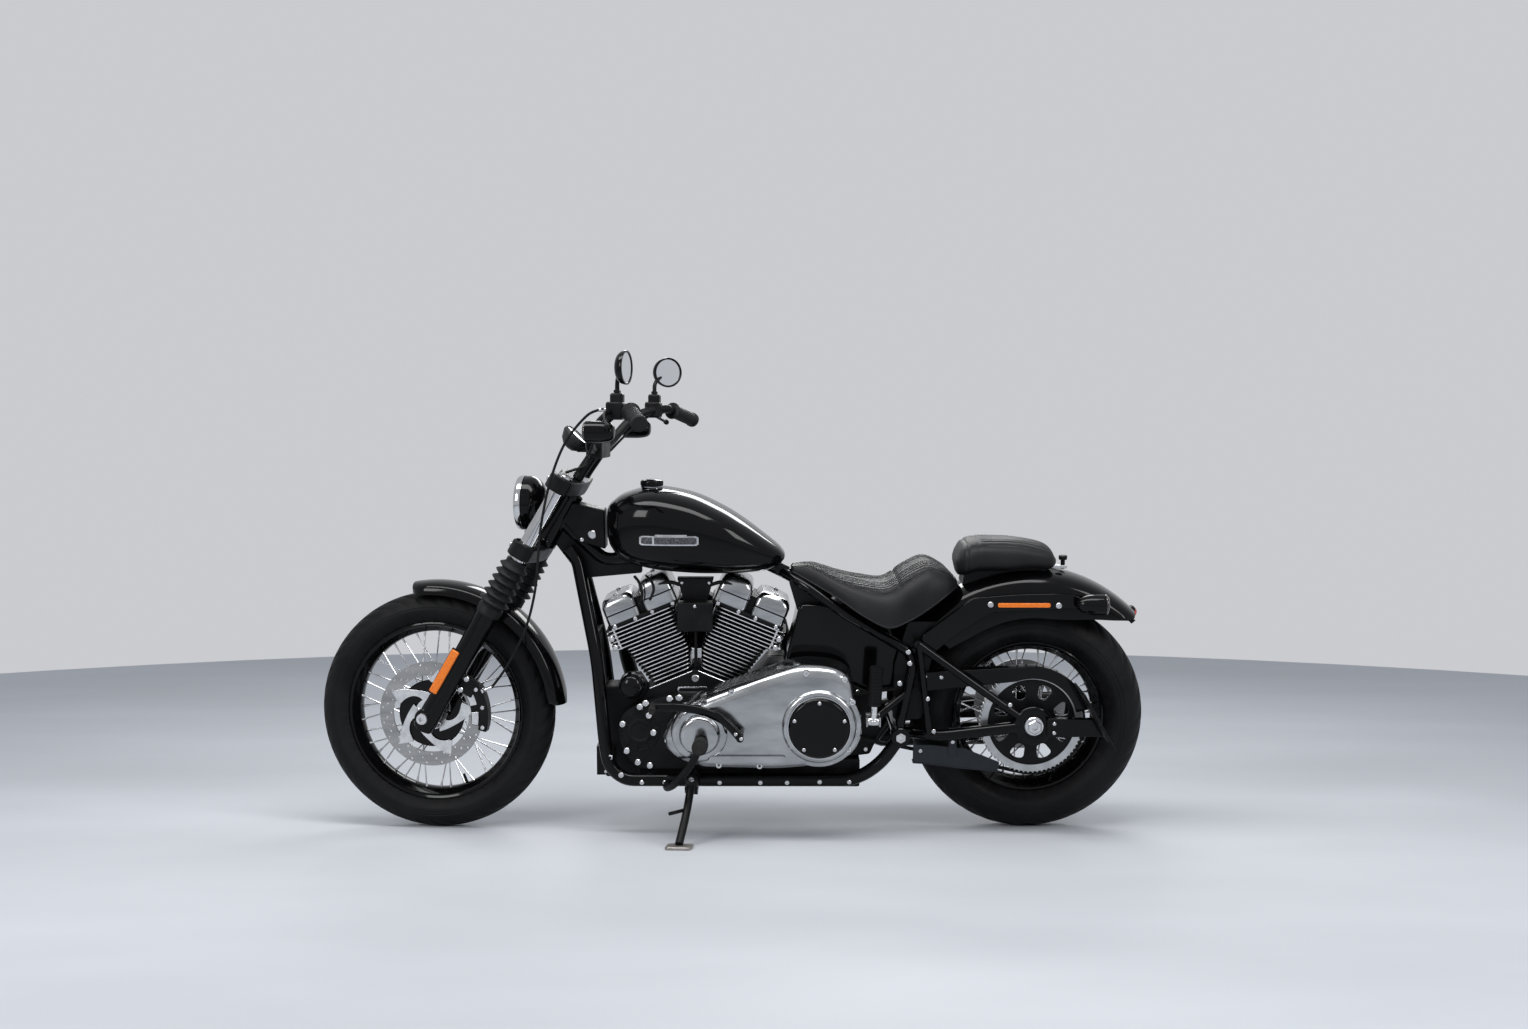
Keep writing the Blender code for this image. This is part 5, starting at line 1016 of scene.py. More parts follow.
INNER = [(CRANK.x - 0.205, 0.27), (CRANK.x - 0.208, 0.315), (CRANK.x - 0.193, 0.35),
    (CRANK.x - 0.158, 0.372), (CRANK.x - 0.055, 0.398), (CLUTCH.x - 0.085, 0.4), (CLUTCH.x - 0.085, 0.222),
    (CRANK.x + 0.087, 0.193), (CRANK.x - 0.153, 0.193), (CRANK.x - 0.185, 0.225)]
ribs = []
for k in range(10):
    a = math.radians(36 * k + 10)
    ribs.append(rod([(-0.337 + 0.03 * math.cos(a), -0.1112, 0.298 + 0.03 * math.sin(a)),
        (-0.337 + 0.052 * math.cos(a), -0.1112, 0.298 + 0.052 * math.sin(a))], 0.0026, 8))
put("inner_primary", together(plate(softened(INNER, 0.02), -0.1115, -0.0745),
    turned((-0.337, 0, 0.298), LEFT, [(0.11, 0.036), (0.1135, 0.034), (0.1145, 0.026), (0.1125, 0.024)],
    48), hoop(Vector((-0.337, 0, 0.298)), [(-0.11, 0.05), (-0.1128, 0.051), (-0.1128, 0.054),
    (-0.11, 0.055)], 64), *ribs), black_casting, "chassis", (), 38, 0.003)
put("inner_primary_bolts", bolts([(x, -0.1115, z) for x, z in ((-0.321, 0.376), (-0.337, 0.366),
    (-0.3124, 0.342), (-0.3004, 0.294), (-0.3732, 0.244), (-0.3432, 0.212), (-0.3104, 0.203),
    (-0.384, 0.318), (-0.256, 0.389), (-0.2304, 0.391))], LEFT, 0.0088, 0.0062), bright_steel, "chassis")
put("name_plate", plate(softened([(-0.236, 0.3975), (-0.1545, 0.3975), (-0.1545, 0.4145), (-0.236, 0.4145)],
    0.0085, 6), -0.0822, -0.0792), bright_steel, "chassis", (), 38, 0.0008)
put("name_plate_field", plate(softened([(-0.2315, 0.4015), (-0.159, 0.4015), (-0.159, 0.4105),
    (-0.2315, 0.4105)], 0.0045, 5), -0.0826, -0.0815), black_casting, "chassis")
put("v_bolt", bolts([(-0.187, -0.0795, 0.4375)], LEFT, 0.0105, 0.006), bright_steel, "chassis")
deck_edges = []
for tilt, *ends in ((-HALF_V, -0.066, 0.06), (HALF_V, -0.06, 0.066)):
    corners = [v_point(tilt, across, DECK) for across in ends]
    deck_edges.append(rod([(x, -0.08, z - 0.003) for x, z in corners], 0.0016, 8))
put("deck_edges", together(*deck_edges), polished_alloy, "chassis")

# The cylinders and heads. Black-painted aluminium, each cast with thin cooling fins whose rims are
# cut back to bright metal; they are clamped to the crankcase by long studs.

fin_black = finish("fin_black", (0.002, 0.002, 0.0022), (0.0045, 0.0045, 0.005), 0, (0.42, 0.56), 40.0,
    (800.0, 0.1), shine=0.1)
fin_bright = finish("fin_rims", (0.66, 0.66, 0.67), (0.86, 0.86, 0.87), 1.0, (0.2, 0.34), 90.0,
    (700.0, 0.03))
FINS = 17
BARREL_FINS = 11
PITCH = 0.0108
HEAD_FOOT = 0.3494


def standing(tilt):
    """Frame of one cylinder: z up its axis from the crankshaft, x across it."""
    return Matrix.Translation(CRANK) @ Matrix.Rotation(tilt, 4, "Y")


def pad(place, out, into, left, right, corner, z):
    """A rectangle with round corners, square to a cylinder."""
    xs = sorted((out, into))
    flat = softened([(xs[1], -left), (xs[1], right), (xs[0], right), (xs[0], -left)], corner)
    return [place @ Vector((x, y, z)) for x, y in flat]


HEADS = ((-HALF_V, -1, "front"), (HALF_V, 1, "rear"))
for tilt, out, word in HEADS:
    place = standing(tilt)
    fins = [skin([pad(place, 0.046 * out, -0.04 * out, 0.052, 0.052, 0.018, DECK + 0.0005),
        pad(place, 0.046 * out, -0.04 * out, 0.052, 0.052, 0.018, DECK + 0.006)])]
    edges = []
    for i in range(FINS):
        share = i / (BARREL_FINS - 1)
        outer = 0.122 if i >= BARREL_FINS else 0.0625 + 0.0275 * share
        inner = 0.08 if i >= BARREL_FINS else min(0.057 + 0.004 * i, 0.076)
        z = DECK + 0.0004 + i * PITCH
        fins.append(skin([pad(place, (outer - 0.02) * out, (0.016 - inner) * out, 0.053, 0.053, 0.016,
            z + h) for h in (0.0, PITCH)]))
        fins.append(skin([pad(place, (outer - 0.0006) * out, (0.0006 - inner) * out, 0.0714, 0.0714, 0.022,
            z + PITCH * h) for h in (0.64, 0.9)]))
        rims = []
        for inset, h in ((0.0, 0.66), (0.0, 0.88), (0.0015, 0.9), (0.0015, 0.64)):
            rims.append(pad(place, (outer - inset) * out, (inset - inner) * out, 0.072 - inset,
                0.072 - inset, 0.022, z + PITCH * h))
        edges.append(skin(rims, closed=True))
    put(f"cylinder_fins_{word}", together(*fins), fin_black, "chassis", [f"cylinder_{word}"], 30)
    put(f"fin_rims_{word}", together(*edges), fin_bright, "chassis", (), 30)
    stud = [place @ Vector((x * out, -0.0665, z)) for x, z in ((0.098, 0.29), (0.098, 0.352))]
    put(f"head_studs_{word}", together(bolts([place @ Vector((0.111 * out, -0.0705, 0.326)),
        place @ Vector((0.111 * out, -0.0705, 0.3))], LEFT, 0.008, 0.006), rod(stud, 0.004, 12)),
        bright_steel, "chassis")

# The rocker boxes. Polished cast aluminium in two steps over each head, the low box outside and
# the tall one toward the V, screwed down through black gaskets.

ROCKER_BASE = [(z, 0.1115, -0.0975, 0.07, 0.1015, 0.016) for z in (0.0, 0.01)]
LOW_STEP = (0.1075, 0.0125, 0.0655, 0.0995, 0.016)
LOW_GROOVE = (0.1055, 0.0145, 0.0635, 0.0975, 0.016)
LOW_COVER = [(0.009, *LOW_STEP), (0.034, *LOW_STEP), (0.0345, *LOW_GROOVE), (0.0375, *LOW_GROOVE),
    (0.038, *LOW_STEP), (0.06, 0.107, 0.013, 0.065, 0.099, 0.018),
    (0.071, 0.103, 0.017, 0.06, 0.095, 0.022), (0.0775, 0.097, 0.023, 0.054, 0.088, 0.024),
    (0.0798, 0.088, 0.032, 0.044, 0.078, 0.024)]
TALL_STEP = (-0.0025, -0.0955, 0.0665, 0.0975, 0.018)
TALL_GROOVE = (-0.0045, -0.0935, 0.0645, 0.0955, 0.018)
TALL_COVER = [(0.009, *TALL_STEP), (0.04, *TALL_STEP), (0.0405, *TALL_GROOVE), (0.0435, *TALL_GROOVE),
    (0.044, *TALL_STEP), (0.068, -0.003, -0.095, 0.066, 0.097, 0.02),
    (0.081, -0.008, -0.09, 0.061, 0.092, 0.026), (0.089, -0.015, -0.082, 0.053, 0.084, 0.028),
    (0.0918, -0.027, -0.07, 0.042, 0.072, 0.028)]
GASKETS = ([(z, 0.1062, 0.0138, 0.0642, 0.0982, 0.016) for z in (0.034, 0.038)],
    [(z, -0.0038, -0.0942, 0.0652, 0.0962, 0.018) for z in (0.04, 0.044)],
    [(z, 0.016, -0.006, 0.048, 0.08, 0.004) for z in (0.008, 0.056)])


def stepped(place, out, rows):
    """A cover over a head, from rows of height, reach out, reach in, left, right and corner."""
    return skin([pad(place, far * out, near * out, left, right, corner, HEAD_FOOT + z)
        for z, far, near, left, right, corner in rows])


for tilt, out, word in HEADS:
    place = standing(tilt)
    put(f"rocker_base_{word}", stepped(place, out, ROCKER_BASE), black_casting, "chassis", (), 38, 0.002)
    put(f"rocker_covers_{word}", together(stepped(place, out, LOW_COVER), stepped(place, out, TALL_COVER)),
        polished_alloy, "chassis", [f"rocker_box_{word}"], 30)
    gaps = [stepped(place, out, rows) for rows in GASKETS]
    put(f"rocker_gaskets_{word}", together(*gaps), black_casting, "chassis")
    put(f"rocker_screws_{word}", together(bolts([place @ Vector((x * out, -0.07, HEAD_FOOT + 0.005))
        for x in (0.09, 0.03, -0.02, -0.08)], LEFT, 0.0058, 0.004),
        bolts([place @ Vector((x * out, y, HEAD_FOOT + z)) for x, y, z in ((0.06, -0.03, 0.0796),
        (0.06, 0.06, 0.0796), (-0.048, -0.028, 0.0916), (-0.048, 0.058, 0.0916))], place.to_3x3() @ UP,
        0.0065, 0.004)), bright_steel, "chassis")

# Between the cylinders. A black ignition coil box stands on a post, under a forked bracket that
# ties both heads to the frame, with four short breather hoses.

put("coil_box", together(box(CRANK.x - 0.0475, CRANK.x + 0.0475, -0.1175, -0.0745, 0.5735, 0.6525),
    box(CRANK.x - 0.01, CRANK.x + 0.01, -0.1178, -0.1, 0.6, 0.64)), black_casting, "chassis", (), 38, 0.004)
put("coil_bracket", together(box(CRANK.x - 0.004, CRANK.x + 0.004, -0.06, -0.03, 0.455, 0.59),
    plate([(CRANK.x - 0.04, 0.628), (CRANK.x + 0.04, 0.628), (CRANK.x + 0.024, 0.575),
    (CRANK.x - 0.024, 0.575)], -0.08, -0.02), plate([(CRANK.x - 0.05, 0.71), (CRANK.x + 0.05, 0.71),
    (CRANK.x + 0.026, 0.625), (CRANK.x - 0.026, 0.625)], -0.056, -0.024)), satin_black, "chassis", (), 38,
    0.003)
put("coil_bolts", bolts([(CRANK.x, -0.1176, 0.6435), (CRANK.x - 0.037, -0.0565, 0.697),
    (CRANK.x + 0.037, -0.0565, 0.697)], LEFT, 0.0042, 0.003), bright_steel, "chassis")
hoses = []
for side in (-1, 1):
    hoses.append(rod(smooth([(CRANK.x + side * 0.04, -0.05, 0.69), (CRANK.x + side * 0.072, -0.062, 0.7),
        (CRANK.x + side * 0.11, -0.06, 0.69), (CRANK.x + side * 0.128, -0.058, 0.676)], 0.008), 0.0052, 12))
hoses.append(rod(smooth([(-0.352, -0.06, 0.715), (-0.338, -0.075, 0.7), (-0.33, -0.08, 0.668),
    (-0.338, -0.074, 0.64)], 0.008), 0.004, 12))
hoses.append(rod(smooth([(-0.322, -0.05, 0.716), (-0.306, -0.066, 0.702), (-0.3, -0.074, 0.68),
    (-0.31, -0.074, 0.652)], 0.008), 0.0032, 12))
put("breather_hoses", together(*hoses), black_hose, "chassis")

# The primary drive. A long polished aluminium cover over the chain and clutch, with a stepped boss
# at the crankshaft, a raised ring at the clutch and a gloss-black derby cover on five screws.

PRIMARY = [(CRANK.x - 0.082, 0.318), (CRANK.x - 0.053, 0.369), (CRANK.x + 0.01, 0.4085),
    (CRANK.x + 0.076, 0.435), (CRANK.x + 0.153, 0.464), (CLUTCH.x - 0.105, 0.49), (CLUTCH.x - 0.05, 0.507),
    (CLUTCH.x + 0.037, 0.503), (CLUTCH.x + 0.085, 0.479), (CLUTCH.x + 0.1, 0.42), (CLUTCH.x + 0.106, 0.335),
    (CLUTCH.x + 0.094, 0.275), (CLUTCH.x + 0.052, 0.24), (CLUTCH.x - 0.034, 0.226),
    (CLUTCH.x - 0.121, 0.22), (CRANK.x + 0.01, 0.2255), (CRANK.x - 0.053, 0.252), (CRANK.x - 0.078, 0.283)]
primary_line = softened(PRIMARY, 0.03, 5)


def drawn_in(outline, by, at=(0.0, 0.36)):
    """The outline moved inwards by a little, square to itself."""
    out = []
    count = len(outline)
    for i in range(count):
        a = Vector(outline[i - 2])
        b = Vector(outline[(i + 2) % count])
        run = (b - a).normalized()
        inward = Vector((-run.y, run.x))
        if inward.dot(Vector(at) - Vector(outline[i])) < 0:
            inward = -inward
        out.append((outline[i][0] + inward.x * by, outline[i][1] + inward.y * by))
    return out


rows = [(-0.1125, 0.0), (-0.196, 0.0), (-0.206, 0.0015), (-0.216, 0.006), (-0.224, 0.013), (-0.2295, 0.022),
    (-0.2318, 0.032)]
shell = []
for y, by in rows:
    line = drawn_in(primary_line, by) if by else primary_line
    shell.append([Vector((x, y, z)) for x, z in line])
put("primary_shell", together(skin(shell), turned((CRANK.x + 0.017, 0, 0.322), LEFT,
    on_line([(0.222, 0.078), (0.23, 0.0745), (0.235, 0.07), (0.2375, 0.064), (0.238, 0.056)], 3)
    + on_line([(0.238, 0.055), (0.247, 0.0525), (0.2545, 0.047), (0.2575, 0.038)], 3), 80),
    turned(CLUTCH, LEFT, [(0.205, 0.102)] + on_line([(0.222, 0.101), (0.232, 0.0985), (0.2385, 0.0945),
    (0.2418, 0.0895), (0.242, 0.085)], 3), 96), skin([[(x, y, z)
    for x, z in softened([(-0.15, 0.248), (0.052, 0.248), (0.058, 0.26), (0.05, 0.264), (-0.142, 0.264)],
    0.004, 3)] for y in (-0.226, -0.2385)]), turned(CLUTCH, LEFT,
    [(0.2, 0.116), (0.215, 0.115), (0.223, 0.111), (0.227, 0.104)], 96)), polished_alloy, "chassis",
    ["primary_cover"], 32)
put("primary_screws", together(bolts([(0.11, -0.226, 0.4875), (0.212, -0.222, 0.47), (0.233, -0.22, 0.408),
    (0.238, -0.219, 0.33), (0.224, -0.218, 0.28), (0.176, -0.216, 0.248), (-0.012, -0.216, 0.234),
    (-0.12, -0.216, 0.236), (-0.256, -0.205, 0.3), (-0.23, -0.208, 0.362), (-0.158, -0.216, 0.404),
    (-0.086, -0.216, 0.432)], LEFT, 0.0092, 0.01, 0.42)), bright_steel, "chassis")
put("derby_plate", turned(CLUTCH, LEFT, [(0.2422, 0.081), (0.249, 0.081)]
    + on_line([(0.25, 0.08), (0.2545, 0.0765), (0.257, 0.069), (0.2576, 0.05), (0.2578, 0.006)], 3), 96),
    black_paint, "chassis", ["derby_cover"], 35)
put("derby_screws", bolts([about(CLUTCH, 0.069, 90 + 72 * k, -0.256) for k in range(5)], LEFT, 0.005,
    0.0036), bright_steel, "chassis")
put("derby_ring", hoop(CLUTCH, [(-0.2424, 0.0815), (-0.2485, 0.082), (-0.2485, 0.0838), (-0.2424, 0.085)],
    96), chrome, "chassis")
put("primary_link", rod([(-0.098, -0.118, 0.42), (0.003, -0.118, 0.447)], 0.0062, 16), satin_black,
    "chassis")
put("primary_link_ends", together(rod([(-0.112, -0.116, 0.415), (-0.094, -0.118, 0.421)], 0.009, 16),
    rod([(-0.004, -0.118, 0.4452), (0.016, -0.116, 0.4505)], 0.009, 16),
    bolts([(-0.106, -0.112, 0.415), (0.011, -0.112, 0.449)], LEFT, 0.01, 0.016, 0.4, 6)), bright_steel,
    "chassis")

# The cam side. A polished cam cover with four chromed pushrod tubes up to the heads, and a round
# black air cleaner with a dished lid on the inlet between them.

CAM = [(CRANK.x + x, z) for x, z in ((-0.113, 0.29), (-0.103, 0.35), (-0.063, 0.398), (0.0, 0.412),
    (0.067, 0.398), (0.157, 0.35), (0.207, 0.3), (0.197, 0.24), (0.127, 0.212), (-0.043, 0.212),
    (-0.098, 0.24))]
cam_line = softened(CAM, 0.03, 5)
put("cam_shell", together(skin([[Vector((x, y, z)) for x, z in (drawn_in(cam_line, by,
    (CRANK.x + 0.04, 0.31)) if by else cam_line)] for y, by in ((0.0804, 0), (0.118, 0), (0.126, 0.002),
    (0.132, 0.007), (0.1355, 0.015))]), turned((CRANK.x + 0.01, 0.13, 0.318), RIGHT,
    [(0.0, 0.044), (0.008, 0.042), (0.01, 0.036), (0.0065, 0.034)], 64)), polished_alloy, "chassis",
    ["cam_cover"], 32)
put("cam_screws", bolts([(CRANK.x + x, 0.1345, z) for x, z in ((-0.092, 0.3), (-0.084, 0.35),
    (-0.05, 0.384), (0.0, 0.395), (0.056, 0.384), (0.142, 0.338), (0.184, 0.298), (0.176, 0.252),
    (0.116, 0.232), (0.03, 0.23), (-0.04, 0.232))], RIGHT, 0.0055, 0.004), bright_steel, "chassis")
tubes = []
for tilt in (-HALF_V, HALF_V):
    place = standing(tilt)
    for x in (-0.02, 0.02):
        low = place @ Vector((x * 0.7, 0.088, 0.1))
        high = place @ Vector((x, 0.088, HEAD_FOOT - 0.0006))
        tubes.append(rod([low, high], 0.0078, 20))
        tubes.append(rod([low, low.lerp(high, 0.1)], 0.0105, 20))
        tubes.append(rod([low.lerp(high, 0.52), low.lerp(high, 0.6)], 0.0098, 20))
        tubes.append(rod([low.lerp(high, 0.93), high], 0.0102, 20))
put("pushrod_tubes", together(*tubes), chrome, "chassis")
cleaner = Vector((CRANK.x, 0, CRANK.z + 0.275))
put("air_cleaner_body", together(turned(cleaner, RIGHT, [(0.104, 0.072), (0.108, 0.08), (0.112, 0.0818),
    (0.146, 0.0818), (0.15, 0.08)], 96), turned((CRANK.x, 0, CRANK.z + 0.305), RIGHT,
    [(-0.0195, 0.0218), (0.11, 0.0218)], 32)), black_casting, "chassis", ["air_cleaner"], 35)
put("air_cleaner_lid", turned(cleaner, RIGHT, [(0.149, 0.0818), (0.158, 0.0818)]
    + on_line([(0.16, 0.0808), (0.166, 0.0745), (0.1695, 0.064), (0.168, 0.056), (0.1655, 0.05),
    (0.1655, 0.02), (0.168, 0.014), (0.169, 0.004)], 3), 96), black_paint, "chassis", (), 40)
put("air_cleaner_screws", bolts([cleaner + Vector((0.034 * math.cos(a), 0.1655, 0.034 * math.sin(a)))
    for a in (0.5, 2.6, 4.7)], RIGHT, 0.0058, 0.003), bright_steel, "chassis")

# Oil. A gloss-black spin-on filter on its boss before the crankcase, a small cooler behind the
# downtubes with thin fins, a regulator box under it, and the black tank behind the rear cylinder.

put("oil_filter_can", turned((-0.36, -0.06, 0.42), LEFT, [(0.0005, 0.025), (0.0035, 0.0335),
    (0.005, 0.0345), (0.006, 0.0332), (0.038, 0.0338)] + on_line([(0.042, 0.0342), (0.0535, 0.0305),
    (0.0615, 0.0215), (0.066, 0.01), (0.0668, 0.002)], 4), 72), black_paint, "chassis", ["oil_filter"], 40)
cooler = [rod([(-0.4443, -0.083, 0.4), (-0.4443, 0.083, 0.4)], 0.006, 16)]
COOLER_FINS = 34
for k in range(COOLER_FINS):
    t = (k + 0.5) / COOLER_FINS
    x = -0.478 + 0.02 * t
    z = 0.557 - 0.254 * t
    cooler.append(box(x + 0.0005, x + 0.0255, -0.05, 0.05, z - 0.0011, z + 0.0011))
put("oil_cooler_fins", together(*cooler), black_casting, "chassis", ["oil_cooler"])
put("oil_cooler_frame", together(*[plate([(-0.478, 0.56), (-0.452, 0.56), (-0.432, 0.3), (-0.458, 0.3)], y,
    y + 0.004) for y in (-0.052, 0.048)], box(-0.477, -0.452, -0.052, 0.052, 0.555, 0.56),
    box(-0.458, -0.434, -0.052, 0.052, 0.3, 0.305)), satin_black, "chassis", (), 38, 0.001)
put("regulator_box", together(box(-0.452, -0.444, -0.02, 0.02, 0.2, 0.31),
    box(-0.4615, -0.4125, -0.0545, 0.0545, 0.1585, 0.2395), *[box(-0.4618, -0.459, -0.05 + 0.0125 * k,
    -0.046 + 0.0125 * k, 0.165, 0.233) for k in range(9)]), satin_black, "chassis", (), 38, 0.003)
put("regulator_screws", bolts([(-0.437, -0.0545, z) for z in (0.168, 0.23)], LEFT, 0.0045, 0.003),
    bright_steel, "chassis")
OIL_TANK = [(CRANK.x + 0.249, 0.4355), (DRIVE_X - 0.01, 0.4355), (PIVOT.x - 0.068, 0.3955),
    (PIVOT.x - 0.018, 0.41), (PIVOT.x + 0.004, 0.52), (PIVOT.x - 0.028, 0.585), (PIVOT.x - 0.068, 0.625),
    (PIVOT.x - 0.138, 0.642), (CRANK.x + 0.29, 0.642), (CRANK.x + 0.279, 0.63), (CRANK.x + 0.265, 0.565),
    (CRANK.x + 0.249, 0.51)]
put("oil_tank_shell", plate(softened(OIL_TANK, 0.014), -0.0798, 0.0798), black_paint, "chassis",
    ["oil_tank"], 38, 0.01)
put("oil_tank_cap", turned((0.19, 0.0798, 0.6), RIGHT, [(0, 0.02), (0.006, 0.02), (0.008, 0.016)], 32),
    satin_black, "chassis")

# The fuel tank. Deep-drawn steel in gloss black, a teardrop over the backbone, seamed along its
# lower edge, with a knurled filler cap and a bare bright badge strip on each side.

TANK = ((-0.426, 0.812, 0.9, 0.05), (-0.414, 0.787, 0.914, 0.08), (-0.379, 0.756, 0.936, 0.118),
    (-0.3, 0.735, 0.953, 0.146), (-0.2, 0.725, 0.937, 0.15), (-0.12, 0.722, 0.903, 0.14),
    (-0.06, 0.722, 0.868, 0.122), (0.005, 0.728, 0.82, 0.092), (0.04, 0.742, 0.792, 0.064),
    (0.054, 0.756, 0.776, 0.04))


def smooth_table(rows, steps):
    """Smooth rows through the rows of a table, column by column."""
    return [list(row) for row in zip(*[curve(column, steps) for column in zip(*rows)])]


def soft_ring(x, low, high, half, count, flat):
    """A soft rectangle square to the machine's length."""
    ring = []
    for i in range(count):
        a = 2 * math.pi * (i + 0.5) / count
        c = math.cos(a)
        s = math.sin(a)
        ring.append(Vector((x, half * math.copysign(abs(c) ** flat, c),
            (low + high) / 2 + (high - low) / 2 * math.copysign(abs(s) ** flat, s))))
    return ring


def tank_flat(x):
    """How square the tank's section is: round at the nose and tail, fuller at the knees."""
    return 0.66 + 0.1 * max(0.0, (x + 0.1) / 0.16) + 0.1 * max(0.0, (-0.36 - x) / 0.07)


tank_rows = smooth_table(TANK, 8)
nose = [[-0.429, 0.85, 0.864, 0.01], [-0.4285, 0.838, 0.876, 0.026]]
tail = [[0.0565, 0.762, 0.771, 0.02], [0.057, 0.765, 0.768, 0.006]]
put("fuel_tank_shell", skin([soft_ring(x, low, high, half, 72, tank_flat(x))
    for x, low, high, half in nose + tank_rows + tail]), black_paint, "chassis", ["fuel_tank"], 75)
seam = []
for x, low, high, half in tank_rows[6:-6]:
    seam.append([Vector((x, y, z)) for y, z in ((-half * 0.86, low + 0.02), (-half * 0.885, low + 0.016),
        (-half * 0.86, low + 0.012))])
put("fuel_tank_seam", together(skin(seam), mirrored(skin(seam), -1)), black_paint, "chassis", (), 50)
cap_at = Vector((-0.307, 0, 0.9525))
knurl = []
for k in range(24):
    a = 2 * math.pi * k / 24
    knurl.append(rod([cap_at + Vector((0.0298 * math.cos(a), 0.0298 * math.sin(a), 0.005)),
        cap_at + Vector((0.0298 * math.cos(a), 0.0298 * math.sin(a), 0.016))], 0.0014, 8))
put("filler_cap", together(turned(cap_at, UP, [(-0.004, 0.028), (0.003, 0.03), (0.016, 0.03),
    (0.0185, 0.0285), (0.02, 0.024), (0.0205, 0.012), (0.0215, 0.01), (0.0215, 0.001)], 64), *knurl),
    black_paint, "chassis", ["fuel_cap"], 35)
cap_ring = put("filler_cap_ring", hoop(Vector((0, 0, 0)), [(0, 0.0285), (0.0012, 0.031), (0.003, 0.031),
    (0.003, 0.0285)], 64), chrome, "chassis")
cap_ring.data.transform(Matrix.Translation(cap_at) @ Matrix.Rotation(math.radians(90), 4, "X"))


def tank_side(x, z):
    """Half the tank's width at a height on its side."""
    row = min(tank_rows, key=lambda r: abs(r[0] - x))
    low, high, half = row[1:]
    s = min(0.999, abs((z - (low + high) / 2) / ((high - low) / 2)))
    flat = tank_flat(x)
    return half * math.sqrt(max(0.0, 1 - s ** (2 / flat))) ** flat


def badge(z0, z1, proud, x0=-0.332, x1=-0.174, steps=24):
    """A strip that follows the tank's side."""
    rings = []
    for k in range(steps + 1):
        x = x0 + (x1 - x0) * k / steps
        drop = 0.0 if 0 < k < steps else (z1 - z0) * 0.14
        mid = (z0 + z1) / 2
        rings.append([Vector((x, -tank_side(x, z) - out, z)) for z, out in ((z0 + drop, -0.003),
            (z0 + drop, proud), (mid, proud + 0.0006), (z1 - drop, proud), (z1 - drop, -0.003))])
    return skin(rings)


for side, word in ((1, "left"), (-1, "right")):
    put(f"tank_badge_{word}", mirrored(together(badge(0.813, 0.8385, 0.004),
        badge(0.8385, 0.842, 0.003, -0.29, -0.205)), side), bright_steel, "chassis", (), 40)
    put(f"tank_badge_field_{word}", mirrored(badge(0.8165, 0.835, 0.0046, -0.327, -0.179), side),
        finish(f"badge_enamel_{word}", (0.03, 0.031, 0.034), (0.16, 0.16, 0.17), 0.8, (0.26, 0.38), 260.0,
        (900.0, 0.6)), "chassis", (), 40)

# The solo seat. Moulded foam on a steel pan under black vinyl, tucked and rolled in lengthwise
# ribs over the dish and the rear bolster, with plain side panels sewn on below them.

vinyl = finish("seat_vinyl", (0.005, 0.005, 0.0056), (0.0105, 0.0105, 0.0115), 0, (0.42, 0.56), 7.0,
    (520.0, 0.2), cells=True, shine=0.2)
thread = finish("seat_thread", (0.02, 0.02, 0.022), (0.036, 0.036, 0.038), 0, (0.6, 0.7), 90.0,
    (900.0, 0.4), shine=0.3)
SEAT = ((0.0, 0.722, 0.741, 0.034), (0.118, 0.697, 0.745, 0.066), (0.277, 0.662, 0.72, 0.114),
    (0.424, 0.622, 0.705, 0.148), (0.571, 0.594, 0.7, 0.164), (0.696, 0.612, 0.736, 0.166),
    (0.821, 0.645, 0.76, 0.158), (0.934, 0.678, 0.738, 0.132), (1.0, 0.692, 0.71, 0.09))
BEND = 0.64
RIB = 0.019
SEAT_STEPS = 240


def seat_point(x, low, high, half, t):
    """A point of the section: t runs from one lower edge over the top to the other."""
    a = math.pi * t
    c = -math.cos(a)
    s = math.sin(a)
    y = half * 1.02 * math.copysign(abs(c) ** 0.55, c)
    z = low + (high - low) * abs(s) ** 0.62
    dish = 0.005 * max(0.0, 1 - (y / (half * 0.75)) ** 2)
    return Vector((x, y, z - dish))


def sewn_edge(share, half):
    """How far out the ribs end in a seam."""
    return half * (0.8 - 0.1 * abs(share - 0.55))


def seat_relief(point, share, half):
    """How far the sewn channels draw the cover in at a point."""
    edge = sewn_edge(share, half)
    y = abs(point.y)
    depth = 0.0
    if y < edge:
        near = (y / RIB) % 1.0
        near = min(near, 1 - near)
        depth = 0.005 * math.exp(-(near * RIB / 0.0026) ** 2)
    depth += 0.0056 * math.exp(-((y - edge) / 0.0032) ** 2)
    if y < edge:
        depth += 0.006 * math.exp(-((share - BEND) * 0.441 / 0.0035) ** 2)
    return depth


seat_rings = []
seat_front = [[-0.012, 0.727, 0.735, 0.018]]
seat_back = [[1.012, 0.697, 0.704, 0.055], [1.016, 0.699, 0.701, 0.03]]
seat_rows = smooth_table(SEAT, 18)
for share, low, high, half in seat_front + seat_rows + seat_back:
    x = along_seat(share)
    ring = []
    for k in range(SEAT_STEPS + 1):
        p = seat_point(x, low, high, half, k / SEAT_STEPS)
        top = min(1.0, max(0.0, (p.z - low) / max(high - low, 0.004) * 1.6 - 0.35))
        wrinkle = 0.0012 * noise.noise(Vector((share * 9, p.y * 14, 0.3))) * (1 - 0.5 * top)
        p.z -= seat_relief(p, share, half) * top * min(1.0, 6 * share, 6 * (1.02 - share)) - wrinkle
        ring.append(p)
    under = max(low + 0.004, high - 0.05)
    ring += [Vector((x, half - min(0.018, half * 0.3), low)), Vector((x, half * 0.55, under)),
        Vector((x, -half * 0.55, under)), Vector((x, -half + min(0.018, half * 0.3), low))]
    seat_rings.append(ring)
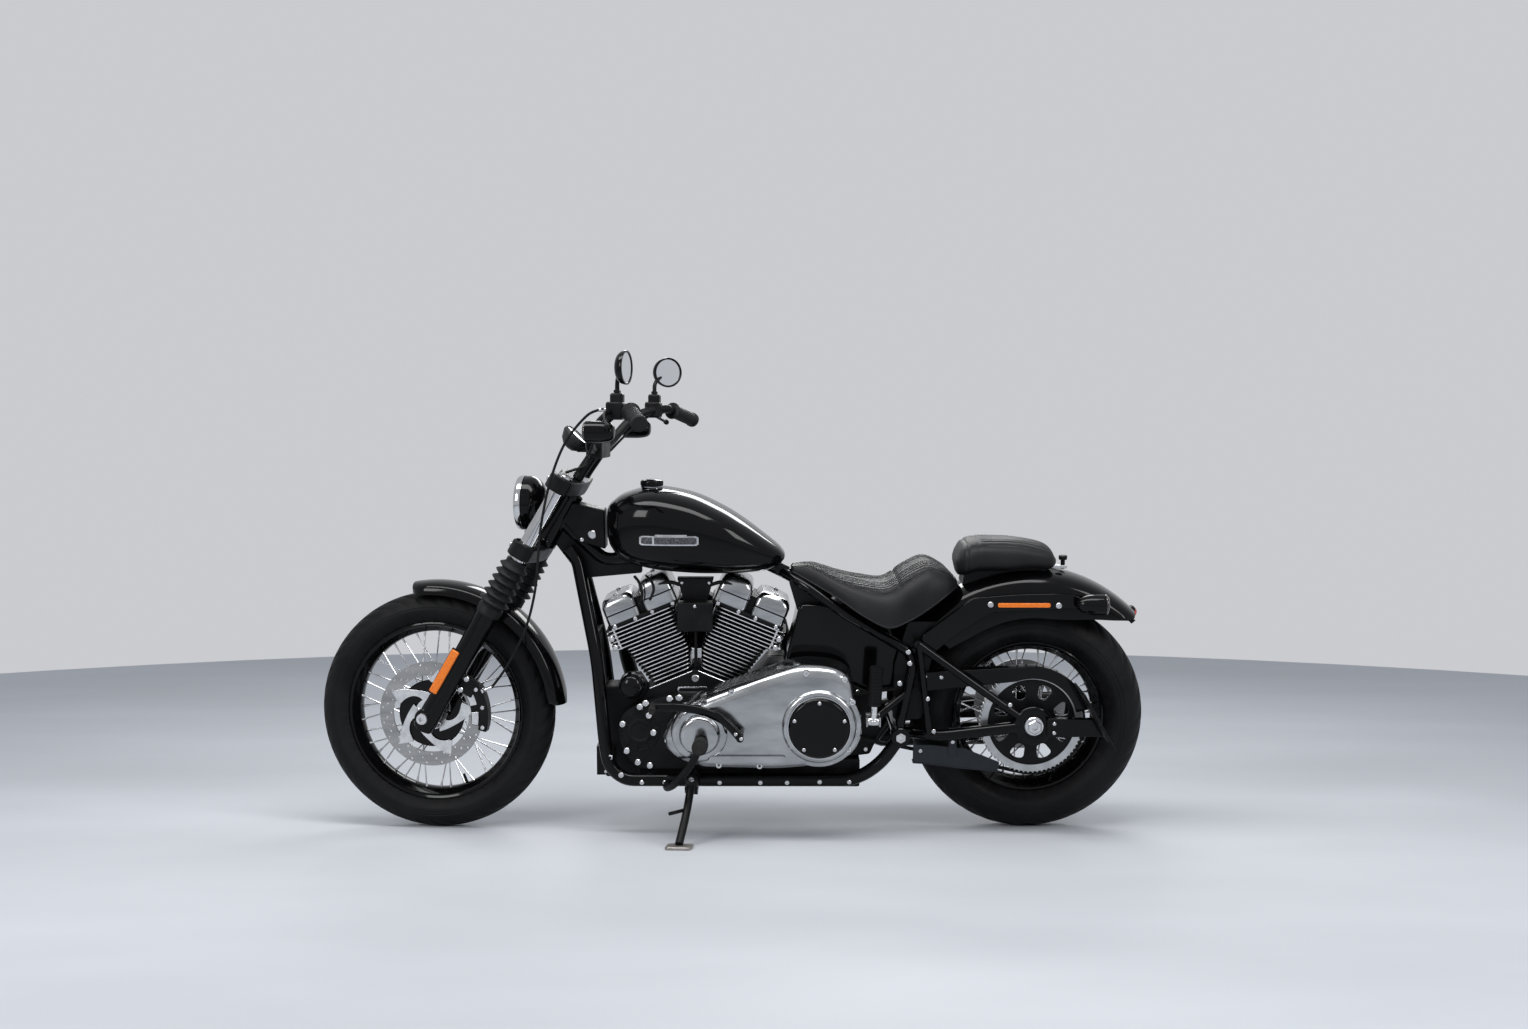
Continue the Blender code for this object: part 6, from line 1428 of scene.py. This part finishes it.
seat_cover = put("solo_seat", skin(seat_rings), vinyl, "chassis", ["seat"], 70)
stitches = []
for side in (-1, 1):
    line = []
    for share, low, high, half in seat_rows[12:-10]:
        edge = sewn_edge(share, half) + 0.0058
        best = min((seat_point(along_seat(share), low, high, half, k / SEAT_STEPS)
            for k in range(SEAT_STEPS // 2 + 1)), key=lambda p: abs(abs(p.y) - edge))
        line.append(Vector((best.x, side * abs(best.y), best.z - 0.0002)))
    even = smooth(line, 0.0052)
    for a, b in zip(even[::2], even[1::2]):
        stitches.append(rod([a, b], 0.0007, 5))
put("seat_stitches", together(*stitches), thread, "chassis")
piping = []
for side in (-1, 1):
    line = [Vector((along_seat(share), side * (half * 1.012), low + 0.002))
        for share, low, high, half in smooth_table(SEAT, 10)]
    piping.append(rod(line, 0.0024, 8))
put("seat_piping", together(*piping), vinyl, "chassis")

# The pillion pad. A small foam pad under the same vinyl, ribbed along its top between plain sides,
# with a sewn band across its front and a knurled screw behind it that holds it to the fender.

CROWN = Vector((0.726, 0, 0.736))
PAD = ((-0.198, -0.02, 0.046, 0.08), (-0.181, -0.02, 0.068, 0.098), (-0.146, -0.01, 0.079, 0.106),
    (-0.066, -0.0075, 0.079, 0.108), (-0.007, -0.0006, 0.072, 0.103), (0.046, -0.0042, 0.058, 0.086),
    (0.064, 0.008, 0.032, 0.06))
PAD_RIB = 0.0215
pad_rings = []
pad_front = [[-0.2055, 0.01, 0.022, 0.03], [-0.2035, 0.002, 0.03, 0.06]]
pad_back = [[0.068, 0.014, 0.026, 0.04], [0.069, 0.018, 0.022, 0.014]]
for x, low, high, half in pad_front + smooth_table(PAD, 14) + pad_back:
    ring = soft_ring(CROWN.x + x, CROWN.z + low, CROWN.z + high, half, 120, 0.7)
    for p in ring:
        top = min(1.0, max(0.0, (p.z - CROWN.z - low) / (high - low) * 2.2 - 0.9))
        near = (abs(p.y) / PAD_RIB) % 1.0
        near = min(near, 1 - near)
        sewn = 0.0034 * math.exp(-(near * PAD_RIB / 0.0022) ** 2) if abs(p.y) < half * 0.86 else 0.0
        strap = 0.0035 * math.exp(-((x + 0.148) / 0.0025) ** 2)
        strap += 0.002 * math.exp(-((x + 0.178) / 0.003) ** 2)
        fade = min(1.0, max(0.0, (x + 0.146) * 60)) * min(1.0, max(0.0, (0.052 - x) * 40))
        p.z -= sewn * top * fade
        side_on = Vector((0, p.y, p.z - CROWN.z - (low + high) / 2))
        if side_on.length > 1e-6:
            p -= side_on.normalized() * strap
        p.z += 0.001 * noise.noise(Vector((x * 18, p.y * 16, p.z * 16))) * (0.4 + 0.6 * top)
    pad_rings.append(ring)
pillion = put("pillion_cushion", skin(pad_rings), vinyl, "chassis", ["pillion_pad"], 70)
put("pillion_base", plate([(CROWN.x + x, CROWN.z + z) for x, z in ((-0.186, -0.046), (-0.12, -0.026),
    (-0.06, -0.012), (0.04, -0.011), (0.046, 0.002), (-0.06, 0.004), (-0.18, -0.002))], -0.05, 0.05),
    satin_black, "chassis", (), 38, 0.002)
screw_at = CROWN + Vector((0.094, 0, 0.006))
put("pillion_screw", turned(screw_at, UP, [(-0.014, 0.006), (0.01, 0.006), (0.011, 0.011), (0.02, 0.012),
    (0.023, 0.01)], 18), satin_black, "chassis", (), 30)
put("pillion_tongue", box(CROWN.x + 0.05, CROWN.x + 0.104, -0.013, 0.013, CROWN.z - 0.0055,
    CROWN.z + 0.003), bright_steel, "chassis", (), 38, 0.001)

# The rear fender. One deep pressing in gloss black, cut off short behind the wheel, carried by a
# thick strut on each side with an orange reflector between two screws, and a red lamp at its tip.

FENDER_R = 0.413
FENDER_HALF = 0.11
SKIRT = ((46, 0.065), (53, 0.029), (61, 0.001), (70, -0.022), (80, -0.034), (91, -0.035), (103, -0.036),
    (115, -0.036), (127, -0.033), (138, -0.019))


def skirt_at(deg):
    """How far the skirt comes down to the tyre at an angle."""
    return min(smooth_skirt, key=lambda row: abs(row[0] - deg))[1]


smooth_skirt = smooth_table(SKIRT, 10)


def rear_section(deg):
    """A round crown with full shoulders; the skirt's height follows its table."""
    low = REAR_TYRE + skirt_at(deg)
    r = FENDER_R - 0.0012
    h = FENDER_HALF - 0.0006
    top = max(low + 0.006, r - 0.043)
    rows = [(-h, top), (-h + 0.0045, r - 0.03), (-h + 0.018, r - 0.0165), (-0.07, r - 0.0075),
        (-0.04, r - 0.0022), (0, r), (0.04, r - 0.0022), (0.07, r - 0.0075), (h - 0.018, r - 0.0165),
        (h - 0.0045, r - 0.03), (h, top)]
    crown = on_line(rows, 3)
    return [(-h, low), (-h, low + 0.003)] + crown + [(h, low + 0.003), (h, low)]


put("rear_fender_shell", pressed(REAR_AXLE, [row[0] for row in smooth_skirt], rear_section), black_paint,
    "chassis", ["rear_fender"], 40)
STRUT = ([(PIVOT.x + 0.0546, 0.52), (PIVOT.x + 0.0546, 0.562), (PIVOT.x + 0.072, 0.578)]
    + [(CROWN.x + x, CROWN.z + z) for x, z in ((-0.166, -0.068), (-0.05, -0.0585), (0.05, -0.056),
    (0.118, -0.062), (0.13, -0.081), (0.116, -0.097), (-0.116, -0.108))]
    + [(PIVOT.x + 0.132, 0.556), (PIVOT.x + 0.082, 0.508)])
for side, word in SIDES:
    put(f"fender_strut_plate_{word}", mirrored(plate(softened(STRUT, 0.016), 0.1102, 0.1236), side),
        black_paint, "chassis", [f"fender_strut_{word}"], 38, 0.0035)
    put(f"rear_reflector_{word}", mirrored(plate(softened([(0.626, 0.6425), (0.767, 0.6425),
        (0.767, 0.6545), (0.626, 0.6545)], 0.005), 0.1228, 0.1272), side), amber, "chassis", (), 38, 0.0015)
    put(f"strut_screws_{word}", bolts([(x, side * 0.1232, z) for x, z in ((0.606, 0.65), (0.789, 0.6476))],
        RIGHT * side, 0.008, 0.005), bright_steel, "chassis")
    lamp = CROWN + Vector((0.149, side * 0.152, -0.081))
    put(f"rear_indicator_{word}", turned(lamp, AFT, on_line([(-0.0415, 0.006), (-0.0385, 0.014),
        (-0.026, 0.022), (-0.006, 0.0268), (0.022, 0.0275), (0.032, 0.0273)], 4), 56), black_paint,
        "chassis", (), 50)
    put(f"rear_indicator_ring_{word}", turned(lamp, AFT, [(0.0315, 0.0262), (0.0325, 0.0272),
        (0.035, 0.0272), (0.036, 0.0262)], 56), smoke_lens, "chassis", (), 50)
    put(f"rear_indicator_lens_{word}", turned(lamp, AFT, [(0.033, 0.0258), (0.037, 0.0256),
        (0.0405, 0.0215), (0.0418, 0.013), (0.042, 0.003)], 48), smoke_lens, "chassis", (), 50)
    put(f"rear_indicator_stem_{word}", turned(CROWN + Vector((0.122, 0, -0.081)), RIGHT * side,
        [(0.118, 0.0095), (0.124, 0.0078), (0.147, 0.0078)], 24), black_paint, "chassis")
tip = math.radians(46)
tip_at = REAR_AXLE + (FENDER_R - 0.016) * Vector((math.cos(tip), 0, math.sin(tip)))
tip_line = Vector((math.sin(tip), 0, -math.cos(tip)))
put("tail_lamp_body", turned(tip_at, tip_line, [(-0.004, 0.02), (0.001, 0.0218), (0.009, 0.0218),
    (0.01, 0.02)], 48), satin_black, "chassis", (), 40)
put("tail_lamp_lens", turned(tip_at, tip_line, [(0.0095, 0.0208), (0.013, 0.0212), (0.017, 0.0195),
    (0.0205, 0.014), (0.0218, 0.004)], 48), red_lens, "chassis", ["tail_lamp"], 50)

# The swingarm. Welded steel tube in gloss black, a triangle on each side of the rear wheel from
# the pivot to the axle and up to the spring, which a plain black shield hides, with a bolt-on boss
# at each end of the axle and the caliper of the rear brake.

ARM_Y = 0.138
arms = [turned(PIVOT, RIGHT, [(-0.105, 0.022), (0.105, 0.022)], 40),
    turned(REAR_AXLE, RIGHT, [(-0.13, 0.0124), (0.13, 0.0124)], 24),
    rod([(PIVOT.x + 0.044, -0.146, 0.545), (PIVOT.x + 0.044, 0.146, 0.545)], 0.0108, 20),
    arc(REAR_AXLE, 0.3431, 0.3469, 138, 184, -0.0778, 0.0778, 24)]
for side in (-1, 1):
    arms += [mirrored(shape, side) for shape in (rod([(PIVOT.x + 0.004, 0.088, PIVOT.z),
        (PIVOT.x + 0.037, 0.088, PIVOT.z), (PIVOT.x + 0.102, ARM_Y, PIVOT.z + 0.002),
        (REAR_AXLE.x, ARM_Y, REAR_AXLE.z)], 0.0158, 24, 0.05), rod([(PIVOT.x + 0.044, 0.14, 0.545),
        REAR_AXLE + Vector((-0.036, 0.14, 0.022))], 0.0118, 20),
        rod([(PIVOT.x + 0.077, 0.142, 0.3), (PIVOT.x + 0.047, 0.14, 0.54)], 0.0098, 20),
        turned(REAR_AXLE, RIGHT, [(0.116, 0.042), (0.12, 0.05), (0.126, 0.0528), (0.147, 0.0528),
        (0.1495, 0.051), (0.1515, 0.047), (0.152, 0.034), (0.15, 0.03)], 64))]
put("swingarm_tubes", together(*arms), black_paint, "chassis", ["swingarm"], 35)
shield = softened([(PIVOT.x + x, z) for x, z in ((-0.02, 0.33), (0.06, 0.33), (0.078, 0.47), (0.112, 0.6),
    (0.02, 0.6), (-0.016, 0.48))], 0.012, 3)
put("spring_shield", together(*[plate(shield, *at) for at in ((-0.106, -0.102), (0.102, 0.106))]),
    satin_black, "chassis", (), 38, 0.0015)
put("seat_post_gusset", plate(softened([(0.066, 0.702), (0.118, 0.706), (0.19, 0.64), (0.15, 0.566),
    (0.103, 0.522), (0.093, 0.61)], 0.008, 3), -0.05, -0.0455), satin_black, "chassis", (), 38, 0.0015)
put("axle_nuts", together(*[together(turned(REAR_AXLE, RIGHT * side,
    [(0.15, 0.0258), (0.154, 0.0258), (0.156, 0.024)], 48), turned(REAR_AXLE, RIGHT * side,
    [(0.155, 0.02), (0.1635, 0.02), (0.166, 0.0175), (0.166, 0.0085), (0.16, 0.008)], 6))
    for side in (-1, 1)]), bright_steel, "chassis", (), 30)
put("swingarm_bolts", bolts([(PIVOT.x + 0.071, -0.1505, 0.398), (PIVOT.x + 0.088, -0.1505, 0.309),
    (REAR_AXLE.x - 0.066, -0.1505, 0.382)], LEFT, 0.006, 0.004), bright_steel, "chassis")
put("rear_caliper", together(arc(REAR_AXLE, 0.0925, 0.1495, 122.5, 157.5, 0.105, 0.1335, 8),
    arc(REAR_AXLE, 0.135, 0.1475, 123.5, 156.5, 0.0845, 0.11, 8)), satin_black, "chassis", (), 38, 0.003)

# The belt drive. A toothed rubber belt runs from the gearbox sprocket round a large cast pulley on
# the left of the rear hub, whose rim is bare and whose web is black and pierced.

BELT_Y = -0.096
TEETH = 70
WINDOWS = 8
rubber_belt = finish("belt_rubber", (0.0035, 0.0035, 0.0035), (0.008, 0.008, 0.008), 0, (0.5, 0.62), 60.0,
    (700.0, 0.4), shine=0.13)
line = math.atan2(DRIVE_Z - REAR_AXLE.z, DRIVE_X - REAR_AXLE.x)
reach = math.hypot(DRIVE_Z - REAR_AXLE.z, DRIVE_X - REAR_AXLE.x)
spread = math.acos((0.1418 - 0.05) / reach)


def belt_run(offset):
    """Corners of the belt's loop at an offset outside the pulleys."""
    loop = []
    for x, z, radius, start, sweep, steps in ((REAR_AXLE.x, REAR_AXLE.z, 0.142, line + spread,
            2 * math.pi - 2 * spread, 96), (DRIVE_X, DRIVE_Z, 0.0502, line - spread, 2 * spread, 32)):
        for i in range(steps + 1):
            a = start + sweep * i / steps
            r = radius + offset
            loop.append(Vector((x + r * math.cos(a), z + r * math.sin(a))))
    return loop


inner = belt_run(0.0)
outer = belt_run(0.0048)
put("belt_band", skin([[(a.x, BELT_Y - 0.0115, a.y), (b.x, BELT_Y - 0.0115, b.y),
    (b.x, BELT_Y + 0.0115, b.y), (a.x, BELT_Y + 0.0115, a.y)] for a, b in zip(inner, outer)], closed=True),
    rubber_belt, "chassis", ["drive_belt"], 40)
cast_rim = finish("pulley_rim", (0.4, 0.41, 0.42), (0.52, 0.53, 0.54), 1.0, (0.3, 0.44), 30.0,
    (300.0, 0.15))
teeth = []
for i in range(TEETH):
    deg = math.degrees(2 * math.pi * i / TEETH)
    teeth.append(rod([about(REAR_AXLE, 0.1388, deg, BELT_Y + y) for y in (-0.0118, 0.0118)], 0.0024, 8))
put("pulley_rim_ring", together(hoop(REAR_AXLE, [(BELT_Y - 0.012, 0.119), (BELT_Y - 0.012, 0.1375),
    (BELT_Y + 0.012, 0.1375), (BELT_Y + 0.012, 0.119)], 128), *teeth), cast_rim, "rear_wheel",
    ["drive_pulley"], 30)
web = put("pulley_web", hoop(REAR_AXLE, [(BELT_Y - 0.0085, 0.044), (BELT_Y - 0.0085, 0.1195),
    (BELT_Y - 0.002, 0.1195), (BELT_Y - 0.002, 0.044)], 96), satin_black, "rear_wheel", (), 30)
windows = []
for k in range(WINDOWS):
    mid = 2 * math.pi * (k + 0.5) / WINDOWS
    pts = [(0.07, -0.17), (0.104, -0.21), (0.109, 0.0), (0.104, 0.21), (0.07, 0.17), (0.066, 0.0)]
    windows.append(plate(softened([(REAR_AXLE.x + r * math.cos(mid + a),
        REAR_AXLE.z + r * math.sin(mid + a)) for r, a in pts], 0.01, 5), BELT_Y - 0.012, BELT_Y + 0.004))
carve(web, together(*windows))
put("pulley_hub", together(hoop(REAR_AXLE, [(BELT_Y - 0.0118, 0.015), (BELT_Y - 0.0118, 0.044),
    (-0.0806, 0.046), (-0.0806, 0.015)], 64), turned(REAR_AXLE, LEFT, [(0.1065, 0.015), (0.1148, 0.015)],
    32)), black_paint, "rear_wheel")
put("pulley_bolts", bolts([about(REAR_AXLE, 0.0355, 36 + 72 * k, BELT_Y - 0.0116) for k in range(5)], LEFT,
    0.007, 0.006), bright_steel, "rear_wheel")
rear_disc = put("rear_disc_ring", hoop(REAR_AXLE, [(0.0955, 0.086), (0.0955, 0.1295), (0.1005, 0.1295),
    (0.1005, 0.086)], 96), drilled_steel, "rear_wheel")
carve(rear_disc, together(*[turned(about(REAR_AXLE, (0.094, 0.107, 0.12)[i % 3], 8 * i, 0.09), RIGHT,
    [(0, 0.0024), (0.014, 0.0024)], 10) for i in range(45)]))
put("rear_disc_arms", together(*[band([(REAR_AXLE.x + r * math.cos(a + t),
    REAR_AXLE.z + r * math.sin(a + t)) for r, t in ((0.034, 0.0), (0.052, 0.16), (0.07, 0.36),
    (0.088, 0.6))], [0.012, 0.008, 0.006, 0.009], 0.095, 0.101) for a in (0.2, 1.457, 2.713, 3.97, 5.227)],
    hoop(REAR_AXLE, [(0.0765, 0.016), (0.0765, 0.0338), (0.101, 0.04), (0.101, 0.016)], 48)), bright_steel,
    "rear_wheel", (), 30)

# The belt guards. A black steel cover over the upper run, turned in over the belt, and a moulded
# blue-grey one under the lower run, each on its own stay to the swingarm.

guard_grey = finish("guard_moulding", (0.013, 0.0155, 0.0195), (0.02, 0.0235, 0.029), 0, (0.46, 0.58), 12.0,
    (600.0, 0.25), shine=0.2)


def round_axle(radius, low, high, step):
    """Outline points at a radius round the rear axle, by degrees up from straight back."""
    return [(REAR_AXLE.x + radius * math.cos(math.radians(a)),
        REAR_AXLE.z + radius * math.sin(math.radians(a))) for a in range(low, high, step)]


GUARD_Y = -0.1145
GUARD_R = 0.1565
guard_top = round_axle(GUARD_R - 0.0004, 14, 96, 3) + [(PIVOT.x + 0.05, 0.462)]
put("belt_cover", together(plate(guard_top + [(PIVOT.x + 0.05, 0.41), (PIVOT.x + 0.18, 0.424)]
    + round_axle(GUARD_R - 0.034, 110, 13, -3), GUARD_Y - 0.0048, GUARD_Y),
    plate(guard_top + [(PIVOT.x + 0.05, 0.458)] + round_axle(GUARD_R - 0.004, 95, 13, -3), GUARD_Y - 0.004,
    -0.0832), turned((PIVOT.x + 0.162, 0, 0.4575), LEFT, [(0.1175, 0.005), (0.1286, 0.005)], 20)),
    black_paint, "chassis", ["belt_guard"], 38, 0.0014)
LOWER_EDGE = [(PIVOT.x + 0.036, 0.214), (PIVOT.x + 0.072, 0.212), (PIVOT.x + 0.162, 0.2),
    (REAR_AXLE.x - 0.091, REAR_AXLE.z - 0.133)]
put("lower_belt_cover", together(plate(softened(LOWER_EDGE + [(REAR_AXLE.x - 0.086, REAR_AXLE.z - 0.109),
    (PIVOT.x + 0.177, 0.252), (PIVOT.x + 0.087, 0.262), (PIVOT.x + 0.036, 0.262)], 0.006), GUARD_Y - 0.0048,
    GUARD_Y), plate(LOWER_EDGE + [(x, z - 0.0038) for x, z in LOWER_EDGE[::-1]], GUARD_Y - 0.004, -0.0842),
    box(PIVOT.x + 0.132, PIVOT.x + 0.154, -0.1226, GUARD_Y - 0.001, 0.235, 0.31)), guard_grey, "chassis",
    ["lower_guard"], 38, 0.0015)
put("guard_screws", bolts([(PIVOT.x + 0.056, -0.1192, 0.246), (PIVOT.x + 0.143, -0.1226, 0.272),
    (PIVOT.x + 0.066, -0.1192, 0.452), (PIVOT.x + 0.11, -0.1192, 0.45)], LEFT, 0.0055, 0.0035),
    bright_steel, "chassis")

# The number plate carrier. A black arm from the left end of the axle holds a flat blank board out
# beside the wheel, edge on to the side view.

put("carrier_arm", plate(softened([(REAR_AXLE.x + x, REAR_AXLE.z + z)
    for x, z in ((0.031, -0.025), (0.187, -0.023), (0.161, 0.025), (0.031, 0.027))], 0.008), -0.1735,
    -0.1526), black_paint, "chassis", ["plate_carrier"], 38, 0.004)
put("carrier_board", plate([(REAR_AXLE.x + x, REAR_AXLE.z + z)
    for x, z in ((0.103, 0.118), (0.108, 0.121), (0.192, -0.029), (0.187, -0.032))], -0.2898, -0.1502),
    satin_black, "chassis", (), 38, 0.0012)
put("carrier_screws", bolts([(REAR_AXLE.x + 0.05, -0.1735, REAR_AXLE.z + z) for z in (0.013, -0.012)], LEFT,
    0.005, 0.0035), bright_steel, "chassis")

# The exhausts. Two satin-black steel pipes leave the heads on the right and sweep down into long
# silencers, one above the other, with bright clamps and ends.

HEAD_SIDE = 0.1004
ports = {"front": standing(-HALF_V) @ Vector((-0.06, HEAD_SIDE, HEAD_FOOT + 0.036)),
    "rear": standing(HALF_V) @ Vector((0.06, HEAD_SIDE, HEAD_FOOT + 0.036))}
runs = {"front": ([ports["front"], ports["front"] + Vector((0, 0.03, 0)), (CRANK.x - 0.218, 0.158, 0.57),
    (CRANK.x - 0.213, 0.168, 0.45), (CRANK.x - 0.163, 0.176, 0.3), (CRANK.x - 0.083, 0.184, 0.225),
    (CRANK.x + 0.037, 0.19, 0.205)], Vector((PIVOT.x - 0.068, 0.195, 0.205)),
    Vector((REAR_AXLE.x + 0.174, 0.205, 0.215))), "rear": ([ports["rear"],
    ports["rear"] + Vector((0, 0.03, 0)), (CRANK.x + 0.222, 0.16, 0.58), (CRANK.x + 0.247, 0.176, 0.48),
    (CRANK.x + 0.307, 0.186, 0.35), (PIVOT.x - 0.148, 0.192, 0.292)],
    Vector((PIVOT.x - 0.038, 0.196, 0.285)), Vector((REAR_AXLE.x + 0.174, 0.206, 0.295)))}
for word, (path, start, end) in runs.items():
    length = (end - start).length
    put(f"exhaust_pipe_{word}", rod(path + [start], 0.0208, 32, 0.06), satin_black, "chassis",
        [f"exhaust_{word}"], 50)
    put(f"silencer_{word}", turned(start, end - start, [(-0.004, 0.0215), (0.006, 0.0225), (0.04, 0.0338),
        (length - 0.06, 0.034), (length - 0.058, 0.033), (length - 0.054, 0.034), (length - 0.002, 0.034)],
        56), satin_black, "chassis", (), 30)
    put(f"silencer_tip_{word}", turned(start, end - start, [(length - 0.003, 0.0332), (length, 0.0325),
        (length, 0.024), (length - 0.03, 0.0225), (length - 0.03, 0.004)], 56), chrome, "chassis", (), 30)
    clamps = [turned(start, end - start, [(at, 0.0343), (at + 0.001, 0.0347), (at + 0.011, 0.0347),
        (at + 0.012, 0.0343)], 48) for at in (0.075, length - 0.18)]
    put(f"silencer_clamps_{word}", together(*clamps), bright_steel, "chassis")

# The controls. Rubber-ended foot pegs on steel brackets, folding rubber pegs for a passenger, a
# long shift arm with its rubber toe piece, and the brake pedal on the right.

peg_rubber = finish("peg_rubber", (0.01, 0.0096, 0.0094), (0.018, 0.0172, 0.0168), 0, (0.5, 0.62), 40.0,
    (500.0, 0.4), shine=0.2)
PEG_ROOT = Vector((-0.166, 0.266, 0.304))
PEG_TIP = Vector((-0.166, 0.35, 0.318))
for side, word in SIDES:
    bracket = [rod([(-0.262, 0.1484, 0.162), (-0.262, 0.19, 0.162), (-0.238, 0.24, 0.185),
        (-0.19, 0.27, 0.25), (-0.166, 0.275, 0.303)], 0.0098, 20, 0.03)]
    if side > 0:
        bracket.append(rod([(-0.19, 0.268, 0.25), (-0.24, 0.262, 0.29), (-0.3, 0.255, 0.345)], 0.0068, 16,
            0.02))
    put(f"peg_bracket_{word}", together(*[mirrored(shape, side) for shape in bracket]), satin_black,
        "chassis", [f"footpeg_{word}"], 50)
    if side > 0:
        put("brake_pad", box(-0.33, -0.285, 0.235, 0.285, 0.34, 0.352), peg_rubber, "chassis", (), 38,
            0.003)
    peg = [rod([(-0.166, 0.266, 0.304), (-0.166, 0.349, 0.318)], 0.0165, 24)]
    for k in range(9):
        share = 0.1 + k * 0.099
        peg.append(rod([PEG_ROOT.lerp(PEG_TIP, t) for t in (share, share + 0.062)], 0.0205, 28))
    put(f"footpeg_rubber_{word}", mirrored(together(*peg), side), peg_rubber, "chassis", (), 40)
    hinge = Vector((PEG.x, side * PEG.y, PEG.z))
    post = hinge + Vector((0.008, 0, 0.149))
    rubber = []
    for k in range(11):
        a = hinge.lerp(post, 0.3 + 0.062 * k)
        b = hinge.lerp(post, 0.3 + 0.062 * k + 0.048)
        rubber.append(rod([a, b], 0.0185, 28))
    rubber.append(rod([hinge.lerp(post, 0.29), post], 0.0172, 24))
    put(f"passenger_peg_rubber_{word}", together(*rubber), black_rubber, f"passenger_peg_{word}",
        [f"passenger_peg_{word}"], 40)
    put(f"passenger_peg_arm_{word}", together(turned(hinge, AFT,
        [(-0.0143, 0.0108), (-0.013, 0.0118), (0.013, 0.0118), (0.0143, 0.0108)], 32),
        rod([hinge + UP * 0.002, hinge.lerp(post, 0.31)], 0.0092, 20)), bright_steel,
        f"passenger_peg_{word}", (), 40)
    put(f"passenger_peg_pin_{word}", bolts([hinge + Vector((0, side * 0.0118, 0))], RIGHT * side, 0.006,
        0.003), bright_steel, f"passenger_peg_{word}")
shift = [(-0.063, -0.275, 0.325), (-0.1, -0.277, 0.37), (-0.15, -0.277, 0.395), (-0.21, -0.275, 0.406),
    (-0.291, -0.27, 0.405)]
put("shift_arm", together(rod(shift, 0.0115, 24, 0.035, 0.7),
    turned((-0.063, 0, 0.325), LEFT, [(0.2324, 0.0098), (0.288, 0.0098)], 28)), black_paint, "chassis",
    ["shift_lever"], 50)
put("shift_toe", turned((-0.291, 0, 0.405), LEFT, [(0.256, 0.0098), (0.31, 0.0098), (0.312, 0.008)], 28),
    peg_rubber, "chassis")
put("shift_screws", bolts([(-0.074, -0.283, 0.336), (-0.06, -0.2872, 0.325)], LEFT, 0.0048, 0.003),
    bright_steel, "chassis")

# The side stand. A bent steel leg in satin black on a pin in the left rail, with a welded spur for
# the boot and a worn bare foot that stands on the floor.

foot = Vector((-0.22101, -0.328626, 0.055433))
bare_steel = finish("worn_foot_steel", (0.3, 0.28, 0.26), (0.44, 0.42, 0.4), 1.0, (0.4, 0.62), 55.0,
    (260.0, 0.7))
put("stand_leg", together(rod([STAND_AT, STAND_AT.lerp(foot, 0.5) + Vector((0.004, 0, 0.003)), foot],
    0.0108, 24, 0.06), turned(STAND_AT, fold_axis, [(-0.0123, 0.0165), (-0.011, 0.0178), (0.011, 0.0178),
    (0.0123, 0.0165)], 40), rod([STAND_AT.lerp(foot, 0.45), STAND_AT.lerp(foot, 0.52)
    + Vector((-0.04, -0.03, 0.01))], 0.0048, 16)), satin_black, "side_stand", ["side_stand"], 50)
put("stand_pin", bolts([STAND_AT + fold_axis * 0.0121], fold_axis, 0.0085, 0.004, 0.5, 6), bright_steel,
    "side_stand")
down = LEANED.inverted()
under = LEANED @ (foot - (down.to_3x3() @ UP) * 0.011)
pad_lines = []
for z, grow in ((0.0004, 0.0), (0.0012, 0.001), (0.0066, 0.001), (0.0078, -0.001)):
    outline = softened([(-0.036, -0.026), (0.03, -0.032), (0.038, 0.02), (-0.03, 0.026)], 0.01)
    pad_lines.append([down @ Vector((under.x + x * (1 + grow * 20), under.y + y * (1 + grow * 20), z))
        for x, y in outline])
put("stand_foot", skin(pad_lines), bare_steel, "side_stand", (), 40)
